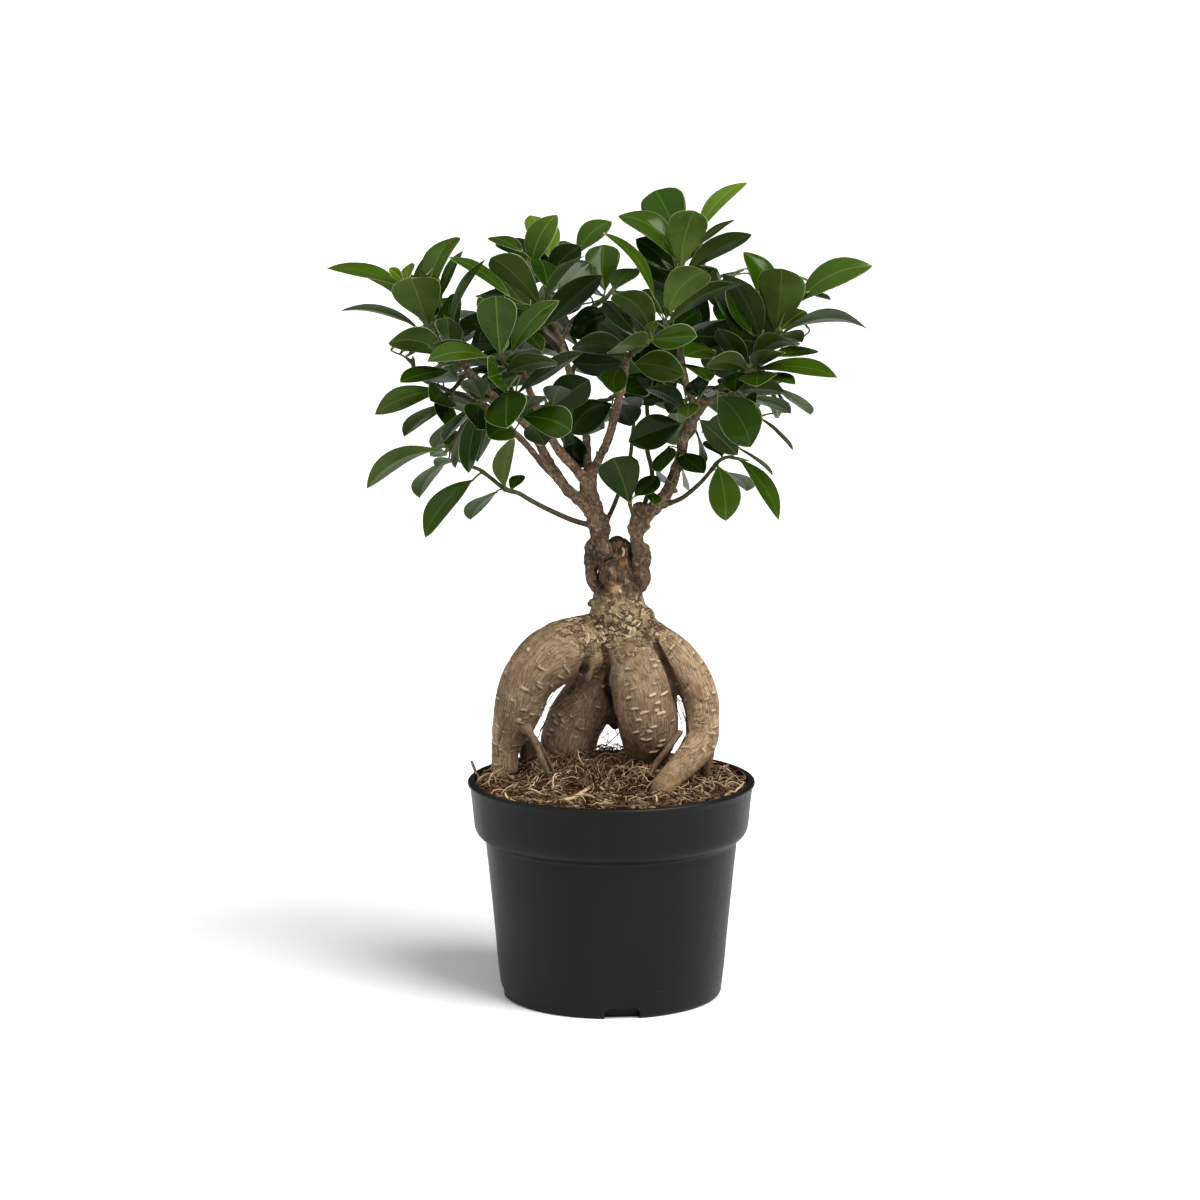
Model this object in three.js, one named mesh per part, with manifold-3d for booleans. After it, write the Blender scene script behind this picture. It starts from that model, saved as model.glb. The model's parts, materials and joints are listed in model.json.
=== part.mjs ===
// Ficus ginseng bonsai standing in its round nursery pot.
// Millimetres, +Z up. The pot stands on z = 0 and the front of the plant faces -Y.
// The rootstock (swollen ginseng roots and neck) is one grown piece. Two scions are grafted on its neck,
// and their woody branches carry the leafy shoots. The soil fills the pot and holds the foot of the roots.
import * as THREE from 'three';
import { mergeVertices } from 'three/addons/utils/BufferGeometryUtils.js';
import Module from 'manifold-3d';

const wasm = await Module();
wasm.setup();

// ---------------------------------------------------------------- driving dimensions
const POT_RIM_R = 75.0;        // outside of the rolled lip, a 15 cm pot
const POT_HEIGHT = 114.3;      // top of the lip above the floor
const POT_WALL = 1.5;          // wall of the blow-moulded pot
const COLLAR_TOP_R = 73.9, COLLAR_FOOT_R = 71.9, COLLAR_FOOT_Z = 89.6;
const BODY_TOP_R = 66.1, BODY_TOP_Z = 83.0, BODY_MID_R = 62.7, BODY_FOOT_R = 58.8;
const FOOT_R = 58.0, FOOT_INNER_R = 49.0, FLOOR_Z = 4.5, FLOOR_T = 2.0;
const NOTCH_W = 18.5, NOTCH_H = 6.0, NOTCH_TURN = 5.6, NOTCHES = 4;  // drainage notches in the foot
const DRAIN_HOLES = 6, DRAIN_R = 5.0, DRAIN_PCD_R = 38.0;
const SOIL_Z = 110.6;          // soil level at the wall
const GAP = 0.3;               // clearance kept where grown or filled pieces touch
const POT_SIDES = 40, SOIL_SIDES = 28, ROOT_SIDES = 10, ROOTLET_SIDES = 6, BRANCH_SIDES = 7, TWIG_SIDES = 5;
const ROOT_STEP = 12, ROOTLET_STEP = 16, BRANCH_STEP = 10, TWIG_STEP = 15;   // length of the rings along a limb
const PLACE = [5.9, -17.4];     // pot axis in the part's frame, whose origin is under the middle of the whole plant

// ---------------------------------------------------------------- materials
const mat = (color, roughness) => new THREE.MeshStandardMaterial({ color, roughness, metalness: 0 });
const POT_MAT = mat(0x323334, 0.45), SOIL_MAT = mat(0x5a3a22, 0.95), ROOT_MAT = mat(0x9a8668, 0.7);
const BARK_MAT = mat(0x6b5642, 0.85), LEAF_MAT = mat(0x2c5a16, 0.35);

// ---------------------------------------------------------------- grown shapes
// Swollen roots and neck: centre points [x, y, z, radius] from the neck down into the soil, pot axis at x = y = 0.
const ROOTS = {
  neck: [[2.4,3.0,240.1,6.76],[2.9,2.0,232.4,8.85],[3.4,1.0,222.5,10.41],[4.5,0.0,209.5,12.76],[5.0,0.0,197.8,15.12],[6.6,1.0,186.5,16.18],[7.7,4.0,177.0,13.6]],
  root_left: [[-2.8,2.0,190.1,12.53],[-13.8,0.0,188.3,13.04],[-25.2,-2.0,185.5,14.08],[-35.6,-3.0,178.2,14.08],[-44.5,-3.0,167.1,12.79],[-49.6,-1.0,154.0,12.03],[-52.6,2.0,143.2,9.44],[-55.3,4.0,134.3,7.46],[-56.1,5.0,125.5,7.15],[-56.4,6.0,117.7,7.37],[-57.0,7.0,108.9,6.59],[-57.6,8.0,101.1,5.27]],
  root_mid_left: [[-1.7,8.0,178.9,9.44],[-9.1,14.0,164.4,10.53],[-16.5,18.0,152.9,13.72],[-21.3,20.0,140.7,15.34],[-23.4,22.0,129.5,14.31],[-24.0,24.0,120.4,10.61],[-24.0,26.0,110.2,5.32]],
  root_front: [[11.8,0.0,188.3,11.48],[14.9,-2.0,175.4,14.09],[17.6,-3.0,162.3,15.66],[19.2,-3.0,150.6,15.68],[20.3,-1.0,140.6,14.4],[19.3,2.0,130.9,11.02],[17.2,5.0,121.2,6.31],[16.2,8.0,111.9,3.16]],
  root_right: [[15.0,2.0,192.2,9.4],[24.4,1.0,188.1,8.87],[33.7,-1.0,180.5,9.39],[41.6,-3.0,169.2,9.13],[46.3,-4.0,157.2,9.14],[47.6,-5.0,146.8,8.62],[47.3,-7.0,137.6,8.62],[43.1,-12.0,131.2,8.34],[35.6,-20.0,124.3,7.01],[28.8,-27.0,119.0,6.21],[24.1,-31.0,114.0,4.65],[20.9,-34.0,108.9,3.1]],
  root_right_foot: [[49.6,-2.0,136.6,4.71],[50.7,0.0,128.7,3.57],[49.7,2.0,120.7,2.89],[48.8,4.0,112.8,2.1]],
  root_back_left: [[4.6,14.0,181.5,10.51],[-0.6,26.0,164.3,9.53],[-7.0,37.0,147.0,9.06],[-13.4,46.0,131.1,8.04],[-17.7,50.0,118.2,6.18],[-19.9,52.0,105.7,3.77]],
  root_back_right: [[13.0,14.0,181.5,9.99],[19.0,27.0,163.0,9.53],[22.9,38.0,144.7,8.53],[24.6,46.0,128.9,6.97],[25.2,50.0,116.0,5.11],[25.3,52.0,104.6,3.23]],
  root_nub: [[-10.1,-8.0,183.4,4.16],[-11.6,-11.0,175.5,3.22],[-12.2,-12.0,170.4,1.87]],
  rootlet_a: [[-45.6,-6.0,145.4,3.65],[-41.9,-8.0,139.4,2.82],[-36.7,-11.0,128.3,2.29],[-32.0,-14.0,117.7,1.88],[-29.9,-15.0,110.5,1.36]],
  rootlet_a2: [[-40.4,-6.0,137.4,1.67],[-34.2,-6.0,127.2,1.36],[-30.0,-7.0,118.4,1.15],[-28.9,-7.0,112.0,0.94]],
  rootlet_b: [[35.3,-10.0,140.9,2.4],[29.5,-14.0,133.7,2.5],[23.7,-16.0,126.2,2.5],[20.1,-18.0,119.7,1.77]],
};
// Woody branches in the order in which they grow from one another: [x, y, z, radius].
const WOOD = {
  left_stem: [[-7.0,-2.0,207.7,5.4],[-7.5,-2.0,220.3,5.6],[-7.5,-1.0,232.8,5.3],[-6.4,0.0,243.7,5.0],[-9.6,0.0,254.2,4.6],[-11.1,0.0,264.2,4.2],[-11.6,0.0,272.5,4.0],[-11.1,0.0,277.7,3.8]],
  left_branch: [[-11.1,0.0,257.3,3.1],[-16.3,-2.0,262.3,3.0],[-22.0,-3.0,267.2,2.9],[-27.6,-4.0,274.6,2.8],[-32.3,-5.0,282.1,2.6],[-36.4,-6.0,290.5,2.4],[-40.5,-7.0,297.9,2.2],[-48.6,-8.0,306.3,2.0],[-61.5,-6.0,318.0,1.8],[-75.0,-2.0,331.0,1.6],[-83.3,2.0,342.0,1.4]],
  left_back_branch: [[-17.9,4.0,262.5,2.0],[-25.2,10.0,269.6,1.9],[-33.1,16.0,275.6,1.8],[-46.3,26.0,289.6,1.7],[-58.6,38.0,299.2,1.6],[-70.5,50.0,308.4,1.5]],
  mid_left_branch: [[-12.1,-2.0,269.7,2.6],[-16.3,-6.0,276.5,2.5],[-24.9,-14.0,287.4,2.4],[-31.0,-20.0,297.0,2.2],[-36.5,-28.0,310.3,2.0],[-41.4,-36.0,322.5,1.8],[-45.3,-42.0,333.3,1.5]],
  mid_back_branch: [[-11.6,4.0,275.1,2.3],[-12.7,10.0,284.3,2.2],[-13.2,18.0,293.2,2.1],[-16.4,28.0,306.7,1.9],[-21.7,36.0,323.2,1.8],[-26.9,40.0,341.2,1.6],[-31.1,40.0,352.8,1.4]],
  mid_right_branch: [[-10.1,-2.0,276.5,2.4],[-7.5,-6.0,282.7,2.3],[-3.4,-10.0,291.0,2.2],[-0.3,-14.0,300.3,2.15],[2.3,-18.0,310.6,2.1],[4.8,-22.0,321.4,2.0],[6.8,-26.0,331.5,1.8],[8.3,-28.0,339.9,1.6]],
  right_stem: [[14.9,-3.0,207.9,4.6],[15.4,-3.0,220.5,4.4],[13.8,-3.0,233.1,4.1],[13.3,-2.0,243.5,4.0],[14.3,-2.0,251.9,4.1],[14.3,-2.0,258.2,3.0]],
  right_branch: [[16.4,-2.0,251.9,3.3],[24.1,-3.0,260.9,3.2],[29.8,-4.0,268.9,3.1],[33.3,-5.0,278.4,3.0],[35.9,-6.0,286.4,2.9],[36.9,-7.0,294.3,2.8],[40.4,-8.0,302.7,2.7],[44.5,-9.0,310.1,2.6],[46.0,-9.0,315.2,2.4]],
  right_up_branch: [[43.5,-6.0,311.3,1.8],[40.4,-4.0,317.3,1.8],[37.9,0.0,325.6,1.7],[35.9,4.0,337.1,1.6],[34.4,8.0,349.6,1.5],[34.4,10.0,362.4,1.4],[35.4,11.0,372.7,1.3]],
  right_out_branch: [[47.0,-10.0,313.3,1.9],[54.1,-12.0,316.6,1.8],[60.2,-14.0,321.5,1.8],[67.8,-16.0,328.4,1.6],[73.9,-14.0,335.4,1.4]],
  right_back_branch: [[38.6,2.0,295.2,1.7],[42.5,14.0,300.0,1.6],[47.5,28.0,305.7,1.6],[53.7,44.0,312.3,1.5],[58.9,60.0,320.6,1.4]],
};
// Leafy shoots. stem: [x, y, z, radius] from the branch to the bud. Each leaf is
// [stalk foot x y z, blade foot x y z, tip x y z, side direction x y z, width, bend x y z, outline 0 elliptic, 1 obovate, 2 narrow].
const SHOOTS = {
  left_shoot_01: { stem: [[-84.3,2.0,343.5,1.3],[-91.4,2.0,355.4,1.17],[-98.5,1.0,365.8,1.03],[-106.1,0.0,374.1,0.9]], leaves: [
    [-102.1,0.7,370.1,-104.7,-8.7,371.8,-145.4,-10.5,383.2,-0.024,-0.971,-0.238,22.4,0.72,-0.79,3.14,0],
    [-91.6,1.7,355.3,-100.2,1.8,351.8,-138.7,-7.3,361.4,0.303,-0.871,0.386,13.8,0.65,1.34,3.88,2],
    [-89.7,1.8,352.2,-93.5,-10.9,354.6,-101.5,-30.2,380.8,0.97,-0.114,0.215,25.6,-0.32,0.32,0.0,1],
    [-92.9,1.9,358.0,-93.3,10.3,363.9,-81.6,34.8,396.2,-0.775,0.606,-0.18,21.1,-4.13,-3.22,2.25,1],
    [-93.2,2.2,358.4,-89.4,3.5,364.0,-76.3,2.8,391.4,-0.412,0.884,0.221,11.7,-1.14,-0.2,0.7,2],
    [-104.0,0.2,372.1,-106.7,-9.0,376.4,-113.4,-15.6,383.6,-0.579,-0.253,-0.775,6.0,0.05,-0.3,0.5,0],
    [-104.1,-0.1,372.1,-104.6,-9.0,376.4,-104.9,30.3,382.5,-0.904,0.058,-0.423,8.0,-0.27,-0.3,0.19,0],
  ] },
  left_shoot_02: { stem: [[-74.9,-4.0,332.3,1.4],[-79.6,-14.0,341.5,1.27],[-82.9,-20.0,350.3,1.13],[-84.2,-24.0,356.9,1.0]], leaves: [
    [-83.7,-22.8,355.3,-81.2,-24.0,357.9,-63.4,-36.6,390.4,0.482,0.873,0.075,13.3,-2.31,0.46,1.44,2],
    [-83.8,-22.4,353.7,-84.3,-23.4,352.2,-83.6,0.9,368.4,-0.652,0.433,-0.623,18.5,0.54,-0.01,0.0,0],
    [-80.6,-16.1,343.5,-81.1,-15.7,343.8,-82.6,-40.5,361.0,0.945,-0.223,-0.24,15.7,-0.85,-0.03,-0.12,0],
    [-78.2,-11.7,339.1,-84.2,-15.4,338.1,-113.6,-27.9,346.5,0.417,-0.444,0.793,17.2,0.47,2.09,4.73,0],
    [-74.9,-3.7,332.5,-83.5,-6.5,329.9,-107.6,-29.6,326.8,0.665,-0.644,-0.379,14.9,-0.08,-0.27,1.41,0],
    [-74.6,-4.1,332.2,-82.0,-7.0,331.5,-94.1,22.4,321.6,-0.888,-0.23,0.399,17.4,0.58,-0.08,-0.94,0],
    [-80.5,-16.1,343.9,-81.7,-13.6,344.1,-81.6,29.9,362.2,-0.686,0.28,-0.672,18.7,-1.15,-0.6,0.97,0],
  ] },
  left_shoot_03: { stem: [[-45.3,-43.0,333.4,1.5],[-50.2,-50.0,336.2,1.33],[-53.5,-56.0,338.8,1.17],[-55.9,-60.0,345.3,1.0]], leaves: [
    [-54.6,-58.4,341.9,-61.1,-63.7,343.0,-91.8,-75.0,342.2,0.32,-0.832,-0.453,16.8,0.15,-0.69,3.6,0],
    [-51.3,-51.6,336.5,-60.0,-50.8,337.2,-92.2,-56.7,348.1,0.325,-0.777,0.539,17.7,0.45,1.16,1.95,0],
    [-51.8,-52.9,337.0,-53.0,-56.5,334.8,-26.9,-73.9,342.0,0.565,0.624,-0.539,16.8,-0.19,0.55,2.11,0],
    [-45.3,-42.9,333.6,-47.0,-49.3,324.2,-15.0,-41.0,343.5,0.095,0.848,-0.522,20.1,-0.39,0.46,0.74,0],
    [-55.6,-59.3,343.6,-55.8,-65.4,344.7,-57.5,-75.1,375.0,0.998,-0.017,0.052,20.4,-0.15,0.38,0.11,1],
    [-54.3,-57.1,340.2,-50.1,-58.3,344.3,-26.6,-53.0,370.8,-0.521,0.797,0.305,18.6,-2.37,-1.74,2.43,0],
    [-55.2,-59.4,343.5,-57.7,-56.1,347.9,-66.5,-38.3,371.3,-0.706,-0.666,0.239,16.0,0.89,-0.65,0.83,0],
    [-45.1,-43.1,333.6,-35.0,-42.9,343.3,-44.6,-26.2,353.0,-0.877,-0.477,-0.05,12.0,0.17,-0.4,0.86,0],
    [-45.5,-42.9,333.1,-52.0,-52.5,325.3,-51.8,-108.3,313.4,0.94,-0.067,0.334,22.9,-0.37,-0.1,0.13,0],
    [-55.6,-58.7,343.7,-54.4,-64.3,345.8,-53.4,-59.4,354.2,0.869,0.373,-0.326,7.0,-0.37,0.27,0.19,0],
    [-52.1,-53.3,337.0,-55.9,-55.5,333.6,-60.8,-94.9,336.2,0.427,-0.114,-0.897,20.6,1.59,-0.15,0.78,0],
  ] },
  left_shoot_04: { stem: [[-74.0,-1.0,329.9,1.3],[-79.3,2.0,322.3,1.17],[-84.0,3.0,317.5,1.03],[-88.7,3.0,315.9,0.9]], leaves: [
    [-86.1,3.3,316.5,-88.1,3.0,318.5,-122.6,-1.8,307.1,0.272,-0.843,-0.465,19.0,-0.69,-1.28,2.64,0],
    [-83.0,2.6,318.3,-84.0,3.0,312.3,-108.3,19.5,293.0,-0.626,-0.769,0.128,18.3,-1.09,0.43,1.74,0],
    [-87.6,2.7,315.9,-87.1,2.8,317.0,-83.3,-18.4,301.9,0.803,0.435,-0.408,14.8,-0.61,-0.05,-0.08,0],
    [-82.5,3.0,318.2,-82.6,4.4,304.3,-92.3,11.9,287.7,-0.579,-0.815,-0.027,18.5,0.56,-0.01,-0.33,0],
    [-84.0,3.3,317.8,-84.6,6.2,315.6,-90.9,-41.4,319.0,0.699,-0.142,-0.701,18.3,1.33,-0.21,0.84,0],
  ] },
  left_shoot_05: { stem: [[-70.4,48.0,307.6,1.3],[-76.6,40.0,299.0,1.17],[-81.5,30.0,290.7,1.03],[-85.4,22.0,285.9,0.9]], leaves: [
    [-84.3,23.9,287.1,-90.8,21.8,285.9,-128.5,24.2,265.0,-0.303,-0.84,0.449,22.6,-2.32,2.29,4.46,0],
    [-84.1,24.2,287.3,-85.5,21.9,280.0,-101.9,43.6,257.4,-0.719,-0.682,-0.134,18.4,-2.2,0.41,1.98,0],
    [-82.7,28.0,289.2,-78.2,26.6,283.6,-94.4,55.0,282.8,-0.808,-0.451,0.378,17.2,0.32,0.22,1.19,0],
    [-85.3,22.1,286.1,-86.5,22.1,284.3,-95.8,48.1,279.1,-0.767,-0.15,0.624,9.0,0.69,0.44,0.96,0],
    [-85.3,21.9,286.0,-83.5,20.2,284.5,-81.3,53.7,292.1,-0.978,0.017,0.206,18.1,-0.42,-0.3,1.47,0],
  ] },
  left_shoot_06: { stem: [[-11.6,0.0,249.0,1.5],[-18.9,-3.0,251.5,1.44],[-26.6,-6.0,255.1,1.38],[-34.3,-9.0,259.2,1.32],[-42.0,-12.0,263.8,1.26],[-48.1,-14.0,267.7,1.2],[-54.8,-15.0,269.9,1.14],[-61.4,-16.0,275.2,1.08],[-67.5,-17.0,280.0,1.02],[-72.7,-17.0,282.1,0.96],[-77.8,-17.0,284.7,0.9]], leaves: [
    [-65.9,-16.6,279.0,-71.1,-20.0,275.3,-96.2,-24.1,246.3,0.484,-0.82,-0.305,20.1,-2.53,-1.75,2.45,0],
    [-55.0,-15.3,269.8,-59.0,-13.3,268.6,-73.7,10.3,251.1,-0.792,-0.595,-0.133,17.1,-1.1,0.25,1.27,0],
    [-51.5,-14.9,268.4,-51.7,-14.6,269.3,-46.4,2.6,275.3,-0.959,0.268,0.088,8.0,-0.0,-0.28,0.8,0],
    [-54.5,-14.9,269.7,-54.7,-17.1,271.2,-50.8,-27.7,298.4,0.703,0.691,0.168,15.3,-2.35,0.57,0.56,0],
    [-74.0,-16.7,283.0,-77.0,-10.2,283.8,-90.9,0.3,279.8,-0.628,-0.754,0.194,17.4,0.3,0.46,1.4,0],
  ] },
  left_shoot_07: { stem: [[-57.4,-8.0,314.1,1.3],[-61.1,-20.0,316.5,1.17],[-64.4,-32.0,317.9,1.03],[-66.7,-40.0,318.8,0.9]], leaves: [
    [-65.4,-36.0,318.4,-66.5,-46.0,315.5,-72.4,-54.5,283.5,0.679,-0.731,0.068,17.5,-1.18,-0.91,0.46,0],
    [-58.5,-11.3,314.6,-61.4,-11.9,312.5,-69.5,-2.2,282.2,-0.619,-0.781,-0.082,17.1,0.02,0.16,0.05,0],
    [-65.6,-36.6,318.1,-67.5,-46.3,317.0,-66.7,-71.3,308.4,0.852,0.192,-0.487,18.1,0.02,-0.02,0.1,0],
    [-65.8,-38.0,318.4,-71.2,-40.0,315.8,-85.8,-21.0,296.1,-0.692,-0.702,-0.166,16.1,-0.09,0.06,0.13,0],
    [-64.4,-31.7,318.2,-71.5,-33.6,307.9,-80.1,-24.3,282.0,-0.346,-0.914,-0.213,17.4,-1.15,0.6,0.78,0],
    [-65.3,-36.3,318.4,-65.7,-36.8,319.5,-71.0,-58.0,332.0,0.976,-0.154,0.153,14.0,-0.06,0.59,0.97,0],
  ] },
  left_shoot_08: { stem: [[-36.5,-29.0,309.9,1.3],[-41.4,-38.0,309.4,1.17],[-45.3,-48.0,311.7,1.03],[-48.1,-54.0,315.4,0.9]], leaves: [
    [-45.8,-49.6,312.5,-45.2,-53.7,311.8,-20.4,-71.6,307.5,0.444,0.42,0.792,17.9,0.33,-0.1,2.28,1],
    [-44.5,-46.1,310.8,-49.3,-50.0,304.8,-60.9,-83.3,305.4,0.727,-0.267,-0.633,16.5,-0.35,0.15,1.89,0],
    [-45.3,-48.3,311.3,-45.4,-39.0,312.6,-38.3,-68.1,324.6,0.975,0.202,-0.088,17.1,-0.05,0.54,1.38,0],
    [-41.1,-37.9,309.2,-41.4,-38.2,305.9,-34.0,-24.5,293.9,-0.922,0.217,-0.321,15.4,0.11,0.6,1.18,0],
  ] },
  left_shoot_09: { stem: [[4.8,-22.0,321.4,1.2],[1.2,-16.0,318.1,1.1],[-2.3,-12.0,315.6,1.0],[-5.9,-8.0,315.1,0.9]], leaves: [
    [-0.3,-13.7,316.7,0.2,-12.3,313.6,-20.3,-21.1,299.2,0.566,0.03,-0.824,16.4,-1.59,0.13,2.2,0],
    [-3.4,-11.3,315.2,-14.2,-8.0,299.6,-3.8,17.7,297.5,-0.606,0.18,-0.775,12.0,-0.88,0.42,0.78,0],
    [4.7,-22.3,321.1,4.7,-28.5,334.4,1.6,-55.8,324.2,0.975,-0.03,-0.221,14.2,-2.13,-0.01,0.65,0],
    [-0.2,-13.8,316.5,3.3,-6.2,312.3,9.6,7.9,300.2,-0.947,0.232,-0.223,17.4,0.37,0.55,1.34,0],
    [2.1,-17.0,319.2,5.4,-11.7,316.6,12.8,14.0,306.3,-0.949,0.169,-0.265,14.9,-0.23,0.53,1.15,0],
    [3.3,-19.0,319.7,6.4,-14.0,319.9,17.4,7.3,320.6,-0.663,0.321,0.676,14.0,0.64,-0.36,0.79,0],
  ] },
  left_shoot_10: { stem: [[-30.5,-22.0,307.5,1.2],[-32.4,-30.0,312.6,1.05],[-33.3,-36.0,317.4,0.9]], leaves: [
    [-32.7,-32.9,315.0,-32.3,-36.0,313.3,-11.0,-46.5,330.2,0.655,0.126,-0.745,18.8,-0.23,0.42,0.55,0],
    [-30.6,-22.3,307.4,-28.4,-19.6,309.3,-23.5,-3.4,290.7,-0.734,0.597,0.325,14.0,0.73,0.54,0.67,0],
    [-33.2,-34.9,315.8,-30.2,-39.8,316.3,-25.8,-73.4,330.2,0.982,0.053,-0.183,14.0,0.03,0.58,0.97,0],
    [-30.1,-21.9,307.3,-25.1,4.0,297.6,-14.3,10.0,277.5,0.797,0.306,0.521,12.5,0.65,-1.52,-0.1,0],
  ] },
  left_shoot_11: { stem: [[-31.1,40.0,352.8,1.4],[-33.1,34.0,362.8,1.27],[-34.1,28.0,371.7,1.13],[-34.5,24.0,379.3,1.0]], leaves: [
    [-34.2,25.2,377.5,-41.3,24.0,380.4,-28.3,30.3,407.9,-0.83,0.481,0.281,16.2,-2.69,-2.26,1.78,0],
    [-34.5,25.6,375.5,-32.0,32.0,384.9,-42.8,57.3,406.1,-0.934,-0.353,-0.056,18.0,1.9,-0.17,1.18,0],
    [-34.4,25.6,375.3,-46.4,24.0,388.7,-64.4,55.7,394.6,-0.871,-0.464,-0.161,12.6,-0.07,-0.24,1.08,2],
    [-33.7,28.1,371.5,-33.1,31.7,373.0,-15.7,14.0,392.6,0.723,-0.056,-0.689,14.9,-1.42,0.67,1.57,0],
    [-34.4,26.2,375.9,-17.9,24.0,387.6,0.3,34.9,404.0,-0.722,0.519,0.459,14.0,-1.6,-0.81,2.32,0],
    [-31.4,38.4,355.3,-3.3,43.2,366.7,-3.8,57.7,390.3,-1.0,-0.01,-0.016,18.9,-1.09,-0.26,0.14,1],
    [-34.1,26.6,373.7,-37.3,34.1,382.7,-60.5,64.5,391.9,-0.802,-0.53,-0.274,17.2,0.2,-0.43,1.41,0],
    [-34.2,28.3,371.4,-33.1,32.6,377.6,-24.4,60.4,392.2,-0.954,0.299,-0.004,16.9,-0.2,-0.63,1.31,0],
  ] },
  left_shoot_12: { stem: [[-26.9,36.0,340.6,1.5],[-30.8,14.0,346.5,1.38],[-33.6,-8.0,351.2,1.25],[-35.0,-20.0,358.5,1.12],[-35.8,-28.0,365.4,1.0]], leaves: [
    [-35.6,-27.8,365.4,-35.8,-32.0,365.7,-60.4,-35.9,391.3,0.616,-0.61,0.498,20.7,1.26,1.57,1.45,1],
    [-35.6,-24.6,361.9,-51.7,-20.0,369.2,-83.0,-10.7,389.3,-0.427,-0.865,-0.262,13.0,1.1,-0.61,2.0,2],
    [-35.0,-20.3,358.2,-41.0,-21.4,361.7,-58.8,-0.8,380.4,-0.784,-0.125,-0.608,15.4,-0.2,-0.25,-0.0,0],
    [-35.3,-26.0,363.5,-33.8,-32.0,367.3,-13.5,-44.2,392.5,0.553,0.832,-0.041,11.8,-2.59,0.72,2.43,2],
    [-35.3,-21.9,360.5,-27.3,-20.5,368.8,-10.5,-0.5,385.5,-0.753,0.085,0.653,16.9,-0.52,-0.16,0.7,0],
    [-34.5,-17.6,356.7,-34.0,-20.0,354.4,-5.4,-26.1,381.4,0.577,0.679,-0.455,20.7,-0.68,0.93,0.93,0],
    [-35.3,-24.6,362.0,-32.4,-20.0,372.8,-36.9,8.5,386.8,-0.924,-0.275,0.264,16.7,0.51,-0.53,1.24,0],
    [-34.2,-11.5,352.6,-38.7,-10.4,351.4,-52.8,-43.5,354.7,0.917,-0.394,-0.053,18.8,-0.53,0.83,6.17,0],
    [-35.5,-25.8,363.5,-54.1,-27.8,367.4,-68.2,-12.4,370.1,-0.736,-0.639,-0.225,15.0,-0.46,-0.35,1.16,0],
  ] },
  left_shoot_13: { stem: [[8.3,-28.0,339.9,1.5],[11.3,-34.0,342.6,1.37],[14.8,-42.0,345.4,1.23],[17.7,-50.0,349.3,1.1]], leaves: [
    [17.2,-47.8,348.3,20.1,-56.0,351.4,1.5,-65.8,375.3,0.775,-0.487,0.403,18.5,3.48,1.88,3.47,1],
    [9.6,-31.2,341.2,8.8,-32.0,340.3,-20.5,-44.4,346.2,0.385,-0.567,0.729,17.0,0.21,1.13,3.51,0],
    [8.2,-28.3,339.6,5.3,-20.0,336.0,-20.3,-12.8,335.3,-0.106,-0.276,0.955,14.0,0.01,-0.1,-1.26,0],
    [18.0,-49.9,349.1,16.7,-50.7,347.8,1.0,-87.7,351.6,0.768,-0.266,0.582,21.0,-0.06,0.03,0.09,0],
    [9.7,-30.5,341.5,11.3,-36.5,336.8,36.2,-54.3,333.6,0.156,0.044,0.987,16.1,0.25,0.03,1.79,0],
    [17.9,-50.1,349.3,19.2,-50.0,350.3,42.3,-68.5,354.2,0.282,0.52,0.806,15.5,-0.13,-0.11,0.21,0],
    [13.2,-38.2,344.0,14.3,-38.7,349.2,-3.9,-21.4,367.8,-0.79,-0.559,-0.251,16.3,0.27,-0.87,1.07,0],
    [16.8,-47.7,348.0,18.2,-46.7,347.4,9.1,-50.6,365.4,0.613,-0.778,0.14,10.0,0.4,0.37,0.28,2],
    [17.1,-47.7,348.1,18.1,-53.5,351.6,21.5,-61.9,361.5,0.917,0.399,0.029,7.0,-0.3,0.3,0.24,0],
    [10.8,-32.1,341.6,12.3,-30.7,343.3,-5.9,-12.0,355.7,-0.775,-0.501,-0.385,15.1,-0.04,-0.75,1.06,0],
  ] },
  right_shoot_01: { stem: [[35.4,11.0,373.7,1.3],[35.4,11.0,377.3,1.2],[35.9,10.0,381.0,1.1],[36.4,9.0,384.2,1.0]], leaves: [
    [36.1,10.0,381.1,35.6,3.3,383.1,42.3,-1.4,412.1,0.975,0.046,-0.219,20.5,-1.37,0.94,0.46,1],
    [36.5,9.8,383.0,33.3,8.9,385.6,3.3,13.3,408.5,-0.457,-0.767,-0.45,19.7,3.37,-2.84,4.97,0],
    [35.6,10.4,380.1,35.0,13.6,395.5,22.5,34.7,420.2,-0.917,-0.087,-0.39,23.6,0.81,-0.38,0.66,1],
    [35.9,10.4,380.3,44.7,13.1,399.8,70.5,25.7,425.1,-0.616,0.744,0.258,13.0,-2.32,-0.98,2.81,2],
    [35.9,10.2,380.2,44.6,17.2,392.3,64.1,24.9,405.8,-0.41,0.909,0.078,11.0,-0.31,-0.22,0.89,2],
    [36.1,10.2,380.2,38.6,6.9,380.6,71.7,2.8,400.0,0.38,0.788,-0.485,20.1,-0.76,1.13,1.55,0],
    [35.4,11.2,377.1,33.1,13.0,379.4,12.7,14.0,396.5,-0.545,-0.567,-0.618,16.3,0.55,-0.25,0.97,0],
    [35.5,11.2,375.7,34.2,17.3,381.1,19.6,44.8,395.4,-0.81,-0.136,-0.57,14.8,0.56,-0.17,0.76,0],
    [35.7,11.1,373.7,37.4,14.9,369.9,15.2,24.6,385.1,-0.63,-0.345,-0.695,14.3,0.56,-1.18,1.06,0],
    [35.3,10.9,373.9,48.5,16.9,372.6,69.5,41.6,377.9,-0.727,0.66,-0.189,10.8,-0.04,-0.18,0.93,2],
    [35.2,10.8,373.4,41.5,10.5,365.1,54.8,15.8,380.9,-0.78,0.156,0.606,17.5,-1.09,-0.11,1.07,0],
  ] },
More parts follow.
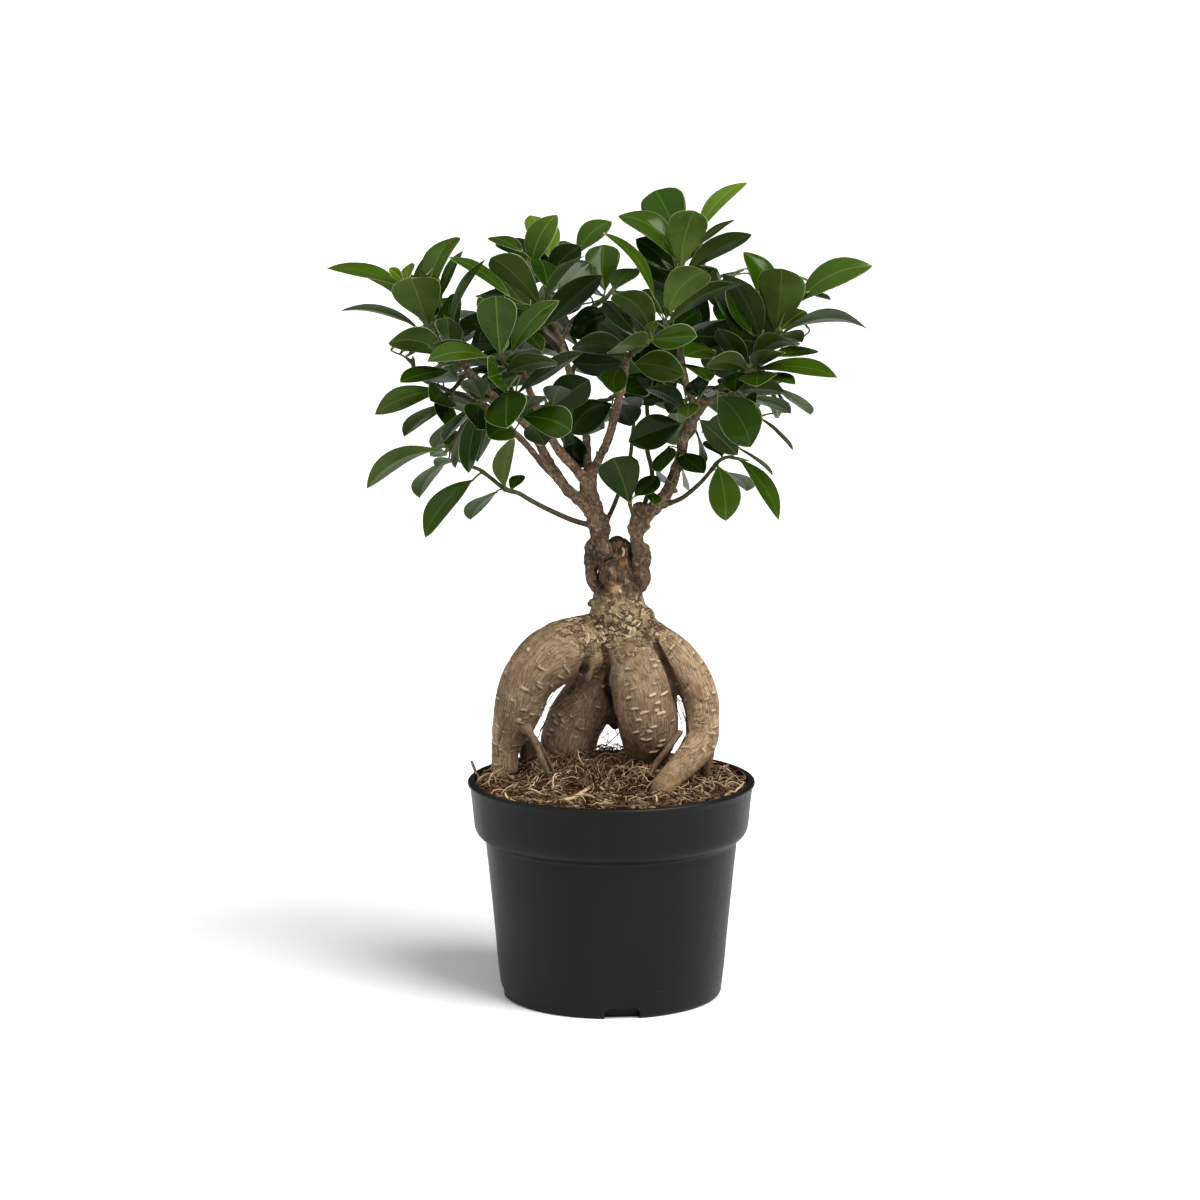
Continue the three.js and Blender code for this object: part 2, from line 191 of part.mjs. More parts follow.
  right_shoot_02: { stem: [[34.4,6.0,342.1,1.5],[32.0,-10.0,347.3,1.33],[29.1,-26.0,352.5,1.17],[26.9,-38.0,358.2,1.0]], leaves: [
    [27.1,-37.8,358.2,27.3,-43.0,360.2,47.1,-52.3,385.1,0.797,0.318,-0.514,19.2,-3.04,2.78,3.45,1],
    [27.3,-35.4,356.7,28.5,-34.3,356.8,65.2,-36.1,377.7,0.349,0.762,-0.545,14.4,-1.98,2.48,3.7,2],
    [27.4,-35.4,356.4,21.4,-34.0,370.0,-3.9,-32.6,403.2,-0.323,-0.923,-0.208,14.2,3.64,-1.35,2.83,2],
    [28.9,-29.2,353.7,24.5,-30.0,361.0,18.6,-9.3,372.9,-0.954,-0.296,0.045,14.0,0.2,-0.5,0.97,0],
    [31.3,-13.8,348.9,1.2,-8.0,371.7,11.7,16.8,381.0,-0.927,0.372,0.049,14.8,-0.1,-0.41,1.21,0],
    [33.5,-2.1,344.7,37.3,-0.2,346.3,57.3,-18.9,358.4,0.679,0.734,0.019,15.6,-0.46,0.18,1.04,0],
    [31.4,-14.4,348.6,30.9,-11.8,351.6,45.9,15.8,359.3,-0.584,0.093,0.806,14.0,0.35,-0.7,0.71,0],
    [27.3,-34.8,356.4,27.3,-44.0,360.8,26.2,-47.0,367.6,0.737,-0.654,-0.172,6.0,0.22,0.22,0.13,0],
  ] },
  right_shoot_03: { stem: [[74.0,-12.0,336.2,1.4],[75.8,-4.0,340.5,1.27],[76.7,4.0,343.8,1.13],[76.9,10.0,347.4,1.0]], leaves: [
    [76.1,-3.8,340.5,76.3,-4.5,347.8,57.1,-21.5,382.1,0.726,-0.685,0.067,20.1,2.37,1.0,1.48,0],
    [76.7,8.2,346.4,72.7,10.3,347.3,59.8,15.1,372.3,-0.556,-0.821,-0.131,15.3,-1.19,0.09,-0.65,0],
    [76.7,6.8,345.3,81.1,13.9,356.3,68.6,16.2,389.8,-0.688,-0.694,-0.212,19.0,4.07,-2.61,2.32,0],
    [74.4,-11.9,336.0,68.5,-23.1,334.3,53.5,-42.3,355.6,0.869,-0.45,0.204,14.3,0.06,0.17,0.14,0],
    [76.8,8.9,346.8,79.0,11.6,349.3,75.7,21.8,368.1,-0.895,-0.439,0.08,15.4,0.76,-0.59,0.91,0],
  ] },
  right_shoot_04: { stem: [[74.4,-14.0,337.4,1.4],[78.0,-14.0,340.5,1.27],[81.6,-13.0,344.5,1.13],[84.2,-12.0,349.6,1.0]], leaves: [
    [83.8,-12.0,348.3,84.3,-8.0,350.7,86.1,-30.3,385.3,0.975,-0.16,-0.153,24.9,0.68,0.77,0.05,1],
    [82.2,-13.1,345.6,95.4,-9.3,365.2,133.6,-8.8,384.1,-0.32,0.707,0.631,22.2,-2.3,-2.0,4.93,0],
    [82.2,-13.1,345.4,99.3,-12.0,371.1,112.6,-3.6,366.2,-0.588,0.704,-0.397,6.0,0.0,0.37,0.64,0],
    [83.9,-12.1,348.1,87.2,-13.0,350.2,130.9,-16.2,353.6,0.097,0.921,-0.376,22.9,-0.41,1.94,6.09,0],
    [83.5,-11.9,348.5,86.1,-14.9,351.9,101.1,19.7,358.9,-0.815,0.248,0.523,12.4,0.03,-0.25,1.07,2],
    [81.8,-13.1,344.5,80.9,-15.7,347.4,98.2,2.0,344.6,-0.685,0.606,-0.404,17.6,-0.17,0.31,1.49,0],
  ] },
  right_shoot_05: { stem: [[73.9,-16.0,335.6,1.3],[74.1,-22.0,334.2,1.15],[74.4,-28.0,333.3,1.0]], leaves: [
    [74.4,-26.6,333.8,71.7,-25.8,334.2,91.6,-40.8,348.8,0.725,0.509,-0.464,16.6,-2.2,1.91,4.82,1],
    [74.0,-25.2,333.6,72.5,-25.9,333.5,83.7,-54.8,345.4,0.941,0.329,-0.083,17.2,-0.06,0.54,1.39,0],
    [73.6,-16.3,335.3,82.0,-16.2,338.3,107.2,6.3,339.1,-0.623,0.687,0.374,11.4,0.23,-0.3,0.93,2],
    [74.2,-28.2,333.1,74.0,-29.5,333.1,114.5,-35.3,330.1,0.156,0.94,0.302,21.5,0.2,-0.77,3.25,0],
    [74.0,-22.3,334.0,78.6,-24.8,330.6,92.4,-48.2,328.0,0.832,0.46,0.31,10.0,-0.34,-0.26,0.73,2],
    [74.6,-26.3,333.6,75.5,-32.2,332.6,72.1,-70.8,330.1,0.99,-0.094,0.103,20.4,-0.61,0.03,0.26,0],
    [74.6,-24.7,333.9,69.0,-30.7,333.5,47.4,-57.0,338.8,0.591,-0.34,0.732,14.0,0.03,0.67,2.61,0],
    [74.0,-17.7,335.4,64.3,-22.0,331.1,61.9,-47.8,323.9,0.958,-0.156,0.241,14.0,-0.33,-0.29,1.12,0],
  ] },
  right_shoot_06: { stem: [[61.1,-16.0,322.2,1.3],[59.3,-26.0,321.8,1.1],[58.5,-34.0,321.7,0.9]], leaves: [
    [60.4,-20.9,322.0,62.0,-20.8,321.8,88.8,-16.8,320.3,-0.146,0.721,-0.677,15.3,0.23,0.48,1.45,0],
    [61.0,-16.3,322.2,87.0,0.0,320.4,104.1,19.3,304.6,-0.727,0.685,0.048,15.8,0.15,0.07,0.25,0],
    [61.1,-16.3,321.9,72.2,-8.0,316.2,92.9,3.5,307.0,-0.571,0.732,-0.371,14.0,0.38,0.38,1.34,0],
    [59.2,-30.0,321.6,53.8,-40.0,320.9,70.4,-46.2,295.7,0.841,0.089,0.533,22.5,2.53,-1.45,2.03,0],
    [59.2,-25.7,322.1,45.0,-28.0,307.2,64.6,-24.5,288.8,-0.679,0.32,-0.661,14.1,0.17,0.67,0.3,0],
    [60.9,-18.6,322.1,76.8,-24.0,307.7,93.3,-12.7,289.8,-0.48,0.871,0.105,10.0,0.5,0.21,0.59,2],
    [61.3,-16.3,322.3,68.9,-16.0,317.6,73.1,-37.8,317.1,0.697,0.119,0.707,9.0,-0.69,-0.15,0.71,0],
  ] },
  right_shoot_07: { stem: [[40.4,-10.0,302.9,1.2],[39.1,-20.0,309.3,1.05],[37.9,-28.0,314.4,0.9]], leaves: [
    [39.9,-14.9,306.2,35.6,-15.7,303.6,8.9,-27.5,295.9,0.254,0.061,-0.965,18.1,-0.28,-0.11,1.11,0],
    [38.0,-26.4,313.1,39.8,-32.0,316.4,38.0,-46.5,311.0,0.985,-0.154,0.08,12.0,-0.09,-0.23,0.66,0],
    [38.4,-24.4,311.6,36.9,-24.6,312.9,17.4,-36.0,324.5,0.631,-0.649,0.425,14.0,0.95,0.71,2.31,0],
    [38.8,-24.0,311.7,36.3,-27.2,335.8,49.4,-49.4,330.0,0.835,0.531,-0.141,16.6,-0.1,-0.29,1.4,0],
    [38.4,-23.8,312.2,51.8,-18.0,342.0,36.9,-42.9,341.5,0.746,-0.435,-0.505,15.1,0.56,-0.35,1.13,0],
    [39.3,-20.1,309.3,44.7,-15.9,328.4,44.4,-32.3,320.0,0.886,-0.227,0.404,14.0,-0.39,-0.3,1.1,0],
    [39.2,-20.3,309.4,48.3,-19.0,320.5,54.3,10.9,314.0,-0.974,0.161,-0.161,10.0,-0.26,0.32,0.96,0],
    [39.6,-14.9,305.9,38.2,-15.0,313.9,29.2,-2.9,308.3,-0.81,-0.409,0.42,14.6,0.16,0.39,1.19,0],
  ] },
  right_shoot_08: { stem: [[27.2,-4.0,260.0,1.3],[36.5,-6.0,264.0,1.23],[45.2,-8.0,271.5,1.16],[50.3,-9.0,277.4,1.09],[55.4,-10.0,283.8,1.01],[60.0,-11.0,286.0,0.94],[63.0,-12.0,285.6,0.87],[65.6,-12.0,285.1,0.8]], leaves: [
    [54.4,-9.5,282.5,54.8,-12.7,281.5,58.8,-19.3,253.9,0.99,0.047,0.134,17.0,1.15,-1.26,0.47,0],
    [51.4,-9.6,279.0,59.6,-6.8,277.6,71.0,18.2,264.2,-0.888,0.451,0.088,15.9,1.31,0.27,1.61,0],
    [65.5,-12.3,284.8,65.6,-12.0,285.1,86.7,-16.4,254.0,0.412,0.898,0.154,19.7,2.14,-1.04,1.6,0],
    [62.0,-11.5,285.8,66.3,-6.0,290.0,84.1,9.2,273.9,-0.583,0.805,0.115,10.0,0.44,0.22,0.7,2],
    [52.8,-9.2,281.1,57.3,3.4,284.6,52.9,29.9,289.6,-0.987,-0.163,-0.017,14.0,-0.15,-0.29,0.97,0],
    [30.2,-4.7,261.2,21.8,-17.9,262.0,19.9,-6.3,268.2,-0.864,-0.339,0.373,11.0,0.3,-0.16,0.16,0],
  ] },
  right_shoot_09: { stem: [[12.2,-6.0,251.9,1.1],[10.6,-11.0,257.4,1.0],[9.5,-14.0,262.0,0.9],[10.0,-14.0,265.1,0.8]], leaves: [
    [9.7,-13.8,262.0,9.0,-17.0,263.4,0.7,-20.6,287.2,0.946,-0.077,0.316,21.9,0.66,0.65,0.33,1],
    [9.4,-14.3,261.9,12.0,-20.0,267.0,23.9,-11.5,276.2,-0.692,0.664,0.281,14.0,0.45,-0.06,-0.53,0],
  ] },
  right_shoot_10: { stem: [[36.3,-8.0,289.2,1.0],[37.2,-14.0,289.0,0.9],[36.1,-18.0,288.4,0.8]], leaves: [
    [36.6,-7.8,289.2,29.1,-8.0,290.8,24.6,-33.2,281.7,0.871,-0.296,0.391,14.1,0.44,-0.04,-0.12,0],
    [36.5,-9.9,289.1,33.7,-12.0,288.7,47.2,-28.1,280.0,0.804,0.497,0.326,14.0,-0.06,-0.07,0.03,0],
    [36.3,-8.3,288.9,44.2,-0.5,297.6,46.2,13.5,280.1,-0.279,0.765,0.581,16.2,1.22,0.34,0.59,0],
    [37.6,-13.9,288.8,35.7,-15.6,281.9,38.6,43.6,263.3,-0.298,0.299,0.907,15.2,0.83,0.43,0.92,0],
    [37.2,-13.7,289.2,30.5,-19.0,274.1,25.6,27.4,268.8,-0.783,-0.012,0.622,14.0,0.66,0.23,0.74,0],
  ] },
  right_shoot_11: { stem: [[58.8,58.0,320.8,1.4],[59.6,50.0,329.6,1.27],[60.3,42.0,338.4,1.13],[61.1,34.0,347.1,1.0]], leaves: [
    [58.6,57.9,320.9,67.2,58.1,322.3,55.6,56.8,342.2,-0.865,-0.011,-0.502,14.0,0.33,-0.84,0.54,0],
    [59.9,44.0,336.2,71.6,30.9,329.2,61.9,27.1,354.3,0.62,-0.775,0.125,16.2,0.89,0.78,0.76,0],
    [60.6,41.9,338.1,60.4,39.8,335.1,49.4,28.5,350.2,0.806,-0.57,0.16,14.6,0.03,0.79,0.99,0],
    [59.1,56.2,322.8,62.9,57.3,328.9,71.5,69.5,343.8,-0.903,0.15,0.402,14.0,-0.05,-0.71,0.61,0],
    [61.4,34.0,347.1,61.0,30.4,346.3,59.1,66.9,360.0,-0.993,-0.084,0.088,14.0,0.4,-0.6,0.71,0],
    [60.3,45.9,333.8,59.2,40.4,331.5,46.5,30.3,337.0,0.658,-0.558,0.505,15.2,-0.71,0.62,0.92,0],
    [60.3,44.2,336.0,63.6,45.1,338.0,77.5,52.2,337.3,-0.238,0.386,-0.891,14.0,-0.76,0.59,0.63,0],
  ] },
  left_shoot_14: { stem: [[-2.8,3.0,250.1,1.3],[-0.2,6.0,254.9,1.24],[2.9,8.0,262.0,1.19],[6.6,10.0,272.2,1.13],[9.7,13.0,282.3,1.07],[10.8,16.0,291.4,1.01],[11.8,18.0,301.6,0.96],[12.8,18.0,309.5,0.9]], leaves: [
    [12.3,18.4,303.8,11.8,22.0,305.3,0.4,43.1,298.6,-0.867,-0.357,0.348,14.0,0.22,0.44,1.01,0],
    [12.7,17.7,309.4,13.3,16.0,310.2,22.8,21.3,315.9,-0.631,0.427,0.648,14.0,0.23,-0.34,0.8,0],
    [12.5,17.7,307.3,12.9,21.4,309.6,8.3,45.3,316.4,-0.975,-0.207,0.075,14.0,-0.08,-0.34,0.97,0],
    [12.9,18.2,307.4,12.9,22.8,309.4,15.0,32.7,325.2,-0.987,0.157,0.037,16.5,-0.6,-0.52,1.18,0],
  ] },
  right_shoot_12: { stem: [[12.8,4.0,247.8,1.4],[18.0,10.0,260.6,1.34],[21.2,14.0,273.8,1.29],[18.6,18.0,286.9,1.23],[19.2,22.0,298.5,1.17],[18.7,26.0,308.6,1.11],[20.3,30.0,317.0,1.06],[21.3,34.0,325.0,1.0]], leaves: [
    [20.1,29.2,315.0,20.2,26.0,315.4,15.5,73.5,320.7,-0.994,-0.103,0.033,14.1,-0.04,-0.36,1.16,0],
    [18.8,26.7,310.7,19.3,33.5,310.3,30.2,59.3,310.0,-0.71,0.309,0.632,14.5,0.73,-0.3,0.97,0],
    [20.8,31.7,320.7,21.4,36.9,321.5,30.3,65.9,326.9,-0.946,0.252,0.204,14.0,0.39,-0.42,0.9,0],
    [21.7,34.1,324.8,21.3,33.5,324.0,23.2,53.6,339.9,-0.909,0.306,-0.283,14.0,-0.47,-0.63,0.85,0],
    [21.0,33.3,323.3,21.4,37.5,322.5,14.2,59.1,334.0,-0.954,-0.299,-0.033,14.6,-0.05,-0.53,1.14,0],
  ] },
  left_shoot_15: { stem: [[-70.5,50.0,308.4,1.5],[-74.1,57.8,310.7,1.4],[-76.8,66.1,311.9,1.3],[-79.1,74.3,313.0,1.2],[-81.4,81.8,314.7,1.1],[-83.9,88.0,318.0,1.0]], leaves: [
    [-73.0,56.0,310.2,-68.9,57.3,314.1,-28.5,48.1,327.1,0.363,0.64,-0.678,23.1,-0.1,1.61,1.46,0],
    [-75.7,61.6,311.3,-71.6,66.5,315.0,-31.3,82.1,327.1,-0.236,0.899,-0.37,23.8,-0.83,0.6,1.99,0],
    [-77.7,70.3,312.3,-73.1,69.6,319.3,-39.6,45.4,337.0,0.599,0.8,-0.036,23.9,-0.67,0.59,2.07,0],
    [-79.2,74.6,313.3,-80.7,82.4,314.9,-83.6,119.6,314.2,-0.988,-0.076,0.131,19.8,0.24,0.06,1.85,1],
    [-80.5,79.9,314.2,-83.0,84.1,319.0,-96.6,104.4,350.8,0.924,0.019,0.383,21.2,0.36,1.73,-0.95,0],
    [-81.9,83.1,315.5,-81.4,89.1,318.7,-70.0,117.3,331.6,-0.488,0.517,-0.703,17.5,-1.32,0.08,0.98,0],
    [-84.1,88.3,317.7,-88.0,94.8,321.4,-108.1,123.4,330.9,-0.602,-0.598,0.53,19.2,1.04,0.25,1.46,0],
  ] },
  left_shoot_16: { stem: [[-63.0,42.4,302.6,1.5],[-74.2,47.3,308.3,1.4],[-86.1,50.7,313.2,1.3],[-97.8,53.3,318.0,1.2],[-104.2,60.0,322.2,1.1],[-105.5,66.0,327.4,1.0]], leaves: [
    [-88.9,51.6,314.4,-87.4,45.4,320.0,-62.8,15.1,326.9,0.757,0.642,0.121,21.0,-0.4,0.11,1.94,0],
    [-92.2,51.8,315.5,-88.2,58.0,321.6,-57.3,76.0,328.5,-0.326,0.772,-0.546,19.3,-0.76,0.73,1.49,1],
    [-97.9,53.0,317.7,-94.4,49.8,325.2,-56.9,27.5,339.8,0.407,0.869,0.282,24.4,-0.95,-0.23,2.08,0],
    [-100.3,54.0,319.1,-98.1,58.5,322.9,-66.7,80.4,326.9,-0.491,0.778,-0.393,20.4,-0.59,0.52,1.76,0],
    [-104.4,61.7,323.8,-107.7,53.2,331.9,-73.6,35.0,345.2,0.504,0.855,-0.12,21.7,-0.46,0.54,1.92,0],
    [-104.9,63.6,325.6,-111.8,64.2,332.3,-90.9,88.6,339.9,-0.74,0.665,-0.098,17.5,-0.37,-0.18,1.6,0],
    [-105.7,66.3,327.1,-116.6,63.2,334.4,-94.5,86.7,343.5,-0.728,0.685,0.002,17.8,-0.31,-0.33,1.61,0],
  ] },
  left_shoot_17: { stem: [[-55.3,34.8,296.7,1.5],[-57.8,46.7,297.6,1.4],[-58.2,58.9,296.1,1.3],[-57.5,71.0,294.1,1.2],[-57.0,82.2,293.4,1.1],[-57.9,92.0,296.0,1.0]], leaves: [
    [-58.0,59.1,296.1,-52.8,61.7,297.1,-10.9,60.1,294.2,-0.027,0.666,-0.746,22.3,0.16,1.57,1.39,0],
    [-58.0,64.7,294.9,-63.2,71.3,297.7,-93.8,90.5,304.3,-0.254,-0.654,0.713,19.5,0.9,1.01,1.25,0],
    [-57.8,67.7,294.2,-50.2,72.1,296.4,-12.7,71.9,295.8,-0.007,0.661,-0.751,19.9,0.03,1.41,1.24,1],
    [-57.0,74.0,293.5,-59.6,80.1,293.5,-76.5,113.7,281.6,-0.804,-0.209,0.556,20.9,0.81,0.95,1.53,0],
    [-57.2,77.0,293.7,-58.2,83.3,297.3,-63.6,112.9,316.5,0.969,0.233,-0.085,18.9,-0.35,0.91,-1.5,1],
    [-56.8,82.1,293.4,-54.2,89.6,294.8,-32.9,120.0,294.3,-0.797,0.555,-0.236,20.1,-0.34,0.27,1.8,1],
    [-57.3,86.9,294.5,-59.7,94.2,295.2,-73.3,124.0,291.3,-0.822,-0.315,0.475,16.7,0.65,0.48,1.44,1],
    [-58.1,92.3,295.7,-58.7,100.9,300.1,-61.3,133.0,314.5,0.955,0.181,-0.234,18.3,-0.51,0.66,-1.56,0],
  ] },
  left_shoot_18: { stem: [[-65.5,44.9,304.5,1.5],[-71.4,50.5,313.6,1.4],[-76.6,55.1,323.3,1.3],[-81.2,59.0,333.2,1.2],[-85.5,62.6,342.9,1.1],[-89.9,66.0,352.0,1.0]], leaves: [
    [-76.4,55.3,323.3,-74.1,49.1,328.6,-53.2,14.5,329.6,0.854,0.513,-0.089,21.4,0.13,0.14,2.01,1],
    [-77.9,55.8,325.7,-76.0,57.8,331.6,-51.0,65.2,359.3,0.385,0.743,-0.547,20.2,-1.23,1.22,0.79,1],
    [-80.1,57.8,330.4,-85.4,64.2,333.9,-108.6,94.6,330.6,-0.78,-0.61,-0.139,20.3,-0.31,-0.03,1.89,1],
    [-81.9,60.0,335.5,-86.4,62.0,341.8,-114.9,73.4,373.4,-0.522,-0.836,-0.169,23.4,1.23,-1.07,1.49,0],
    [-84.5,62.0,340.8,-86.6,66.3,344.5,-97.1,100.7,357.3,-0.939,-0.176,-0.296,20.2,-0.4,-0.75,1.7,0],
    [-85.3,62.5,342.9,-89.6,65.5,348.2,-118.0,85.2,372.4,-0.658,-0.732,-0.176,22.4,0.72,-1.05,1.69,1],
    [-87.6,64.0,347.5,-89.4,65.2,353.4,-96.2,67.2,386.9,0.447,0.894,0.04,18.1,-1.49,0.76,-0.35,0],
    [-90.1,66.3,351.7,-92.5,70.8,355.4,-105.7,105.4,362.6,-0.865,-0.239,-0.442,20.0,-0.68,-0.61,1.65,0],
  ] },
  left_shoot_19: { stem: [[-31.1,40.0,352.8,1.5],[-32.5,43.6,358.8,1.4],[-33.5,48.2,364.0,1.3],[-34.2,53.2,368.7,1.2],[-34.9,58.0,373.3,1.1],[-35.9,62.0,378.0,1.0]], leaves: [
    [-32.0,42.6,357.5,-29.7,46.5,361.1,1.8,72.1,376.5,-0.56,0.805,-0.197,22.8,-0.87,-0.12,1.97,1],
    [-31.9,42.9,357.7,-39.0,47.2,356.4,-67.6,56.7,334.1,-0.644,-0.386,0.661,19.9,-0.11,1.66,0.86,1],
    [-32.9,44.8,360.1,-37.5,40.8,363.9,-58.4,7.2,363.4,0.818,-0.505,-0.276,21.0,0.45,-0.31,1.9,0],
    [-33.3,48.3,364.2,-32.5,56.6,364.9,-22.9,92.7,350.5,-0.97,0.204,-0.133,21.1,-0.09,0.76,1.84,1],
    [-33.8,51.8,367.7,-40.7,48.0,373.3,-64.6,16.8,377.3,0.77,-0.55,0.322,21.0,-0.39,0.54,1.86,0],
    [-34.2,55.6,371.1,-35.0,62.4,375.7,-36.7,99.6,390.3,-0.87,0.145,-0.471,20.5,-0.98,-0.67,1.59,1],
    [-34.9,58.2,373.1,-37.9,66.7,374.8,-48.2,95.9,364.3,-0.941,-0.249,0.229,17.5,0.21,0.6,1.52,0],
  ] },
  left_shoot_20: { stem: [[-24.2,37.9,331.8,1.5],[-31.2,49.1,338.6,1.4],[-38.5,61.9,341.5,1.3],[-45.6,75.1,342.8,1.2],[-52.2,87.5,344.9,1.1],[-57.9,98.0,350.0,1.0]], leaves: [
    [-41.8,68.8,342.2,-44.5,77.0,340.9,-50.2,112.6,319.2,-0.99,-0.135,0.04,23.4,-0.07,1.09,1.8,1],
    [-45.7,74.8,342.7,-51.3,81.2,344.9,-85.5,109.1,346.5,-0.596,-0.746,0.296,22.2,0.47,0.46,2.11,1],
    [-47.3,78.0,342.9,-46.1,84.8,347.5,-26.2,115.8,366.5,-0.27,0.623,-0.734,23.5,-1.73,0.47,1.04,1],
    [-48.6,81.6,343.4,-51.6,89.5,341.8,-58.1,119.3,319.9,-0.977,-0.062,0.204,19.9,0.23,1.14,1.47,0],
    [-52.2,87.9,345.1,-52.3,91.7,350.5,-41.9,109.5,386.7,0.336,0.804,-0.491,22.1,-1.89,0.86,0.12,0],
    [-53.4,90.2,345.9,-54.3,98.4,347.7,-48.8,138.7,346.8,-0.776,0.092,-0.624,20.2,-1.25,0.21,1.59,0],
    [-56.4,95.1,348.7,-61.3,99.8,347.7,-84.5,114.6,331.5,-0.623,-0.756,0.202,17.6,-0.46,0.74,1.34,1],
    [-58.1,98.3,349.7,-57.5,104.9,356.3,-45.3,129.6,381.9,-0.222,0.752,-0.621,19.2,-1.73,0.1,0.73,0],
  ] },
  left_shoot_21: { stem: [[-20.3,33.9,318.9,1.5],[-20.4,47.8,324.1,1.4],[-19.0,62.8,325.3,1.3],[-17.0,77.8,325.0,1.2],[-15.0,91.9,325.7,1.1],[-13.9,104.0,330.0,1.0]], leaves: [
    [-17.8,70.6,325.2,-21.7,71.6,330.2,-52.2,57.9,356.6,0.667,-0.059,0.743,22.6,-0.43,2.01,0.55,1],
    [-17.1,77.5,324.9,-11.9,83.4,324.7,22.5,102.3,310.6,-0.49,0.276,-0.827,22.1,-0.59,1.77,0.94,0],
    [-16.5,81.1,324.7,-18.7,89.1,326.6,-37.0,123.9,326.0,-0.786,-0.405,0.467,20.8,0.8,0.45,1.74,1],
    [-15.6,85.1,324.9,-10.6,90.1,330.6,23.5,100.9,354.3,0.509,0.223,-0.832,22.7,-0.71,2.02,0.11,0],
    [-15.0,92.2,326.0,-13.4,100.9,325.6,-4.6,140.5,312.1,-0.921,0.076,-0.382,24.4,-0.71,0.79,1.86,0],
    [-14.4,95.0,326.5,-17.5,102.2,331.2,-40.0,131.2,351.9,0.087,-0.532,0.842,21.3,1.77,1.04,0.47,1],
    [-14.0,100.7,328.9,-12.2,109.7,331.7,-2.2,143.1,337.9,-0.656,0.324,-0.682,18.8,-1.24,0.14,1.26,0],
    [-14.1,104.3,329.7,-12.9,111.5,330.0,-7.7,143.5,319.7,-0.945,0.051,-0.323,18.2,-0.49,0.57,1.53,0],
  ] },
  left_shoot_22: { stem: [[-26.7,39.8,340.3,1.5],[-22.7,48.0,348.2,1.4],[-16.3,57.3,353.1,1.3],[-9.2,66.9,356.6,1.2],[-2.5,76.0,360.4,1.1],[2.1,84.0,366.0,1.0]], leaves: [
    [-16.1,57.5,353.1,-10.0,56.0,354.5,21.2,31.7,347.8,0.382,0.667,-0.64,20.1,1.0,0.87,1.5,0],
    [-12.9,61.8,354.9,-5.9,69.3,354.4,23.5,93.3,335.0,-0.704,0.671,-0.234,22.6,0.37,1.03,1.83,1],
    [-9.2,66.5,356.3,-11.0,71.6,361.1,-33.9,92.3,380.0,0.213,-0.52,0.827,19.2,1.35,1.15,0.37,1],
    [-7.1,69.3,357.3,-0.1,72.0,358.4,38.6,74.6,348.6,-0.128,0.959,-0.253,21.2,0.44,0.55,1.87,0],
    [-4.1,74.1,359.6,-4.9,79.5,361.6,-21.9,114.9,366.0,-0.585,-0.369,0.722,20.3,1.36,0.48,1.35,0],
    [-2.3,75.9,360.4,1.3,81.6,363.7,27.7,117.0,376.5,-0.564,0.619,-0.547,24.4,-1.37,0.36,1.81,1],
    [0.0,79.8,363.1,2.4,86.3,363.2,12.3,115.5,351.5,-0.945,0.327,0.017,17.5,0.22,0.55,1.54,1],
    [1.9,84.3,365.7,1.7,90.4,368.9,-9.0,121.6,375.5,-0.791,-0.374,0.483,17.8,0.88,-0.0,1.43,0],
    [-22.5,48.3,348.0,-21.7,40.0,343.9,-2.3,26.0,356.2,-0.18,0.499,0.848,18.0,-1.26,-1.31,0.5,0],
  ] },
  right_shoot_13: { stem: [[58.9,60.0,320.6,1.5],[58.9,67.9,324.1,1.4],[58.0,75.7,327.1,1.3],[56.7,83.3,330.2,1.2],[55.9,90.1,333.7,1.1],[56.1,96.0,338.0,1.0]], leaves: [
    [59.2,66.1,323.2,52.8,67.9,329.7,16.7,60.4,347.9,0.43,-0.702,0.567,22.2,0.43,1.42,1.43,0],
    [58.6,69.5,324.8,63.3,74.6,332.3,88.2,84.4,356.7,0.315,0.726,-0.611,19.2,-1.18,1.15,0.75,0],
    [58.2,73.5,326.1,54.2,79.3,330.6,26.0,100.0,342.5,-0.478,-0.825,0.301,19.6,0.8,0.14,1.66,1],
    [57.7,79.7,328.5,59.7,83.4,333.0,82.1,102.5,358.2,0.044,0.777,-0.629,20.5,-1.58,0.76,0.83,0],
    [56.7,83.6,330.5,58.3,92.2,330.3,65.9,124.4,315.9,-0.766,-0.103,-0.634,19.1,-1.1,0.79,1.19,0],
    [56.5,86.7,331.9,53.7,92.2,335.9,29.0,123.2,354.5,-0.338,-0.668,0.663,23.8,1.65,0.5,1.35,1],
    [56.0,91.4,334.7,59.0,96.4,339.3,82.8,116.2,358.9,0.274,0.488,-0.829,18.4,-1.3,1.25,0.31,0],
    [55.9,96.3,337.7,56.8,105.6,340.1,59.7,138.3,336.4,-0.996,0.084,-0.034,17.5,-0.04,0.19,1.64,1],
  ] },
  right_shoot_14: { stem: [[55.1,48.4,314.6,1.5],[51.7,61.1,313.3,1.4],[45.9,72.7,308.8,1.3],[39.3,83.5,303.8,1.2],[33.5,93.8,300.7,1.1],[30.1,104.0,302.0,1.0]], leaves: [
    [44.5,75.7,307.6,37.8,79.2,313.9,9.1,78.0,340.6,0.677,-0.165,0.718,21.8,0.18,1.93,0.28,0],
    [42.4,77.9,306.2,46.5,84.4,306.5,81.6,107.4,300.2,-0.137,-0.06,-0.989,22.5,-1.16,1.78,0.05,1],
    [39.2,83.2,303.5,35.6,91.6,304.6,18.6,123.0,302.9,-0.293,-0.107,0.95,19.0,1.48,0.83,0.55,0],
    [38.1,86.2,302.6,34.7,92.3,308.4,19.5,115.6,343.3,0.89,-0.089,0.448,23.6,0.68,1.9,-0.97,1],
    [34.7,91.6,301.4,34.6,100.6,298.4,40.6,135.7,274.6,-0.915,-0.109,-0.39,21.3,-0.81,1.21,1.57,1],
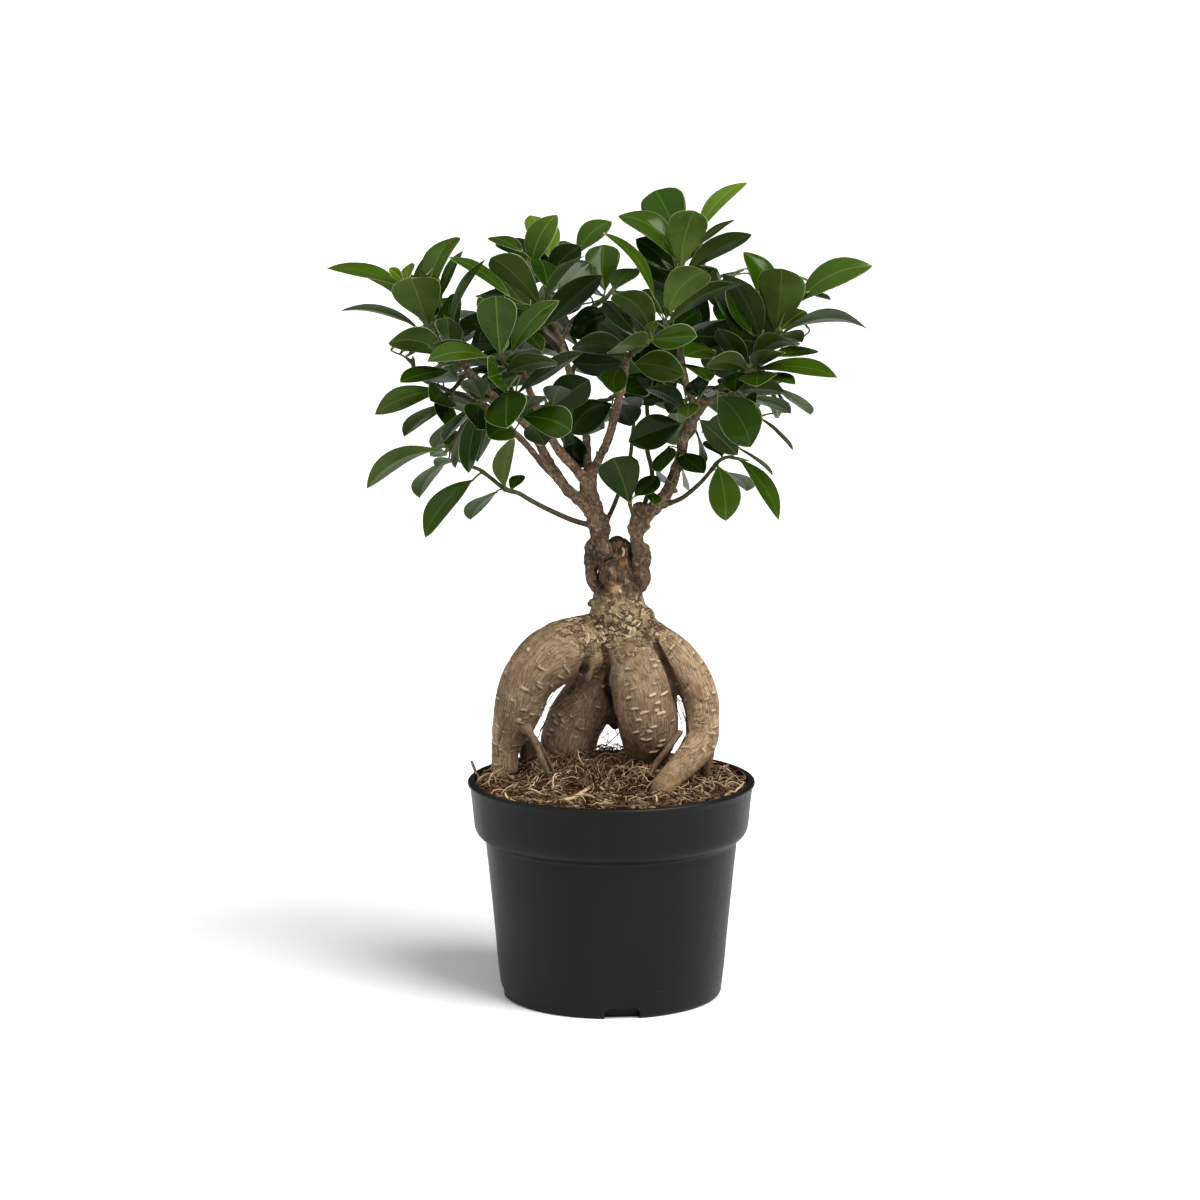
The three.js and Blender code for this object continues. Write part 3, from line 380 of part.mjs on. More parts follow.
    [33.7,93.8,300.7,29.9,98.2,303.5,1.1,120.0,323.3,0.499,-0.12,0.858,21.9,1.05,1.73,-0.37,0],
    [31.7,98.6,301.1,31.7,105.9,304.6,38.1,133.5,321.6,0.306,0.445,-0.841,17.5,-1.54,0.53,-0.28,0],
    [29.9,104.3,301.7,24.6,109.6,301.0,-5.6,127.3,287.1,-0.558,-0.811,0.178,20.0,-0.4,0.65,1.72,1],
  ] },
  right_shoot_15: { stem: [[57.2,54.7,317.8,1.5],[63.7,60.4,318.1,1.4],[71.0,65.1,316.7,1.3],[78.6,69.0,315.0,1.2],[85.8,72.5,314.3,1.1],[92.1,76.0,316.0,1.0]], leaves: [
    [62.2,59.3,318.2,62.0,62.9,324.7,42.4,76.0,354.9,-0.304,-0.93,0.204,20.3,1.54,-0.26,1.11,0],
    [67.1,62.6,317.5,72.3,57.4,320.5,79.1,18.2,325.7,0.458,-0.038,-0.888,21.1,1.75,0.42,0.88,0],
    [71.0,64.8,316.4,74.5,71.0,320.4,81.1,103.5,337.1,-0.203,-0.415,0.887,19.7,1.79,-0.46,0.19,0],
    [75.2,67.2,315.7,79.1,70.2,322.3,89.1,79.9,354.7,0.415,-0.899,0.142,18.7,1.53,0.6,-0.65,1],
    [87.6,73.1,314.6,84.2,79.1,317.2,51.9,95.7,320.3,-0.4,-0.845,0.354,19.3,0.43,0.51,1.7,0],
  ] },
  right_shoot_16: { stem: [[34.4,8.5,352.8,1.5],[33.7,18.2,361.2,1.4],[32.6,29.6,366.8,1.3],[31.6,41.6,371.1,1.2],[31.3,52.8,375.7,1.1],[32.1,62.0,382.0,1.0]], leaves: [
    [32.5,32.8,367.9,28.6,39.5,367.2,5.5,63.0,347.1,-0.799,-0.417,0.434,20.2,0.09,1.3,1.42,0],
    [31.9,35.3,368.9,32.4,40.2,374.0,33.4,64.2,403.6,0.995,-0.093,0.042,20.2,0.19,1.47,-1.2,1],
    [31.6,41.3,370.8,34.3,50.5,371.7,49.2,87.9,357.8,-0.825,0.125,-0.552,23.5,-0.95,0.98,1.64,0],
    [31.8,44.6,372.0,33.1,52.6,374.5,43.1,91.3,373.8,-0.967,0.247,-0.065,21.2,-0.12,0.07,2.0,0],
    [31.2,50.5,374.7,35.4,56.4,378.6,65.1,84.0,391.9,-0.609,0.762,-0.219,22.6,-0.81,-0.08,1.97,0],
    [31.5,52.8,375.7,30.9,59.8,375.6,26.2,97.9,356.9,-0.923,0.07,0.378,22.6,0.79,0.95,1.74,0],
    [31.7,57.2,378.8,30.8,61.1,384.2,22.6,74.0,414.9,0.779,-0.476,0.409,18.9,1.0,1.36,-0.31,0],
    [31.9,62.3,381.7,34.5,69.1,386.2,48.4,99.4,398.4,-0.316,0.476,-0.82,18.8,-1.53,0.38,0.81,1],
  ] },
  right_shoot_17: { stem: [[34.5,10.1,363.4,1.5],[40.2,17.3,368.6,1.4],[46.6,25.6,370.6,1.3],[53.4,34.1,371.3,1.2],[60.1,41.8,372.5,1.1],[66.1,48.0,376.0,1.0]], leaves: [
    [45.2,23.7,370.3,46.4,28.6,376.2,41.6,54.0,409.0,-0.199,-0.789,0.581,22.1,2.03,-0.19,0.44,0],
    [46.5,25.3,370.6,52.1,23.1,368.0,65.4,-0.6,344.5,0.542,0.725,-0.425,19.0,1.35,-0.35,1.12,0],
    [50.0,29.5,370.7,49.4,34.4,366.2,33.5,43.0,331.3,-0.897,-0.283,0.339,22.3,-0.35,1.83,0.61,0],
    [53.8,34.2,371.1,51.2,37.7,376.9,23.0,46.3,399.7,-0.082,-0.961,0.264,19.7,1.21,0.28,1.39,0],
    [56.8,38.4,372.0,63.5,44.3,370.0,87.3,65.8,348.9,-0.67,0.742,-0.002,20.8,0.78,0.71,1.61,0],
    [60.3,41.8,372.5,61.6,47.8,371.9,60.1,86.2,353.0,-0.998,-0.008,0.062,22.7,0.11,0.95,1.92,0],
    [63.2,44.7,374.1,72.4,46.4,375.7,104.8,40.8,372.3,0.15,0.973,-0.173,17.5,0.21,0.25,1.62,1],
    [65.9,48.3,375.7,72.0,55.5,377.4,91.3,82.7,373.7,-0.784,0.584,0.208,16.5,0.39,-0.06,1.63,0],
  ] },
  right_shoot_18: { stem: [[74.4,-11.0,332.9,1.5],[81.5,-3.4,337.2,1.4],[88.1,5.8,338.0,1.3],[94.0,16.7,336.8,1.2],[92.8,27.0,336.3,1.1],[95.2,34.0,338.7,1.0]], leaves: [
    [88.3,6.0,338.0,86.2,6.1,346.2,64.4,-8.1,372.2,0.775,-0.511,0.372,19.5,0.4,1.42,1.11,0],
    [90.9,10.9,337.3,85.0,16.4,341.2,44.5,22.0,345.5,0.084,-0.153,0.985,20.2,0.31,2.01,0.29,0],
    [93.9,16.3,336.5,91.3,20.4,341.4,58.1,30.3,361.7,0.119,-0.801,0.586,21.3,1.1,1.1,1.27,0],
    [93.7,29.0,337.0,97.9,34.7,340.0,65.3,39.8,338.3,-0.163,-0.963,0.213,17.5,-0.03,0.36,1.61,0],
    [95.3,33.7,338.7,103.3,37.4,348.1,76.7,37.4,374.2,0.121,-0.985,0.122,19.8,1.28,0.32,1.31,1],
  ] },
  right_shoot_19: { stem: [[61.7,-14.4,322.9,1.5],[72.5,-4.4,321.1,1.4],[79.7,8.0,314.3,1.3],[85.2,21.2,306.0,1.2],[87.0,32.0,302.0,1.1],[89.0,41.0,303.6,1.0]], leaves: [
    [85.1,20.9,305.9,81.5,24.5,312.0,47.5,21.1,337.1,0.506,-0.62,0.6,22.5,0.67,1.65,1.14,1],
    [86.5,24.1,303.9,80.0,30.4,302.7,46.9,35.0,293.4,-0.269,-0.776,0.571,18.4,-0.23,1.07,1.35,0],
    [87.0,29.9,302.6,84.2,36.1,307.6,50.6,38.2,328.0,0.071,-0.973,0.218,20.9,1.02,0.44,1.63,0],
    [87.0,32.3,302.3,89.7,40.2,304.3,68.8,64.7,327.5,-0.209,-0.762,0.613,21.1,1.64,0.4,1.05,0],
    [88.2,36.4,302.8,93.3,44.4,303.7,73.5,64.5,327.4,-0.279,-0.834,0.475,19.5,1.46,0.14,1.11,0],
    [89.1,40.7,303.6,94.2,49.3,302.1,63.6,60.7,308.4,-0.237,-0.872,0.428,17.7,0.52,0.58,1.47,0],
  ] },
  left_shoot_23: { stem: [[-69.3,-3.7,325.5,1.5],[-78.4,2.1,334.6,1.4],[-87.0,8.8,343.0,1.3],[-95.1,15.6,351.1,1.2],[-102.7,21.6,359.3,1.1],[-109.9,26.0,368.0,1.0]], leaves: [
    [-88.9,10.7,345.0,-84.6,12.5,349.3,-46.7,16.4,353.8,-0.008,0.785,-0.619,20.3,-0.3,1.17,1.49,0],
    [-93.3,13.6,349.0,-93.8,21.6,352.4,-84.1,61.4,352.2,-0.714,0.17,-0.68,21.7,-1.35,0.33,1.5,0],
    [-97.1,16.8,352.8,-98.9,12.3,360.6,-94.5,-25.9,381.8,0.66,0.42,0.622,21.5,-1.64,0.57,1.35,0],
    [-98.6,18.8,355.0,-99.6,23.0,361.7,-90.5,48.6,391.4,-0.644,0.666,-0.376,21.4,-1.47,-0.79,1.13,0],
    [-102.8,21.9,359.6,-107.3,23.8,363.1,-140.2,38.4,379.7,-0.353,-0.929,0.114,21.0,0.85,-0.11,1.78,1],
    [-109.8,25.7,368.0,-111.9,31.9,370.7,-114.1,66.0,372.2,-0.964,-0.05,-0.262,18.1,-0.44,-0.1,1.65,0],
  ] },
};

// ---------------------------------------------------------------- helpers
const V = (a) => new THREE.Vector3(a[0], a[1], a[2]);

// A closed geometry as a solid whose shared corners are merged.
function solid(geometry) {
  const g = new THREE.BufferGeometry();
  const src = geometry.index ? geometry.toNonIndexed() : geometry;
  g.setAttribute('position', src.getAttribute('position').clone());
  const m = mergeVertices(g, 1e-3);
  const idx = [];
  const a = m.index.array;
  for (let i = 0; i < a.length; i += 3)
    if (a[i] !== a[i + 1] && a[i + 1] !== a[i + 2] && a[i] !== a[i + 2]) idx.push(a[i], a[i + 1], a[i + 2]);
  return new wasm.Manifold(new wasm.Mesh({ numProp: 3, vertProperties: new Float32Array(m.attributes.position.array), triVerts: new Uint32Array(idx) }));
}

// The largest body of a cut, which drops slivers left beyond a neighbour.
function largest(s) {
  const parts = s.decompose();
  return parts.reduce((a, b) => (b.volume() > a.volume() ? b : a));
}

function toMesh(name, s, material) {
  const m = s.getMesh(), n = m.numProp;
  const pos = new Float32Array(m.numVert * 3);
  for (let i = 0; i < m.numVert; i++) pos.set(m.vertProperties.subarray(i * n, i * n + 3), i * 3);
  const g = new THREE.BufferGeometry();
  g.setAttribute('position', new THREE.BufferAttribute(pos, 3));
  g.setIndex(new THREE.BufferAttribute(new Uint32Array(m.triVerts), 1));
  g.computeVertexNormals();
  const mesh = new THREE.Mesh(g, material);
  mesh.name = name;
  return mesh;
}

// A round tapered limb along a smooth curve: a cylinder whose rings are laid on the curve.
function limb(points, sides, step, grow = 0) {
  const curve = new THREE.CatmullRomCurve3(points.map(V), false, 'catmullrom', 0.5);
  const rings = Math.max(2, Math.round(curve.getLength() / step));
  const g = new THREE.CylinderGeometry(1, 1, 1, sides, rings);
  const n = points.length - 1;
  const frames = [];
  let normal = new THREE.Vector3(0.31, 0.87, 0.38);
  for (let j = 0; j <= rings; j++) {
    const t = j / rings;
    const p = curve.getPoint(t), d = curve.getTangent(t);
    normal = normal.clone().addScaledVector(d, -normal.dot(d)).normalize();
    const b = new THREE.Vector3().crossVectors(d, normal);
    const k = Math.min(n - 1, Math.floor(t * n)), f = t * n - k;
    const r = points[k][3] * (1 - f) + points[k + 1][3] * f + grow;
    frames.push({ p, normal, b, r });
  }
  const pos = g.getAttribute('position');
  for (let i = 0; i < pos.count; i++) {
    const x = pos.getX(i), z = pos.getZ(i);
    const f = frames[Math.round((0.5 + pos.getY(i)) * rings)];
    const q = f.p.clone().addScaledVector(f.b, x * f.r).addScaledVector(f.normal, z * f.r);
    pos.setXYZ(i, q.x, q.y, q.z);
  }
  const s = solid(g);
  if (s.volume() > 0) return s;
  const idx = g.index.array;
  for (let i = 0; i < idx.length; i += 3) { const t = idx[i]; idx[i] = idx[i + 1]; idx[i + 1] = t; }
  return solid(g);
}

// One leaf with its stalk: a three-sided cylinder laid on the midrib, its rings spread to the blade's outline,
// its edges a little above the midrib and its far end drawn to the tip.
const OUTLINE = [[0.90, 0.90], [0.66, 1.0], [0.92, 0.88]];   // half-width shares at STATIONS
const STATIONS = [0.36, 0.72];
function leaf(r) {
  const S = V(r), B = V(r.slice(3)), T = V(r.slice(6)), side = V(r.slice(9)), w = r[12] / 2, bend = V(r.slice(13)), kind = r[16];
  const axis = T.clone().sub(B), up = new THREE.Vector3().crossVectors(axis.clone().normalize(), side).normalize();
  const at = (t) => B.clone().addScaledVector(axis, t).addScaledVector(bend, 4 * t * (1 - t));
  const rings = [
    { c: S, half: 0.7, lift: 0.3, keel: 0.6 },
    { c: at(0.01), half: 1.0, lift: 0.25, keel: 0.6 },
    ...STATIONS.map((t, i) => ({ c: at(t), half: w * OUTLINE[kind][i], lift: 0.10 * w + 0.25, keel: 0.35 })),
    { c: T, half: 0, lift: 0, keel: 0 },
  ];
  const g = new THREE.CylinderGeometry(1, 1, 1, 3, rings.length - 1);
  const pos = g.getAttribute('position');
  for (let i = 0; i < pos.count; i++) {
    const f = rings[Math.round((0.5 + pos.getY(i)) * (rings.length - 1))];
    const x = pos.getX(i), z = pos.getZ(i), on = Math.hypot(x, z) > 0.5;
    const q = f.c.clone();
    if (on) {
      if (z > 0.9) q.addScaledVector(up, -f.keel);
      else q.addScaledVector(side, Math.sign(x) * f.half).addScaledVector(up, f.lift);
    } else q.addScaledVector(up, f.lift * 0.33 * 2 - f.keel * 0.33);
    pos.setXYZ(i, q.x, q.y, q.z);
  }
  let s = solid(g);
  if (s.volume() < 0) {
    const idx = g.index.array;
    for (let i = 0; i < idx.length; i += 3) { const t = idx[i]; idx[i] = idx[i + 1]; idx[i + 1] = t; }
    s = solid(g);
  }
  return s;
}

const lathe = (profile, sides) => {
  const g = new THREE.LatheGeometry(profile.map(([r, z]) => new THREE.Vector2(r, z)), sides);
  g.rotateX(Math.PI / 2);
  let s = solid(g);
  if (s.volume() < 0) {
    const idx = g.index.array;
    for (let i = 0; i < idx.length; i += 3) { const t = idx[i]; idx[i] = idx[i + 1]; idx[i + 1] = t; }
    s = solid(g);
  }
  return s;
};

// ---------------------------------------------------------------- pot
function makePot() {
  const T = POT_WALL;
  let pot = lathe([
    [0, FLOOR_Z], [FOOT_INNER_R - 1.5, FLOOR_Z], [FOOT_INNER_R, 0], [FOOT_R - 0.8, 0], [FOOT_R, 1.4],
    [BODY_MID_R, 49], [BODY_TOP_R, BODY_TOP_Z], [69.8, 86.2], [COLLAR_FOOT_R, COLLAR_FOOT_Z], [COLLAR_TOP_R, 111.2],
    [POT_RIM_R - 0.3, 112.0], [POT_RIM_R, 113.1], [POT_RIM_R - 0.9, POT_HEIGHT], [COLLAR_TOP_R - 1.7, POT_HEIGHT - 0.3],
    [COLLAR_FOOT_R - T, COLLAR_FOOT_Z + 1], [BODY_TOP_R - T, BODY_TOP_Z + 2.4],
    [BODY_MID_R - T, 49], [BODY_FOOT_R - T - 1.0, FLOOR_Z + FLOOR_T], [0, FLOOR_Z + FLOOR_T],
  ], POT_SIDES);
  for (let i = 0; i < NOTCHES; i++) {
    const a = THREE.MathUtils.degToRad(-90 + NOTCH_TURN + (360 / NOTCHES) * i);
    const shape = new THREE.Shape([[-NOTCH_W / 2, -2], [NOTCH_W / 2, -2], [NOTCH_W / 2, NOTCH_H * 0.55], [NOTCH_W / 2 - 2.6, NOTCH_H], [-NOTCH_W / 2 + 2.6, NOTCH_H], [-NOTCH_W / 2, NOTCH_H * 0.55]].map(([x, y]) => new THREE.Vector2(x, y)));
    const g = new THREE.ExtrudeGeometry(shape, { depth: 8.4, bevelEnabled: false });
    g.rotateX(Math.PI / 2);            // shape's up becomes +Z, depth runs along -Y
    g.rotateZ(Math.PI / 2);            // depth runs along +X
    g.translate(52.8, 0, 0);
    g.rotateZ(a);
    pot = pot.subtract(solid(g));
  }
  for (let i = 0; i < DRAIN_HOLES; i++) {
    const a = (2 * Math.PI * (i + 0.5)) / DRAIN_HOLES;
    const g = new THREE.CylinderGeometry(DRAIN_R, DRAIN_R, 12, 8);
    g.rotateX(Math.PI / 2);
    g.translate(DRAIN_PCD_R * Math.cos(a), DRAIN_PCD_R * Math.sin(a), FLOOR_Z + 1);
    pot = pot.subtract(solid(g));
  }
  return largest(pot);
}

// ---------------------------------------------------------------- soil
// Soil heaps up under the roots, a little higher behind them.
const heap = (x, y) => 8.6 * Math.exp(-((x / 45) ** 2) - (((y - 15) / 34) ** 2)) + 3.0 * Math.exp(-(((x + 46) / 18) ** 2) - (((y - 8) / 22) ** 2));
const crumb = (x, y) => 0.5 * Math.sin(x * 0.31 + 1.3) * Math.cos(y * 0.27) + 0.4 * Math.sin(x * 0.12 - y * 0.43);
function makeSoil(holes) {
  const I = POT_WALL + GAP;
  const profile = [[0, FLOOR_Z + FLOOR_T + GAP], [BODY_FOOT_R - I - 1.0, FLOOR_Z + FLOOR_T + GAP], [BODY_MID_R - I, 49], [BODY_TOP_R - I, BODY_TOP_Z + 2.5],
    [COLLAR_FOOT_R - I - 0.15, COLLAR_FOOT_Z + 1.4], [COLLAR_TOP_R - I - 0.6, SOIL_Z], [62, SOIL_Z + 0.2], [50, SOIL_Z + 0.4], [36, SOIL_Z + 0.6], [22, SOIL_Z + 0.8], [0, SOIL_Z + 1]];
  const g = new THREE.LatheGeometry(profile.map(([r, z]) => new THREE.Vector2(r, z)), SOIL_SIDES);
  g.rotateX(Math.PI / 2);
  const pos = g.getAttribute('position');
  for (let i = 0; i < pos.count; i++) {
    const x = pos.getX(i), y = pos.getY(i), z = pos.getZ(i), r = Math.hypot(x, y);
    if (z > SOIL_Z - 0.05) pos.setZ(i, z + (r > 69 ? 0 : heap(x, y) * Math.min(1, (70 - r) / 8) + crumb(x, y) * Math.min(1, (70 - r) / 10)));
  }
  let s = solid(g);
  if (s.volume() < 0) {
    const idx = g.index.array;
    for (let i = 0; i < idx.length; i += 3) { const t = idx[i]; idx[i] = idx[i + 1]; idx[i + 1] = t; }
    s = solid(g);
  }
  for (const h of holes) s = s.subtract(h);
  return largest(s);
}

// ---------------------------------------------------------------- assembly
const plant = new THREE.Group();
plant.position.set(PLACE[0], PLACE[1], 0);
const part = new THREE.Group();
part.add(plant);
const add = (name, s, material) => plant.add(toMesh(name, s, material));

add('nursery_pot', makePot(), POT_MAT);

const woodIn = Object.entries(WOOD).map(([name, pts]) => ({ name, pts, body: limb(pts, BRANCH_SIDES, BRANCH_STEP), fat: limb(pts, BRANCH_SIDES, BRANCH_STEP, GAP + 0.1) }));

const rootLimb = (pts, grow = 0) => (pts[0][3] > 6 ? limb(pts, ROOT_SIDES, ROOT_STEP, grow) : limb(pts, ROOTLET_SIDES, ROOTLET_STEP, grow));
let rootstock = null;
for (const pts of Object.values(ROOTS)) {
  const s = rootLimb(pts);
  rootstock = rootstock ? rootstock.add(s) : s;
}
for (const w of woodIn) if (w.name.endsWith('_stem')) rootstock = rootstock.subtract(w.fat);
rootstock = largest(rootstock);

const holes = Object.values(ROOTS).filter((p) => p[p.length - 1][2] < 125).map((p) => {
  const q = p.map((a) => a.slice());
  q[q.length - 1][2] -= 0.6;
  return rootLimb(q, GAP + 0.25);
});
add('soil', makeSoil(holes), SOIL_MAT);
add('ginseng_rootstock', rootstock, ROOT_MAT);

const done = [];
for (const w of woodIn) {
  let s = w.body;
  for (const d of done) s = s.subtract(d.fat);
  s = largest(s);
  done.push(w);
  add(w.name, s, BARK_MAT);
}

const stems = [];
for (const [name, sh] of Object.entries(SHOOTS)) {
  let s = limb(sh.stem, TWIG_SIDES, TWIG_STEP);
  const fat = limb(sh.stem, TWIG_SIDES, TWIG_STEP, GAP);
  for (const r of sh.leaves) s = s.add(leaf(r));
  for (const w of done) s = s.subtract(w.fat);
  for (const f of stems) s = s.subtract(f);
  stems.push(fat);
  add(name, largest(s), LEAF_MAT);
}

export default part;
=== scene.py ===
import json
import math

import bpy
import numpy as np
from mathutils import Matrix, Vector

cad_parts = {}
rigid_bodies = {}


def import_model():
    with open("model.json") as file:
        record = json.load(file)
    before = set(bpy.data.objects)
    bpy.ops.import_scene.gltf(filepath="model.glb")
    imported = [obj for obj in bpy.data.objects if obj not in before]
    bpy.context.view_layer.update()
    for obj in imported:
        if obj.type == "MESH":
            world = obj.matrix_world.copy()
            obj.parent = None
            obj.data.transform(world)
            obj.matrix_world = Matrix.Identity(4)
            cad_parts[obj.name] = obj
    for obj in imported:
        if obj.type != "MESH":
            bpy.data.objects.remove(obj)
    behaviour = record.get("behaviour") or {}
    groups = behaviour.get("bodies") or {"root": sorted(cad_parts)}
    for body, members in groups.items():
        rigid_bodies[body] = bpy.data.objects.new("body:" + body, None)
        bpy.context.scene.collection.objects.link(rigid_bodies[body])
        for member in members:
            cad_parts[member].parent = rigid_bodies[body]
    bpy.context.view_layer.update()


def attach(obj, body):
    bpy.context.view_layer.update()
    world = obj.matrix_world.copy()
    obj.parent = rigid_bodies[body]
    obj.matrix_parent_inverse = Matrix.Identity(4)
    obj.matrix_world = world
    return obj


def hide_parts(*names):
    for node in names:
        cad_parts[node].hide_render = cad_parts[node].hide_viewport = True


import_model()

PLACE = (5.9, -17.4)
# Swollen roots and neck, then the grafted scions' branches: [x, y, z, radius] along each one.
ROOTS = {
    "neck": [[3.7,1.0,235.4,6.55],[3.2,0.0,230.6,7.8],[3.2,0.0,222.7,10.15],[3.7,0.0,214.7,12.23],[3.6,0.0,208.4,13.33],[4.1,0.0,202.1,14.91],[6.1,1.0,192.4,17.22],[7.1,3.0,183.5,15.68],[7.7,5.0,175.7,13.61]],
    "root_left": [[-2.8,2.0,190.1,12.53],[-13.8,0.0,185.7,15.39],[-25.2,-2.0,182.8,16.17],[-35.7,-3.0,176.4,15.38],[-44.0,-3.0,166.6,13.83],[-48.5,-1.0,154.5,13.07],[-51.5,2.0,143.2,11.01],[-54.5,4.0,134.3,8.3],[-56.0,5.0,125.5,7.2],[-56.4,6.0,117.7,7.37],[-57.0,7.0,108.9,6.59],[-57.6,8.0,101.1,5.27]],
    "root_mid_left": [[-0.7,8.0,178.9,9.44],[-5.9,13.0,166.7,11.05],[-12.0,17.0,154.2,13.45],[-18.9,20.0,141.8,15.07],[-22.9,22.0,129.5,14.84],[-24.0,24.0,120.4,11.15],[-24.0,26.0,110.2,5.32]],
    "root_front": [[11.3,0.0,188.3,11.48],[13.6,-2.0,175.4,14.87],[16.3,-3.0,162.3,16.71],[18.1,-3.0,150.6,16.72],[19.5,-1.0,140.6,15.44],[19.0,2.0,130.9,12.07],[17.7,5.0,121.7,7.36],[16.2,8.0,111.9,4.22]],
    "root_right": [[15.0,2.0,192.2,9.4],[24.4,1.0,188.1,8.87],[33.7,-1.0,180.5,9.39],[41.6,-3.0,169.2,9.13],[46.3,-4.0,157.2,9.14],[47.6,-5.0,146.8,8.62],[47.3,-7.0,137.6,8.62],[43.1,-12.0,131.2,8.34],[35.6,-20.0,124.3,7.01],[29.3,-26.5,119.4,6.42],[25.4,-29.5,114.7,5.69],[23.8,-31.0,108.2,4.66]],
    "root_right_foot": [[49.6,-2.0,136.6,4.71],[50.7,0.0,128.7,3.57],[49.7,2.0,120.7,2.89],[48.8,4.0,112.8,2.1]],
    "root_back_left": [[4.6,14.0,181.5,10.51],[-0.6,26.0,164.3,9.53],[-7.0,37.0,147.0,9.06],[-13.4,46.0,131.1,8.04],[-17.7,50.0,118.2,6.18],[-19.9,52.0,105.7,3.77]],
    "root_back_right": [[13.0,14.0,181.5,9.99],[19.0,27.0,163.0,9.53],[22.9,38.0,144.7,8.53],[24.6,46.0,128.9,6.97],[25.2,50.0,116.0,5.11],[25.3,52.0,104.6,3.23]],
    "root_nub": [[-10.1,-8.0,183.4,4.16],[-11.6,-11.0,175.5,3.22],[-12.2,-12.0,170.4,1.87]],
    "rootlet_a": [[-46.6,-6.0,147.5,3.39],[-44.5,-8.0,143.1,3.13],[-41.9,-9.0,139.6,2.03],[-38.2,-11.0,132.5,1.56],[-36.1,-13.0,126.6,1.82],[-32.5,-14.0,119.3,1.3],[-30.4,-15.0,110.5,1.09]],
    "rootlet_a2": [[-40.4,-6.0,137.4,1.67],[-34.2,-6.0,127.2,1.36],[-30.0,-7.0,118.4,1.15],[-28.9,-7.0,112.0,0.94]],
    "rootlet_b": [[35.3,-10.0,140.9,1.78],[29.5,-14.0,133.7,1.85],[23.7,-16.0,126.2,1.85],[20.1,-18.0,119.7,1.31]],
    "rootlet_c": [[-46.9,9.0,146.1,3.68],[-45.5,13.0,135.6,3.95],[-44.0,17.0,125.1,4.49],[-43.5,19.0,112.2,4.24]],
    "root_web": [[0.9,12.0,175.5,9.46],[0.9,16.0,161.9,7.38],[0.9,19.0,150.6,5.55],[1.5,21.0,142.6,4.23],[2.0,22.0,138.7,2.65]],
}
WOOD = {
    "left_stem": [[-5.7,-3.0,229.5,3.12],[-5.9,-2.0,235.6,4.88],[-6.1,-1.0,242.3,4.83],[-6.5,0.0,249.0,4.93],[-8.8,0.0,255.2,5.29],[-11.1,0.0,264.2,4.2],[-11.6,0.0,272.5,4.0],[-11.1,0.0,277.7,3.8]],
    "left_branch": [[-11.1,0.0,257.3,3.1],[-16.3,-2.0,262.3,3.0],[-22.0,-3.0,267.2,2.9],[-27.6,-4.0,274.6,2.8],[-32.3,-5.0,282.1,2.6],[-36.4,-6.0,290.5,2.4],[-40.5,-7.0,297.9,2.2],[-48.6,-8.0,306.3,2.0],[-61.5,-6.0,318.0,1.8],[-75.0,-2.0,331.0,1.6],[-83.3,2.0,342.0,1.4]],
    "left_back_branch": [[-17.9,4.0,262.5,2.0],[-25.2,10.0,269.6,1.9],[-33.1,16.0,275.6,1.8],[-46.3,26.0,289.6,1.7],[-58.6,38.0,299.2,1.6],[-70.5,50.0,308.4,1.5]],
    "mid_left_branch": [[-12.1,-2.0,269.7,2.6],[-16.3,-6.0,276.5,2.5],[-24.9,-14.0,287.4,2.4],[-31.0,-20.0,297.0,2.2],[-36.5,-28.0,310.3,2.0],[-41.4,-36.0,322.5,1.8],[-45.3,-42.0,333.3,1.5]],
    "mid_back_branch": [[-11.6,4.0,275.1,2.3],[-12.7,10.0,284.3,2.2],[-13.2,18.0,293.2,2.1],[-16.4,28.0,306.7,1.9],[-21.7,36.0,323.2,1.8],[-26.9,40.0,341.2,1.6],[-31.1,40.0,352.8,1.4]],
    "mid_right_branch": [[-10.1,-2.0,276.5,2.4],[-7.5,-6.0,282.7,2.3],[-3.4,-10.0,291.0,2.2],[-0.3,-14.0,300.3,2.15],[2.3,-18.0,310.6,2.1],[4.8,-22.0,321.4,2.0],[6.8,-26.0,331.5,1.8],[8.3,-28.0,339.9,1.6]],
    "right_stem": [[14.6,-4.0,214.9,1.66],[15.1,-3.0,220.5,3.27],[14.3,-3.0,227.9,3.84],[13.3,-3.0,236.3,3.53],[13.2,-2.0,243.0,3.53],[14.0,-2.0,250.8,3.84],[14.3,-2.0,258.2,3.0]],
    "right_branch": [[16.4,-2.0,251.9,3.3],[24.1,-3.0,260.9,3.2],[29.8,-4.0,268.9,3.1],[33.3,-5.0,278.4,3.0],[35.9,-6.0,286.4,2.9],[36.9,-7.0,294.3,2.8],[40.4,-8.0,302.7,2.7],[44.5,-9.0,310.1,2.6],[46.0,-9.0,315.2,2.4]],
    "right_up_branch": [[43.5,-6.0,311.3,1.8],[40.4,-4.0,317.3,1.8],[37.9,0.0,325.6,1.7],[35.9,4.0,337.1,1.6],[34.4,8.0,349.6,1.5],[34.4,10.0,362.4,1.4],[35.4,11.0,372.7,1.3]],
    "right_out_branch": [[47.0,-10.0,313.3,1.9],[54.1,-12.0,316.6,1.8],[60.2,-14.0,321.5,1.8],[67.8,-16.0,328.4,1.6],[73.9,-14.0,335.4,1.4]],
    "right_back_branch": [[38.6,2.0,295.2,1.7],[42.5,14.0,300.0,1.6],[47.5,28.0,305.7,1.6],[53.7,44.0,312.3,1.5],[58.9,60.0,320.6,1.4]],
}
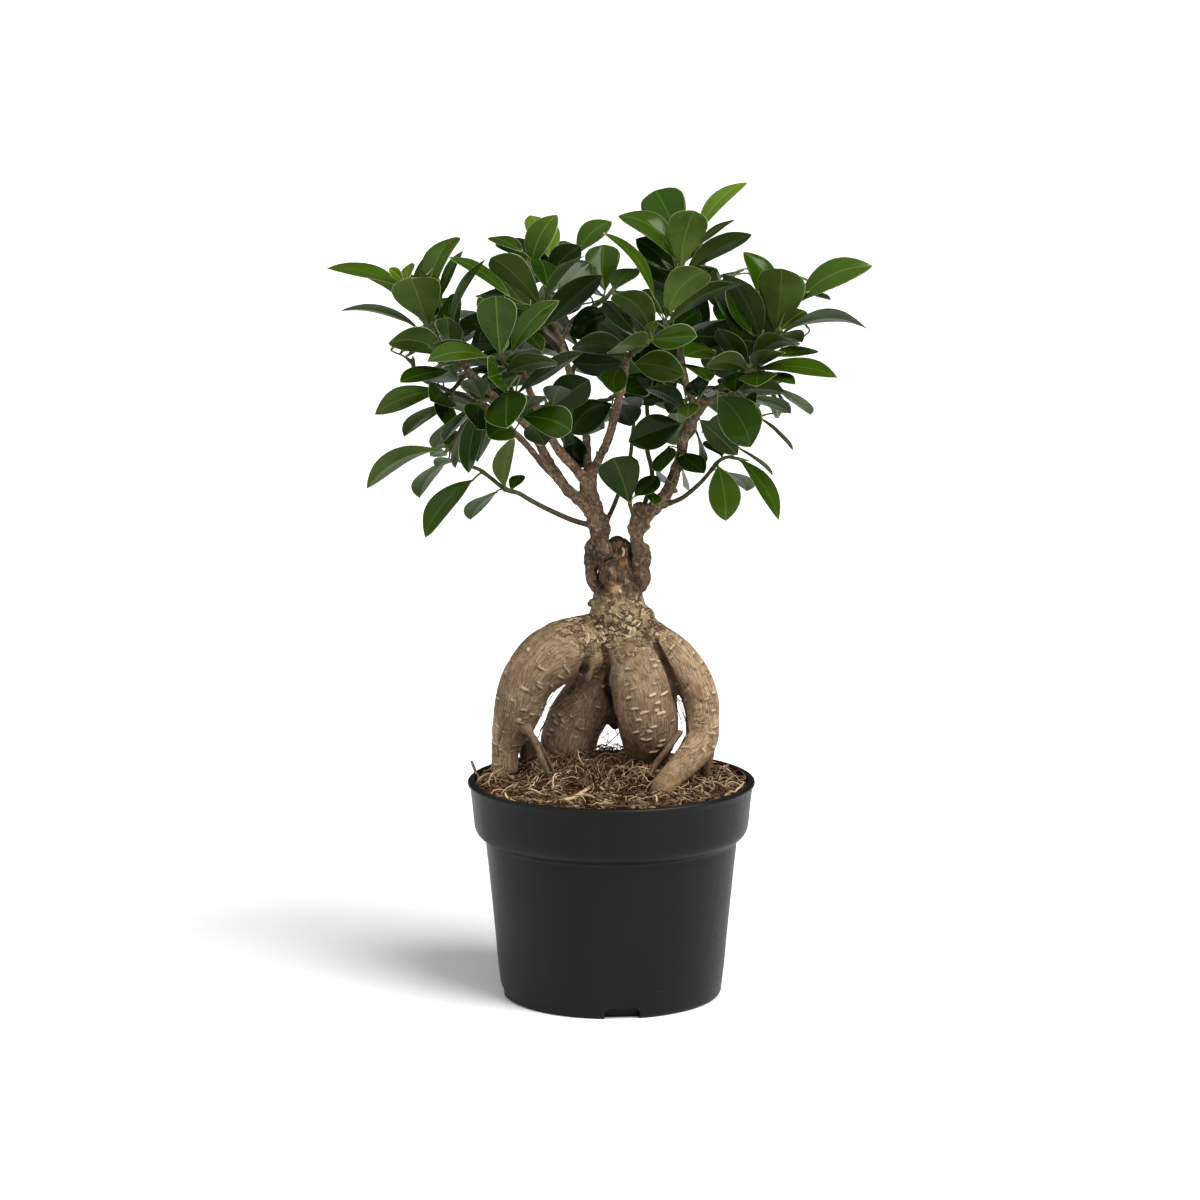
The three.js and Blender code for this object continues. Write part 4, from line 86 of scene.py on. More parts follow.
# Lumps and folds where the scions joined the neck, and grooves between them.
NECK_LUMPS = [[[-1.8,-9.0,227.8,4.66],[1.3,-10.0,226.9,4.76],[-0.2,-9.0,223.1,5.7]],[[2.9,1.0,238.3,4.68],[6.0,0.0,235.8,4.68]],[[-10.9,-4.0,208.6,1.87],[-11.6,-5.0,207.9,1.35]],[[20.1,-2.0,203.2,2.08],[21.4,-2.0,202.4,1.46]],[[7.0,-5.0,235.5,2.59],[7.6,-6.0,228.4,2.59],[8.6,-6.0,222.1,2.59]]]
LEFT_LUMPS = [[[-10.3,-2.0,238.8,3.01],[-10.7,-3.0,232.6,2.91],[-10.5,-3.0,226.3,3.22],[-10.3,-3.0,221.6,3.22],[-8.5,-3.0,216.3,2.08]],[[-4.4,-7.0,239.0,3.88],[-2.8,-8.0,236.0,4.14],[-4.9,-7.0,233.8,3.63]],[[-11.1,-2.0,238.2,1.14],[-12.9,-3.0,237.6,0.52]]]
RIGHT_LUMPS = [[[17.4,-3.0,237.3,2.59],[17.9,-4.0,233.3,2.59],[17.6,-4.0,228.6,2.28]],[[17.4,-4.0,224.9,2.7],[17.9,-4.0,221.2,2.8],[16.7,-4.0,216.5,1.97]],[[11.2,-3.0,246.8,2.59],[9.9,-4.0,248.0,1.66]],[[16.9,-3.0,247.3,2.07],[20.0,-4.0,249.0,0.62]],[[12.7,-3.0,256.2,1.97],[12.2,-3.0,259.3,1.14]],[[15.3,-2.0,256.1,1.97],[15.8,-2.0,259.5,1.24]]]
GROOVES = [[[22.1,-7.9,191.3,1.2],[23.7,-8.3,185.6,1.5],[26.3,-8.3,180.3,1.7],[28.9,-7.6,174.3,1.9],[31.6,-8.5,166.6,2.0],[33.7,-6.7,156.7,2.0]],[[-11.1,-14.7,190.9,1.2],[-11.6,-15.7,184.8,1.8],[-13.7,-13.8,176.5,2.2],[-18.0,8.2,165.5,2.4],[-23.3,11.1,159.1,2.2]],[[-3.9,-12.9,186.4,1.0],[-2.0,-8.5,177.1,1.8],[-1.0,2.9,164.4,2.4],[0.4,11.4,152.1,2.6],[2.4,-6.8,146.0,2.4]],[[9.5,-2.4,239.9,1.3],[9.8,-5.9,232.5,1.3],[10.7,-6.6,224.8,1.3],[13.0,-7.6,217.1,1.1]],[[-7.5,-6.3,231.0,1.2],[-7.7,-5.1,225.1,1.2],[-5.9,-6.6,219.5,1.1],[-2.3,-10.7,216.5,0.8]]]
# Leafy shoots: stem [x, y, z, radius]; leaf [stalk foot xyz, blade foot xyz, tip xyz, side xyz, width, bend xyz,
# outline, tint]. The tint, from dark to pale green, is partly each leaf's own tone and partly painted light and shade,
# set darker on leaves that sit in shadow.
SHOOTS = {
    "left_shoot_01": {"parent": "left_branch", "stem": [[-84.3,2.0,343.5,1.3],[-91.4,2.0,355.4,1.17],[-98.5,1.0,365.8,1.03],[-106.1,0.0,374.1,0.9]], "leaves": [
        [-102.1,0.7,370.1,-104.7,-8.7,371.8,-145.4,-10.5,383.2,-0.024,-0.971,-0.238,22.4,0.72,-0.79,3.14,0,0.42],
        [-91.6,1.7,355.3,-100.2,1.8,351.8,-138.7,-7.3,361.4,0.303,-0.871,0.386,13.8,0.65,1.34,3.88,2,0.3],
        [-89.7,1.8,352.2,-93.5,-10.9,354.6,-101.5,-30.2,380.8,0.97,-0.114,0.215,25.6,-0.32,0.32,0.0,1,0.6],
        [-92.9,1.9,358.0,-93.3,10.3,363.9,-81.6,34.8,396.2,-0.775,0.606,-0.18,21.1,-4.13,-3.22,2.25,1,0.38],
        [-93.2,2.2,358.4,-89.4,3.5,364.0,-76.3,2.8,391.4,-0.412,0.884,0.221,11.7,-1.14,-0.2,0.7,2,0.35],
        [-104.0,0.2,372.1,-106.7,-9.0,376.4,-113.4,-15.6,383.6,-0.579,-0.253,-0.775,6.0,0.05,-0.3,0.5,0,0.85],
        [-104.1,-0.1,372.1,-104.6,-9.0,376.4,-104.9,30.3,382.5,-0.904,0.058,-0.423,8.0,-0.27,-0.3,0.19,0,0.9],
    ]},
    "left_shoot_02": {"parent": "left_branch", "stem": [[-74.9,-4.0,332.3,1.4],[-79.6,-14.0,341.5,1.27],[-82.9,-20.0,350.3,1.13],[-84.2,-24.0,356.9,1.0]], "leaves": [
        [-83.7,-22.8,355.3,-81.2,-24.0,357.9,-63.4,-36.6,390.4,0.482,0.873,0.075,13.3,-2.31,0.46,1.44,2,0.35],
        [-83.8,-22.4,353.7,-84.3,-23.4,352.2,-83.6,0.9,368.4,-0.652,0.433,-0.623,18.5,0.54,-0.01,0.0,0,0.2],
        [-80.6,-16.1,343.5,-81.1,-15.7,343.8,-82.6,-40.5,361.0,0.945,-0.223,-0.24,15.7,-0.85,-0.03,-0.12,0,0.3],
        [-78.2,-11.7,339.1,-84.2,-15.4,338.1,-113.6,-27.9,346.5,0.417,-0.444,0.793,17.2,0.47,2.09,4.73,0,0.38],
        [-74.9,-3.7,332.5,-83.5,-6.5,329.9,-107.6,-29.6,326.8,0.665,-0.644,-0.379,14.9,-0.08,-0.27,1.41,0,0.25],
        [-74.6,-4.1,332.2,-82.0,-7.0,331.5,-94.1,22.4,321.6,-0.888,-0.23,0.399,17.4,0.58,-0.08,-0.94,0,0.25],
        [-80.5,-16.1,343.9,-81.7,-13.6,344.1,-81.6,29.9,362.2,-0.686,0.28,-0.672,18.7,-1.15,-0.6,0.97,0,0.2],
    ]},
    "left_shoot_03": {"parent": "mid_left_branch", "stem": [[-45.3,-43.0,333.4,1.5],[-50.2,-50.0,336.2,1.33],[-53.5,-56.0,338.8,1.17],[-55.9,-60.0,345.3,1.0]], "leaves": [
        [-54.6,-58.4,341.9,-61.1,-63.7,343.0,-91.8,-75.0,342.2,0.32,-0.832,-0.453,16.8,0.15,-0.69,3.6,0,0.45],
        [-51.3,-51.6,336.5,-60.0,-50.8,337.2,-92.2,-56.7,348.1,0.325,-0.777,0.539,17.7,0.45,1.16,1.95,0,0.22],
        [-51.8,-52.9,337.0,-53.0,-56.5,334.8,-26.9,-73.9,342.0,0.565,0.624,-0.539,16.8,-0.19,0.55,2.11,0,0.45],
        [-45.3,-42.9,333.6,-47.0,-49.3,324.2,-15.0,-41.0,343.5,0.095,0.848,-0.522,20.1,-0.39,0.46,0.74,0,0.25],
        [-55.6,-59.3,343.6,-55.8,-65.4,344.7,-57.5,-75.1,375.0,0.998,-0.017,0.052,20.4,-0.15,0.38,0.11,1,0.15],
        [-54.3,-57.1,340.2,-50.1,-58.3,344.3,-26.6,-53.0,370.8,-0.521,0.797,0.305,18.6,-2.37,-1.74,2.43,0,0.45],
        [-55.2,-59.4,343.5,-57.7,-56.1,347.9,-66.5,-38.3,371.3,-0.706,-0.666,0.239,16.0,0.89,-0.65,0.83,0,0.25],
        [-45.1,-43.1,333.6,-35.0,-42.9,343.3,-44.6,-26.2,353.0,-0.877,-0.477,-0.05,12.0,0.17,-0.4,0.86,0,0.4],
        [-45.5,-42.9,333.1,-52.0,-52.5,325.3,-51.8,-108.3,313.4,0.94,-0.067,0.334,22.9,-0.37,-0.1,0.13,0,0.24],
        [-55.6,-58.7,343.7,-54.4,-64.3,345.8,-53.4,-59.4,354.2,0.869,0.373,-0.326,7.0,-0.37,0.27,0.19,0,0.8],
        [-52.1,-53.3,337.0,-55.9,-55.5,333.6,-60.8,-94.9,336.2,0.427,-0.114,-0.897,20.6,1.59,-0.15,0.78,0,0.2],
    ]},
    "left_shoot_04": {"parent": "left_branch", "stem": [[-74.0,-1.0,329.9,1.3],[-79.3,2.0,322.3,1.17],[-84.0,3.0,317.5,1.03],[-88.7,3.0,315.9,0.9]], "leaves": [
        [-86.1,3.3,316.5,-88.1,3.0,318.5,-122.6,-1.8,307.1,0.272,-0.843,-0.465,19.0,-0.69,-1.28,2.64,0,0.42],
        [-83.0,2.6,318.3,-84.0,3.0,312.3,-108.3,19.5,293.0,-0.626,-0.769,0.128,18.3,-1.09,0.43,1.74,0,0.38],
        [-87.6,2.7,315.9,-87.1,2.8,317.0,-83.3,-18.4,301.9,0.803,0.435,-0.408,14.8,-0.61,-0.05,-0.08,0,0.25],
        [-82.5,3.0,318.2,-82.6,4.4,304.3,-92.3,11.9,287.7,-0.579,-0.815,-0.027,18.5,0.56,-0.01,-0.33,0,0.5],
        [-84.0,3.3,317.8,-84.6,6.2,315.6,-90.9,-41.4,319.0,0.699,-0.142,-0.701,18.3,1.33,-0.21,0.84,0,0.2],
    ]},
    "left_shoot_05": {"parent": "left_back_branch", "stem": [[-70.4,48.0,307.6,1.3],[-76.6,40.0,299.0,1.17],[-81.5,30.0,290.7,1.03],[-85.4,22.0,285.9,0.9]], "leaves": [
        [-84.3,23.9,287.1,-90.8,21.8,285.9,-128.5,24.2,265.0,-0.303,-0.84,0.449,22.6,-2.32,2.29,4.46,0,0.85],
        [-84.1,24.2,287.3,-85.5,21.9,280.0,-101.9,43.6,257.4,-0.719,-0.682,-0.134,18.4,-2.2,0.41,1.98,0,0.42],
        [-82.7,28.0,289.2,-78.2,26.6,283.6,-94.4,55.0,282.8,-0.808,-0.451,0.378,17.2,0.32,0.22,1.19,0,0.25],
        [-85.3,22.1,286.1,-86.5,22.1,284.3,-95.8,48.1,279.1,-0.767,-0.15,0.624,9.0,0.69,0.44,0.96,0,0.5],
        [-85.3,21.9,286.0,-83.5,20.2,284.5,-81.3,53.7,292.1,-0.978,0.017,0.206,18.1,-0.42,-0.3,1.47,0,0.55],
    ]},
    "left_shoot_06": {"parent": "left_stem", "stem": [[-11.6,0.0,249.0,1.5],[-18.9,-3.0,251.5,1.44],[-26.6,-6.0,255.1,1.38],[-34.3,-9.0,259.2,1.32],[-42.0,-12.0,263.8,1.26],[-48.1,-14.0,267.7,1.2],[-54.8,-15.0,269.9,1.14],[-61.4,-16.0,275.2,1.08],[-67.5,-17.0,280.0,1.02],[-72.7,-17.0,282.1,0.96],[-77.8,-17.0,284.7,0.9]], "leaves": [
        [-65.9,-16.6,279.0,-71.1,-20.0,275.3,-96.2,-24.1,246.3,0.484,-0.82,-0.305,20.1,-2.53,-1.75,2.45,0,0.37],
        [-55.0,-15.3,269.8,-59.0,-13.3,268.6,-73.7,10.3,251.1,-0.792,-0.595,-0.133,17.1,-1.1,0.25,1.27,0,0.5],
        [-51.5,-14.9,268.4,-51.7,-14.6,269.3,-46.4,2.6,275.3,-0.959,0.268,0.088,8.0,-0.0,-0.28,0.8,0,0.35],
        [-54.5,-14.9,269.7,-54.7,-17.1,271.2,-50.8,-27.7,298.4,0.703,0.691,0.168,15.3,-2.35,0.57,0.56,0,0.85],
        [-74.0,-16.7,283.0,-77.0,-10.2,283.8,-90.9,0.3,279.8,-0.628,-0.754,0.194,17.4,0.3,0.46,1.4,0,0.4],
    ]},
    "left_shoot_07": {"parent": "left_branch", "stem": [[-57.4,-8.0,314.1,1.3],[-61.1,-20.0,316.5,1.17],[-64.4,-32.0,317.9,1.03],[-66.7,-40.0,318.8,0.9]], "leaves": [
        [-65.4,-36.0,318.4,-66.5,-46.0,315.5,-72.4,-54.5,283.5,0.679,-0.731,0.068,17.5,-1.18,-0.91,0.46,0,0.18],
        [-58.5,-11.3,314.6,-61.4,-11.9,312.5,-69.5,-2.2,282.2,-0.619,-0.781,-0.082,17.1,0.02,0.16,0.05,0,0.2],
        [-65.6,-36.6,318.1,-67.5,-46.3,317.0,-66.7,-71.3,308.4,0.852,0.192,-0.487,18.1,0.02,-0.02,0.1,0,0.2],
        [-65.8,-38.0,318.4,-71.2,-40.0,315.8,-85.8,-21.0,296.1,-0.692,-0.702,-0.166,16.1,-0.09,0.06,0.13,0,0.22],
        [-64.4,-31.7,318.2,-71.5,-33.6,307.9,-80.1,-24.3,282.0,-0.346,-0.914,-0.213,17.4,-1.15,0.6,0.78,0,0.18],
        [-65.3,-36.3,318.4,-65.7,-36.8,319.5,-71.0,-58.0,332.0,0.976,-0.154,0.153,14.0,-0.06,0.59,0.97,0,0.25],
    ]},
    "left_shoot_08": {"parent": "mid_left_branch", "stem": [[-36.5,-29.0,309.9,1.3],[-41.4,-38.0,309.4,1.17],[-45.3,-48.0,311.7,1.03],[-48.1,-54.0,315.4,0.9]], "leaves": [
        [-45.8,-49.6,312.5,-45.2,-53.7,311.8,-20.4,-71.6,307.5,0.444,0.42,0.792,17.9,0.33,-0.1,2.28,1,0.24],
        [-44.5,-46.1,310.8,-49.3,-50.0,304.8,-60.9,-83.3,305.4,0.727,-0.267,-0.633,16.5,-0.35,0.15,1.89,0,0.25],
        [-45.3,-48.3,311.3,-45.4,-39.0,312.6,-38.3,-68.1,324.6,0.975,0.202,-0.088,17.1,-0.05,0.54,1.38,0,0.3],
        [-41.1,-37.9,309.2,-41.4,-38.2,305.9,-34.0,-24.5,293.9,-0.922,0.217,-0.321,15.4,0.11,0.6,1.18,0,0.2],
    ]},
    "left_shoot_09": {"parent": "mid_right_branch", "stem": [[4.8,-22.0,321.4,1.2],[1.2,-16.0,318.1,1.1],[-2.3,-12.0,315.6,1.0],[-5.9,-8.0,315.1,0.9]], "leaves": [
        [-0.3,-13.7,316.7,0.2,-12.3,313.6,-20.3,-21.1,299.2,0.566,0.03,-0.824,16.4,-1.59,0.13,2.2,0,0.28],
        [-3.4,-11.3,315.2,-14.2,-8.0,299.6,-3.8,17.7,297.5,-0.606,0.18,-0.775,12.0,-0.88,0.42,0.78,0,0.55],
        [4.7,-22.3,321.1,4.7,-28.5,334.4,1.6,-55.8,324.2,0.975,-0.03,-0.221,14.2,-2.13,-0.01,0.65,0,0.5],
        [-0.2,-13.8,316.5,3.3,-6.2,312.3,9.6,7.9,300.2,-0.947,0.232,-0.223,17.4,0.37,0.55,1.34,0,0.5],
        [2.1,-17.0,319.2,5.4,-11.7,316.6,12.8,14.0,306.3,-0.949,0.169,-0.265,14.9,-0.23,0.53,1.15,0,0.45],
        [3.3,-19.0,319.7,6.4,-14.0,319.9,17.4,7.3,320.6,-0.663,0.321,0.676,14.0,0.64,-0.36,0.79,0,0.3],
    ]},
    "left_shoot_10": {"parent": "mid_left_branch", "stem": [[-30.5,-22.0,307.5,1.2],[-32.4,-30.0,312.6,1.05],[-33.3,-36.0,317.4,0.9]], "leaves": [
        [-32.7,-32.9,315.0,-32.3,-36.0,313.3,-11.0,-46.5,330.2,0.655,0.126,-0.745,18.8,-0.23,0.42,0.55,0,0.22],
        [-30.6,-22.3,307.4,-28.4,-19.6,309.3,-23.5,-3.4,290.7,-0.734,0.597,0.325,14.0,0.73,0.54,0.67,0,0.3],
        [-33.2,-34.9,315.8,-30.2,-39.8,316.3,-25.8,-73.4,330.2,0.982,0.053,-0.183,14.0,0.03,0.58,0.97,0,0.3],
        [-30.1,-21.9,307.3,-25.1,4.0,297.6,-14.3,10.0,277.5,0.797,0.306,0.521,12.5,0.65,-1.52,-0.1,0,0.12],
    ]},
    "left_shoot_11": {"parent": "mid_back_branch", "stem": [[-31.1,40.0,352.8,1.4],[-33.1,34.0,362.8,1.27],[-34.1,28.0,371.7,1.13],[-34.5,24.0,379.3,1.0]], "leaves": [
        [-34.2,25.2,377.5,-41.3,24.0,380.4,-28.3,30.3,407.9,-0.83,0.481,0.281,16.2,-2.69,-2.26,1.78,0,0.5],
        [-34.5,25.6,375.5,-32.0,32.0,384.9,-42.8,57.3,406.1,-0.934,-0.353,-0.056,18.0,1.9,-0.17,1.18,0,0.75],
        [-34.4,25.6,375.3,-46.4,24.0,388.7,-64.4,55.7,394.6,-0.871,-0.464,-0.161,12.6,-0.07,-0.24,1.08,2,0.4],
        [-33.7,28.1,371.5,-33.1,31.7,373.0,-15.7,14.0,392.6,0.723,-0.056,-0.689,14.9,-1.42,0.67,1.57,0,0.22],
        [-34.4,26.2,375.9,-17.9,24.0,387.6,0.3,34.9,404.0,-0.722,0.519,0.459,14.0,-1.6,-0.81,2.32,0,0.32],
        [-31.4,38.4,355.3,-3.3,43.2,366.7,-3.8,57.7,390.3,-1.0,-0.01,-0.016,18.9,-1.09,-0.26,0.14,1,0.34],
        [-34.1,26.6,373.7,-37.3,34.1,382.7,-60.5,64.5,391.9,-0.802,-0.53,-0.274,17.2,0.2,-0.43,1.41,0,0.25],
        [-34.2,28.3,371.4,-33.1,32.6,377.6,-24.4,60.4,392.2,-0.954,0.299,-0.004,16.9,-0.2,-0.63,1.31,0,0.3],
    ]},
    "left_shoot_12": {"parent": "mid_back_branch", "stem": [[-26.9,36.0,340.6,1.5],[-30.8,14.0,346.5,1.38],[-33.6,-8.0,351.2,1.25],[-35.0,-20.0,358.5,1.12],[-35.8,-28.0,365.4,1.0]], "leaves": [
        [-35.6,-27.8,365.4,-35.8,-32.0,365.7,-60.4,-35.9,391.3,0.616,-0.61,0.498,20.7,1.26,1.57,1.45,1,0.45],
        [-35.6,-24.6,361.9,-51.7,-20.0,369.2,-83.0,-10.7,389.3,-0.427,-0.865,-0.262,13.0,1.1,-0.61,2.0,2,0.25],
        [-35.0,-20.3,358.2,-41.0,-21.4,361.7,-58.8,-0.8,380.4,-0.784,-0.125,-0.608,15.4,-0.2,-0.25,-0.0,0,0.25],
        [-35.3,-26.0,363.5,-33.8,-32.0,367.3,-13.5,-44.2,392.5,0.553,0.832,-0.041,11.8,-2.59,0.72,2.43,2,0.5],
        [-35.3,-21.9,360.5,-27.3,-20.5,368.8,-10.5,-0.5,385.5,-0.753,0.085,0.653,16.9,-0.52,-0.16,0.7,0,0.2],
        [-34.5,-17.6,356.7,-34.0,-20.0,354.4,-5.4,-26.1,381.4,0.577,0.679,-0.455,20.7,-0.68,0.93,0.93,0,0.2],
        [-35.3,-24.6,362.0,-32.4,-20.0,372.8,-36.9,8.5,386.8,-0.924,-0.275,0.264,16.7,0.51,-0.53,1.24,0,0.3],
        [-34.2,-11.5,352.6,-38.7,-10.4,351.4,-52.8,-43.5,354.7,0.917,-0.394,-0.053,18.8,-0.53,0.83,6.17,0,0.18],
        [-35.5,-25.8,363.5,-54.1,-27.8,367.4,-68.2,-12.4,370.1,-0.736,-0.639,-0.225,15.0,-0.46,-0.35,1.16,0,0.3],
    ]},
    "left_shoot_13": {"parent": "mid_right_branch", "stem": [[8.3,-28.0,339.9,1.5],[11.3,-34.0,342.6,1.37],[14.8,-42.0,345.4,1.23],[17.7,-50.0,349.3,1.1]], "leaves": [
        [17.2,-47.8,348.3,20.1,-56.0,351.4,1.5,-65.8,375.3,0.775,-0.487,0.403,18.5,3.48,1.88,3.47,1,0.35],
        [9.6,-31.2,341.2,8.8,-32.0,340.3,-20.5,-44.4,346.2,0.385,-0.567,0.729,17.0,0.21,1.13,3.51,0,0.45],
        [8.2,-28.3,339.6,5.3,-20.0,336.0,-20.3,-12.8,335.3,-0.106,-0.276,0.955,14.0,0.01,-0.1,-1.26,0,0.08],
        [18.0,-49.9,349.1,16.7,-50.7,347.8,1.0,-87.7,351.6,0.768,-0.266,0.582,21.0,-0.06,0.03,0.09,0,0.5],
        [9.7,-30.5,341.5,11.3,-36.5,336.8,36.2,-54.3,333.6,0.156,0.044,0.987,16.1,0.25,0.03,1.79,0,0.5],
        [17.9,-50.1,349.3,19.2,-50.0,350.3,42.3,-68.5,354.2,0.282,0.52,0.806,15.5,-0.13,-0.11,0.21,0,0.3],
        [13.2,-38.2,344.0,14.3,-38.7,349.2,-3.9,-21.4,367.8,-0.79,-0.559,-0.251,16.3,0.27,-0.87,1.07,0,0.15],
        [16.8,-47.7,348.0,18.2,-46.7,347.4,9.1,-50.6,365.4,0.613,-0.778,0.14,10.0,0.4,0.37,0.28,2,0.35],
        [17.1,-47.7,348.1,18.1,-53.5,351.6,21.5,-61.9,361.5,0.917,0.399,0.029,7.0,-0.3,0.3,0.24,0,0.85],
        [10.8,-32.1,341.6,12.3,-30.7,343.3,-5.9,-12.0,355.7,-0.775,-0.501,-0.385,15.1,-0.04,-0.75,1.06,0,0.5],
    ]},
    "right_shoot_01": {"parent": "right_up_branch", "stem": [[35.4,11.0,373.7,1.3],[35.4,11.0,377.3,1.2],[35.9,10.0,381.0,1.1],[36.4,9.0,384.2,1.0]], "leaves": [
        [36.1,10.0,381.1,35.6,3.3,383.1,42.3,-1.4,412.1,0.975,0.046,-0.219,20.5,-1.37,0.94,0.46,1,0.62],
        [36.5,9.8,383.0,33.3,8.9,385.6,3.3,13.3,408.5,-0.457,-0.767,-0.45,19.7,3.37,-2.84,4.97,0,0.31],
        [35.6,10.4,380.1,35.0,13.6,395.5,22.5,34.7,420.2,-0.917,-0.087,-0.39,23.6,0.81,-0.38,0.66,1,0.21],
        [35.9,10.4,380.3,44.7,13.1,399.8,70.5,25.7,425.1,-0.616,0.744,0.258,13.0,-2.32,-0.98,2.81,2,0.8],
        [35.9,10.2,380.2,44.6,17.2,392.3,64.1,24.9,405.8,-0.41,0.909,0.078,11.0,-0.31,-0.22,0.89,2,0.45],
        [36.1,10.2,380.2,38.6,6.9,380.6,71.7,2.8,400.0,0.38,0.788,-0.485,20.1,-0.76,1.13,1.55,0,0.5],
        [35.4,11.2,377.1,33.1,13.0,379.4,12.7,14.0,396.5,-0.545,-0.567,-0.618,16.3,0.55,-0.25,0.97,0,0.2],
        [35.5,11.2,375.7,34.2,17.3,381.1,19.6,44.8,395.4,-0.81,-0.136,-0.57,14.8,0.56,-0.17,0.76,0,0.3],
        [35.7,11.1,373.7,37.4,14.9,369.9,15.2,24.6,385.1,-0.63,-0.345,-0.695,14.3,0.56,-1.18,1.06,0,0.1],
        [35.3,10.9,373.9,48.5,16.9,372.6,69.5,41.6,377.9,-0.727,0.66,-0.189,10.8,-0.04,-0.18,0.93,2,0.4],
        [35.2,10.8,373.4,41.5,10.5,365.1,54.8,15.8,380.9,-0.78,0.156,0.606,17.5,-1.09,-0.11,1.07,0,0.15],
    ]},
    "right_shoot_02": {"parent": "right_up_branch", "stem": [[34.4,6.0,342.1,1.5],[32.0,-10.0,347.3,1.33],[29.1,-26.0,352.5,1.17],[26.9,-38.0,358.2,1.0]], "leaves": [
        [27.1,-37.8,358.2,27.3,-43.0,360.2,47.1,-52.3,385.1,0.797,0.318,-0.514,19.2,-3.04,2.78,3.45,1,0.75],
        [27.3,-35.4,356.7,28.5,-34.3,356.8,65.2,-36.1,377.7,0.349,0.762,-0.545,14.4,-1.98,2.48,3.7,2,0.3],
        [27.4,-35.4,356.4,21.4,-34.0,370.0,-3.9,-32.6,403.2,-0.323,-0.923,-0.208,14.2,3.64,-1.35,2.83,2,0.42],
        [28.9,-29.2,353.7,24.5,-30.0,361.0,18.6,-9.3,372.9,-0.954,-0.296,0.045,14.0,0.2,-0.5,0.97,0,0.15],
        [31.3,-13.8,348.9,1.2,-8.0,371.7,11.7,16.8,381.0,-0.927,0.372,0.049,14.8,-0.1,-0.41,1.21,0,0.3],
        [33.5,-2.1,344.7,37.3,-0.2,346.3,57.3,-18.9,358.4,0.679,0.734,0.019,15.6,-0.46,0.18,1.04,0,0.55],
        [31.4,-14.4,348.6,30.9,-11.8,351.6,45.9,15.8,359.3,-0.584,0.093,0.806,14.0,0.35,-0.7,0.71,0,0.15],
        [27.3,-34.8,356.4,27.3,-44.0,360.8,26.2,-47.0,367.6,0.737,-0.654,-0.172,6.0,0.22,0.22,0.13,0,0.8],
    ]},
    "right_shoot_03": {"parent": "right_out_branch", "stem": [[74.0,-12.0,336.2,1.4],[75.8,-4.0,340.5,1.27],[76.7,4.0,343.8,1.13],[76.9,10.0,347.4,1.0]], "leaves": [
        [76.1,-3.8,340.5,76.3,-4.5,347.8,57.1,-21.5,382.1,0.726,-0.685,0.067,20.1,2.37,1.0,1.48,0,0.28],
        [76.7,8.2,346.4,72.7,10.3,347.3,59.8,15.1,372.3,-0.556,-0.821,-0.131,15.3,-1.19,0.09,-0.65,0,0.2],
        [76.7,6.8,345.3,81.1,13.9,356.3,68.6,16.2,389.8,-0.688,-0.694,-0.212,19.0,4.07,-2.61,2.32,0,0.19],
        [74.4,-11.9,336.0,68.5,-23.1,334.3,53.5,-42.3,355.6,0.869,-0.45,0.204,14.3,0.06,0.17,0.14,0,0.2],
        [76.8,8.9,346.8,79.0,11.6,349.3,75.7,21.8,368.1,-0.895,-0.439,0.08,15.4,0.76,-0.59,0.91,0,0.35],
    ]},
    "right_shoot_04": {"parent": "right_out_branch", "stem": [[74.4,-14.0,337.4,1.4],[78.0,-14.0,340.5,1.27],[81.6,-13.0,344.5,1.13],[84.2,-12.0,349.6,1.0]], "leaves": [
        [83.8,-12.0,348.3,84.3,-8.0,350.7,86.1,-30.3,385.3,0.975,-0.16,-0.153,24.9,0.68,0.77,0.05,1,0.6],
        [82.2,-13.1,345.6,95.4,-9.3,365.2,133.6,-8.8,384.1,-0.32,0.707,0.631,18.5,-2.3,-2.0,4.93,0,0.36],
        [82.2,-13.1,345.4,99.3,-12.0,371.1,112.6,-3.6,366.2,-0.588,0.704,-0.397,6.0,0.0,0.37,0.64,0,0.95],
        [83.9,-12.1,348.1,87.2,-13.0,350.2,130.9,-16.2,353.6,0.097,0.921,-0.376,22.9,-0.41,1.94,6.09,0,0.36],
        [83.5,-11.9,348.5,86.1,-14.9,351.9,101.1,19.7,358.9,-0.815,0.248,0.523,12.4,0.03,-0.25,1.07,2,0.4],
        [81.8,-13.1,344.5,80.9,-15.7,347.4,98.2,2.0,344.6,-0.685,0.606,-0.404,17.6,-0.17,0.31,1.49,0,0.4],
    ]},
    "right_shoot_05": {"parent": "right_out_branch", "stem": [[73.9,-16.0,335.6,1.3],[74.1,-22.0,334.2,1.15],[74.4,-28.0,333.3,1.0]], "leaves": [
        [74.4,-26.6,333.8,71.7,-25.8,334.2,91.6,-40.8,348.8,0.725,0.509,-0.464,16.6,-2.2,1.91,4.82,1,0.62],
        [74.0,-25.2,333.6,72.5,-25.9,333.5,83.7,-54.8,345.4,0.941,0.329,-0.083,17.2,-0.06,0.54,1.39,0,0.66],
        [73.6,-16.3,335.3,82.0,-16.2,338.3,107.2,6.3,339.1,-0.623,0.687,0.374,11.4,0.23,-0.3,0.93,2,0.4],
        [74.2,-28.2,333.1,74.0,-29.5,333.1,114.5,-35.3,330.1,0.156,0.94,0.302,21.5,0.2,-0.77,3.25,0,0.36],
        [74.0,-22.3,334.0,78.6,-24.8,330.6,92.4,-48.2,328.0,0.832,0.46,0.31,10.0,-0.34,-0.26,0.73,2,0.35],
        [74.6,-26.3,333.6,75.5,-32.2,332.6,72.1,-70.8,330.1,0.99,-0.094,0.103,20.4,-0.61,0.03,0.26,0,0.3],
        [74.6,-24.7,333.9,69.0,-30.7,333.5,47.4,-57.0,338.8,0.591,-0.34,0.732,14.0,0.03,0.67,2.61,0,0.5],
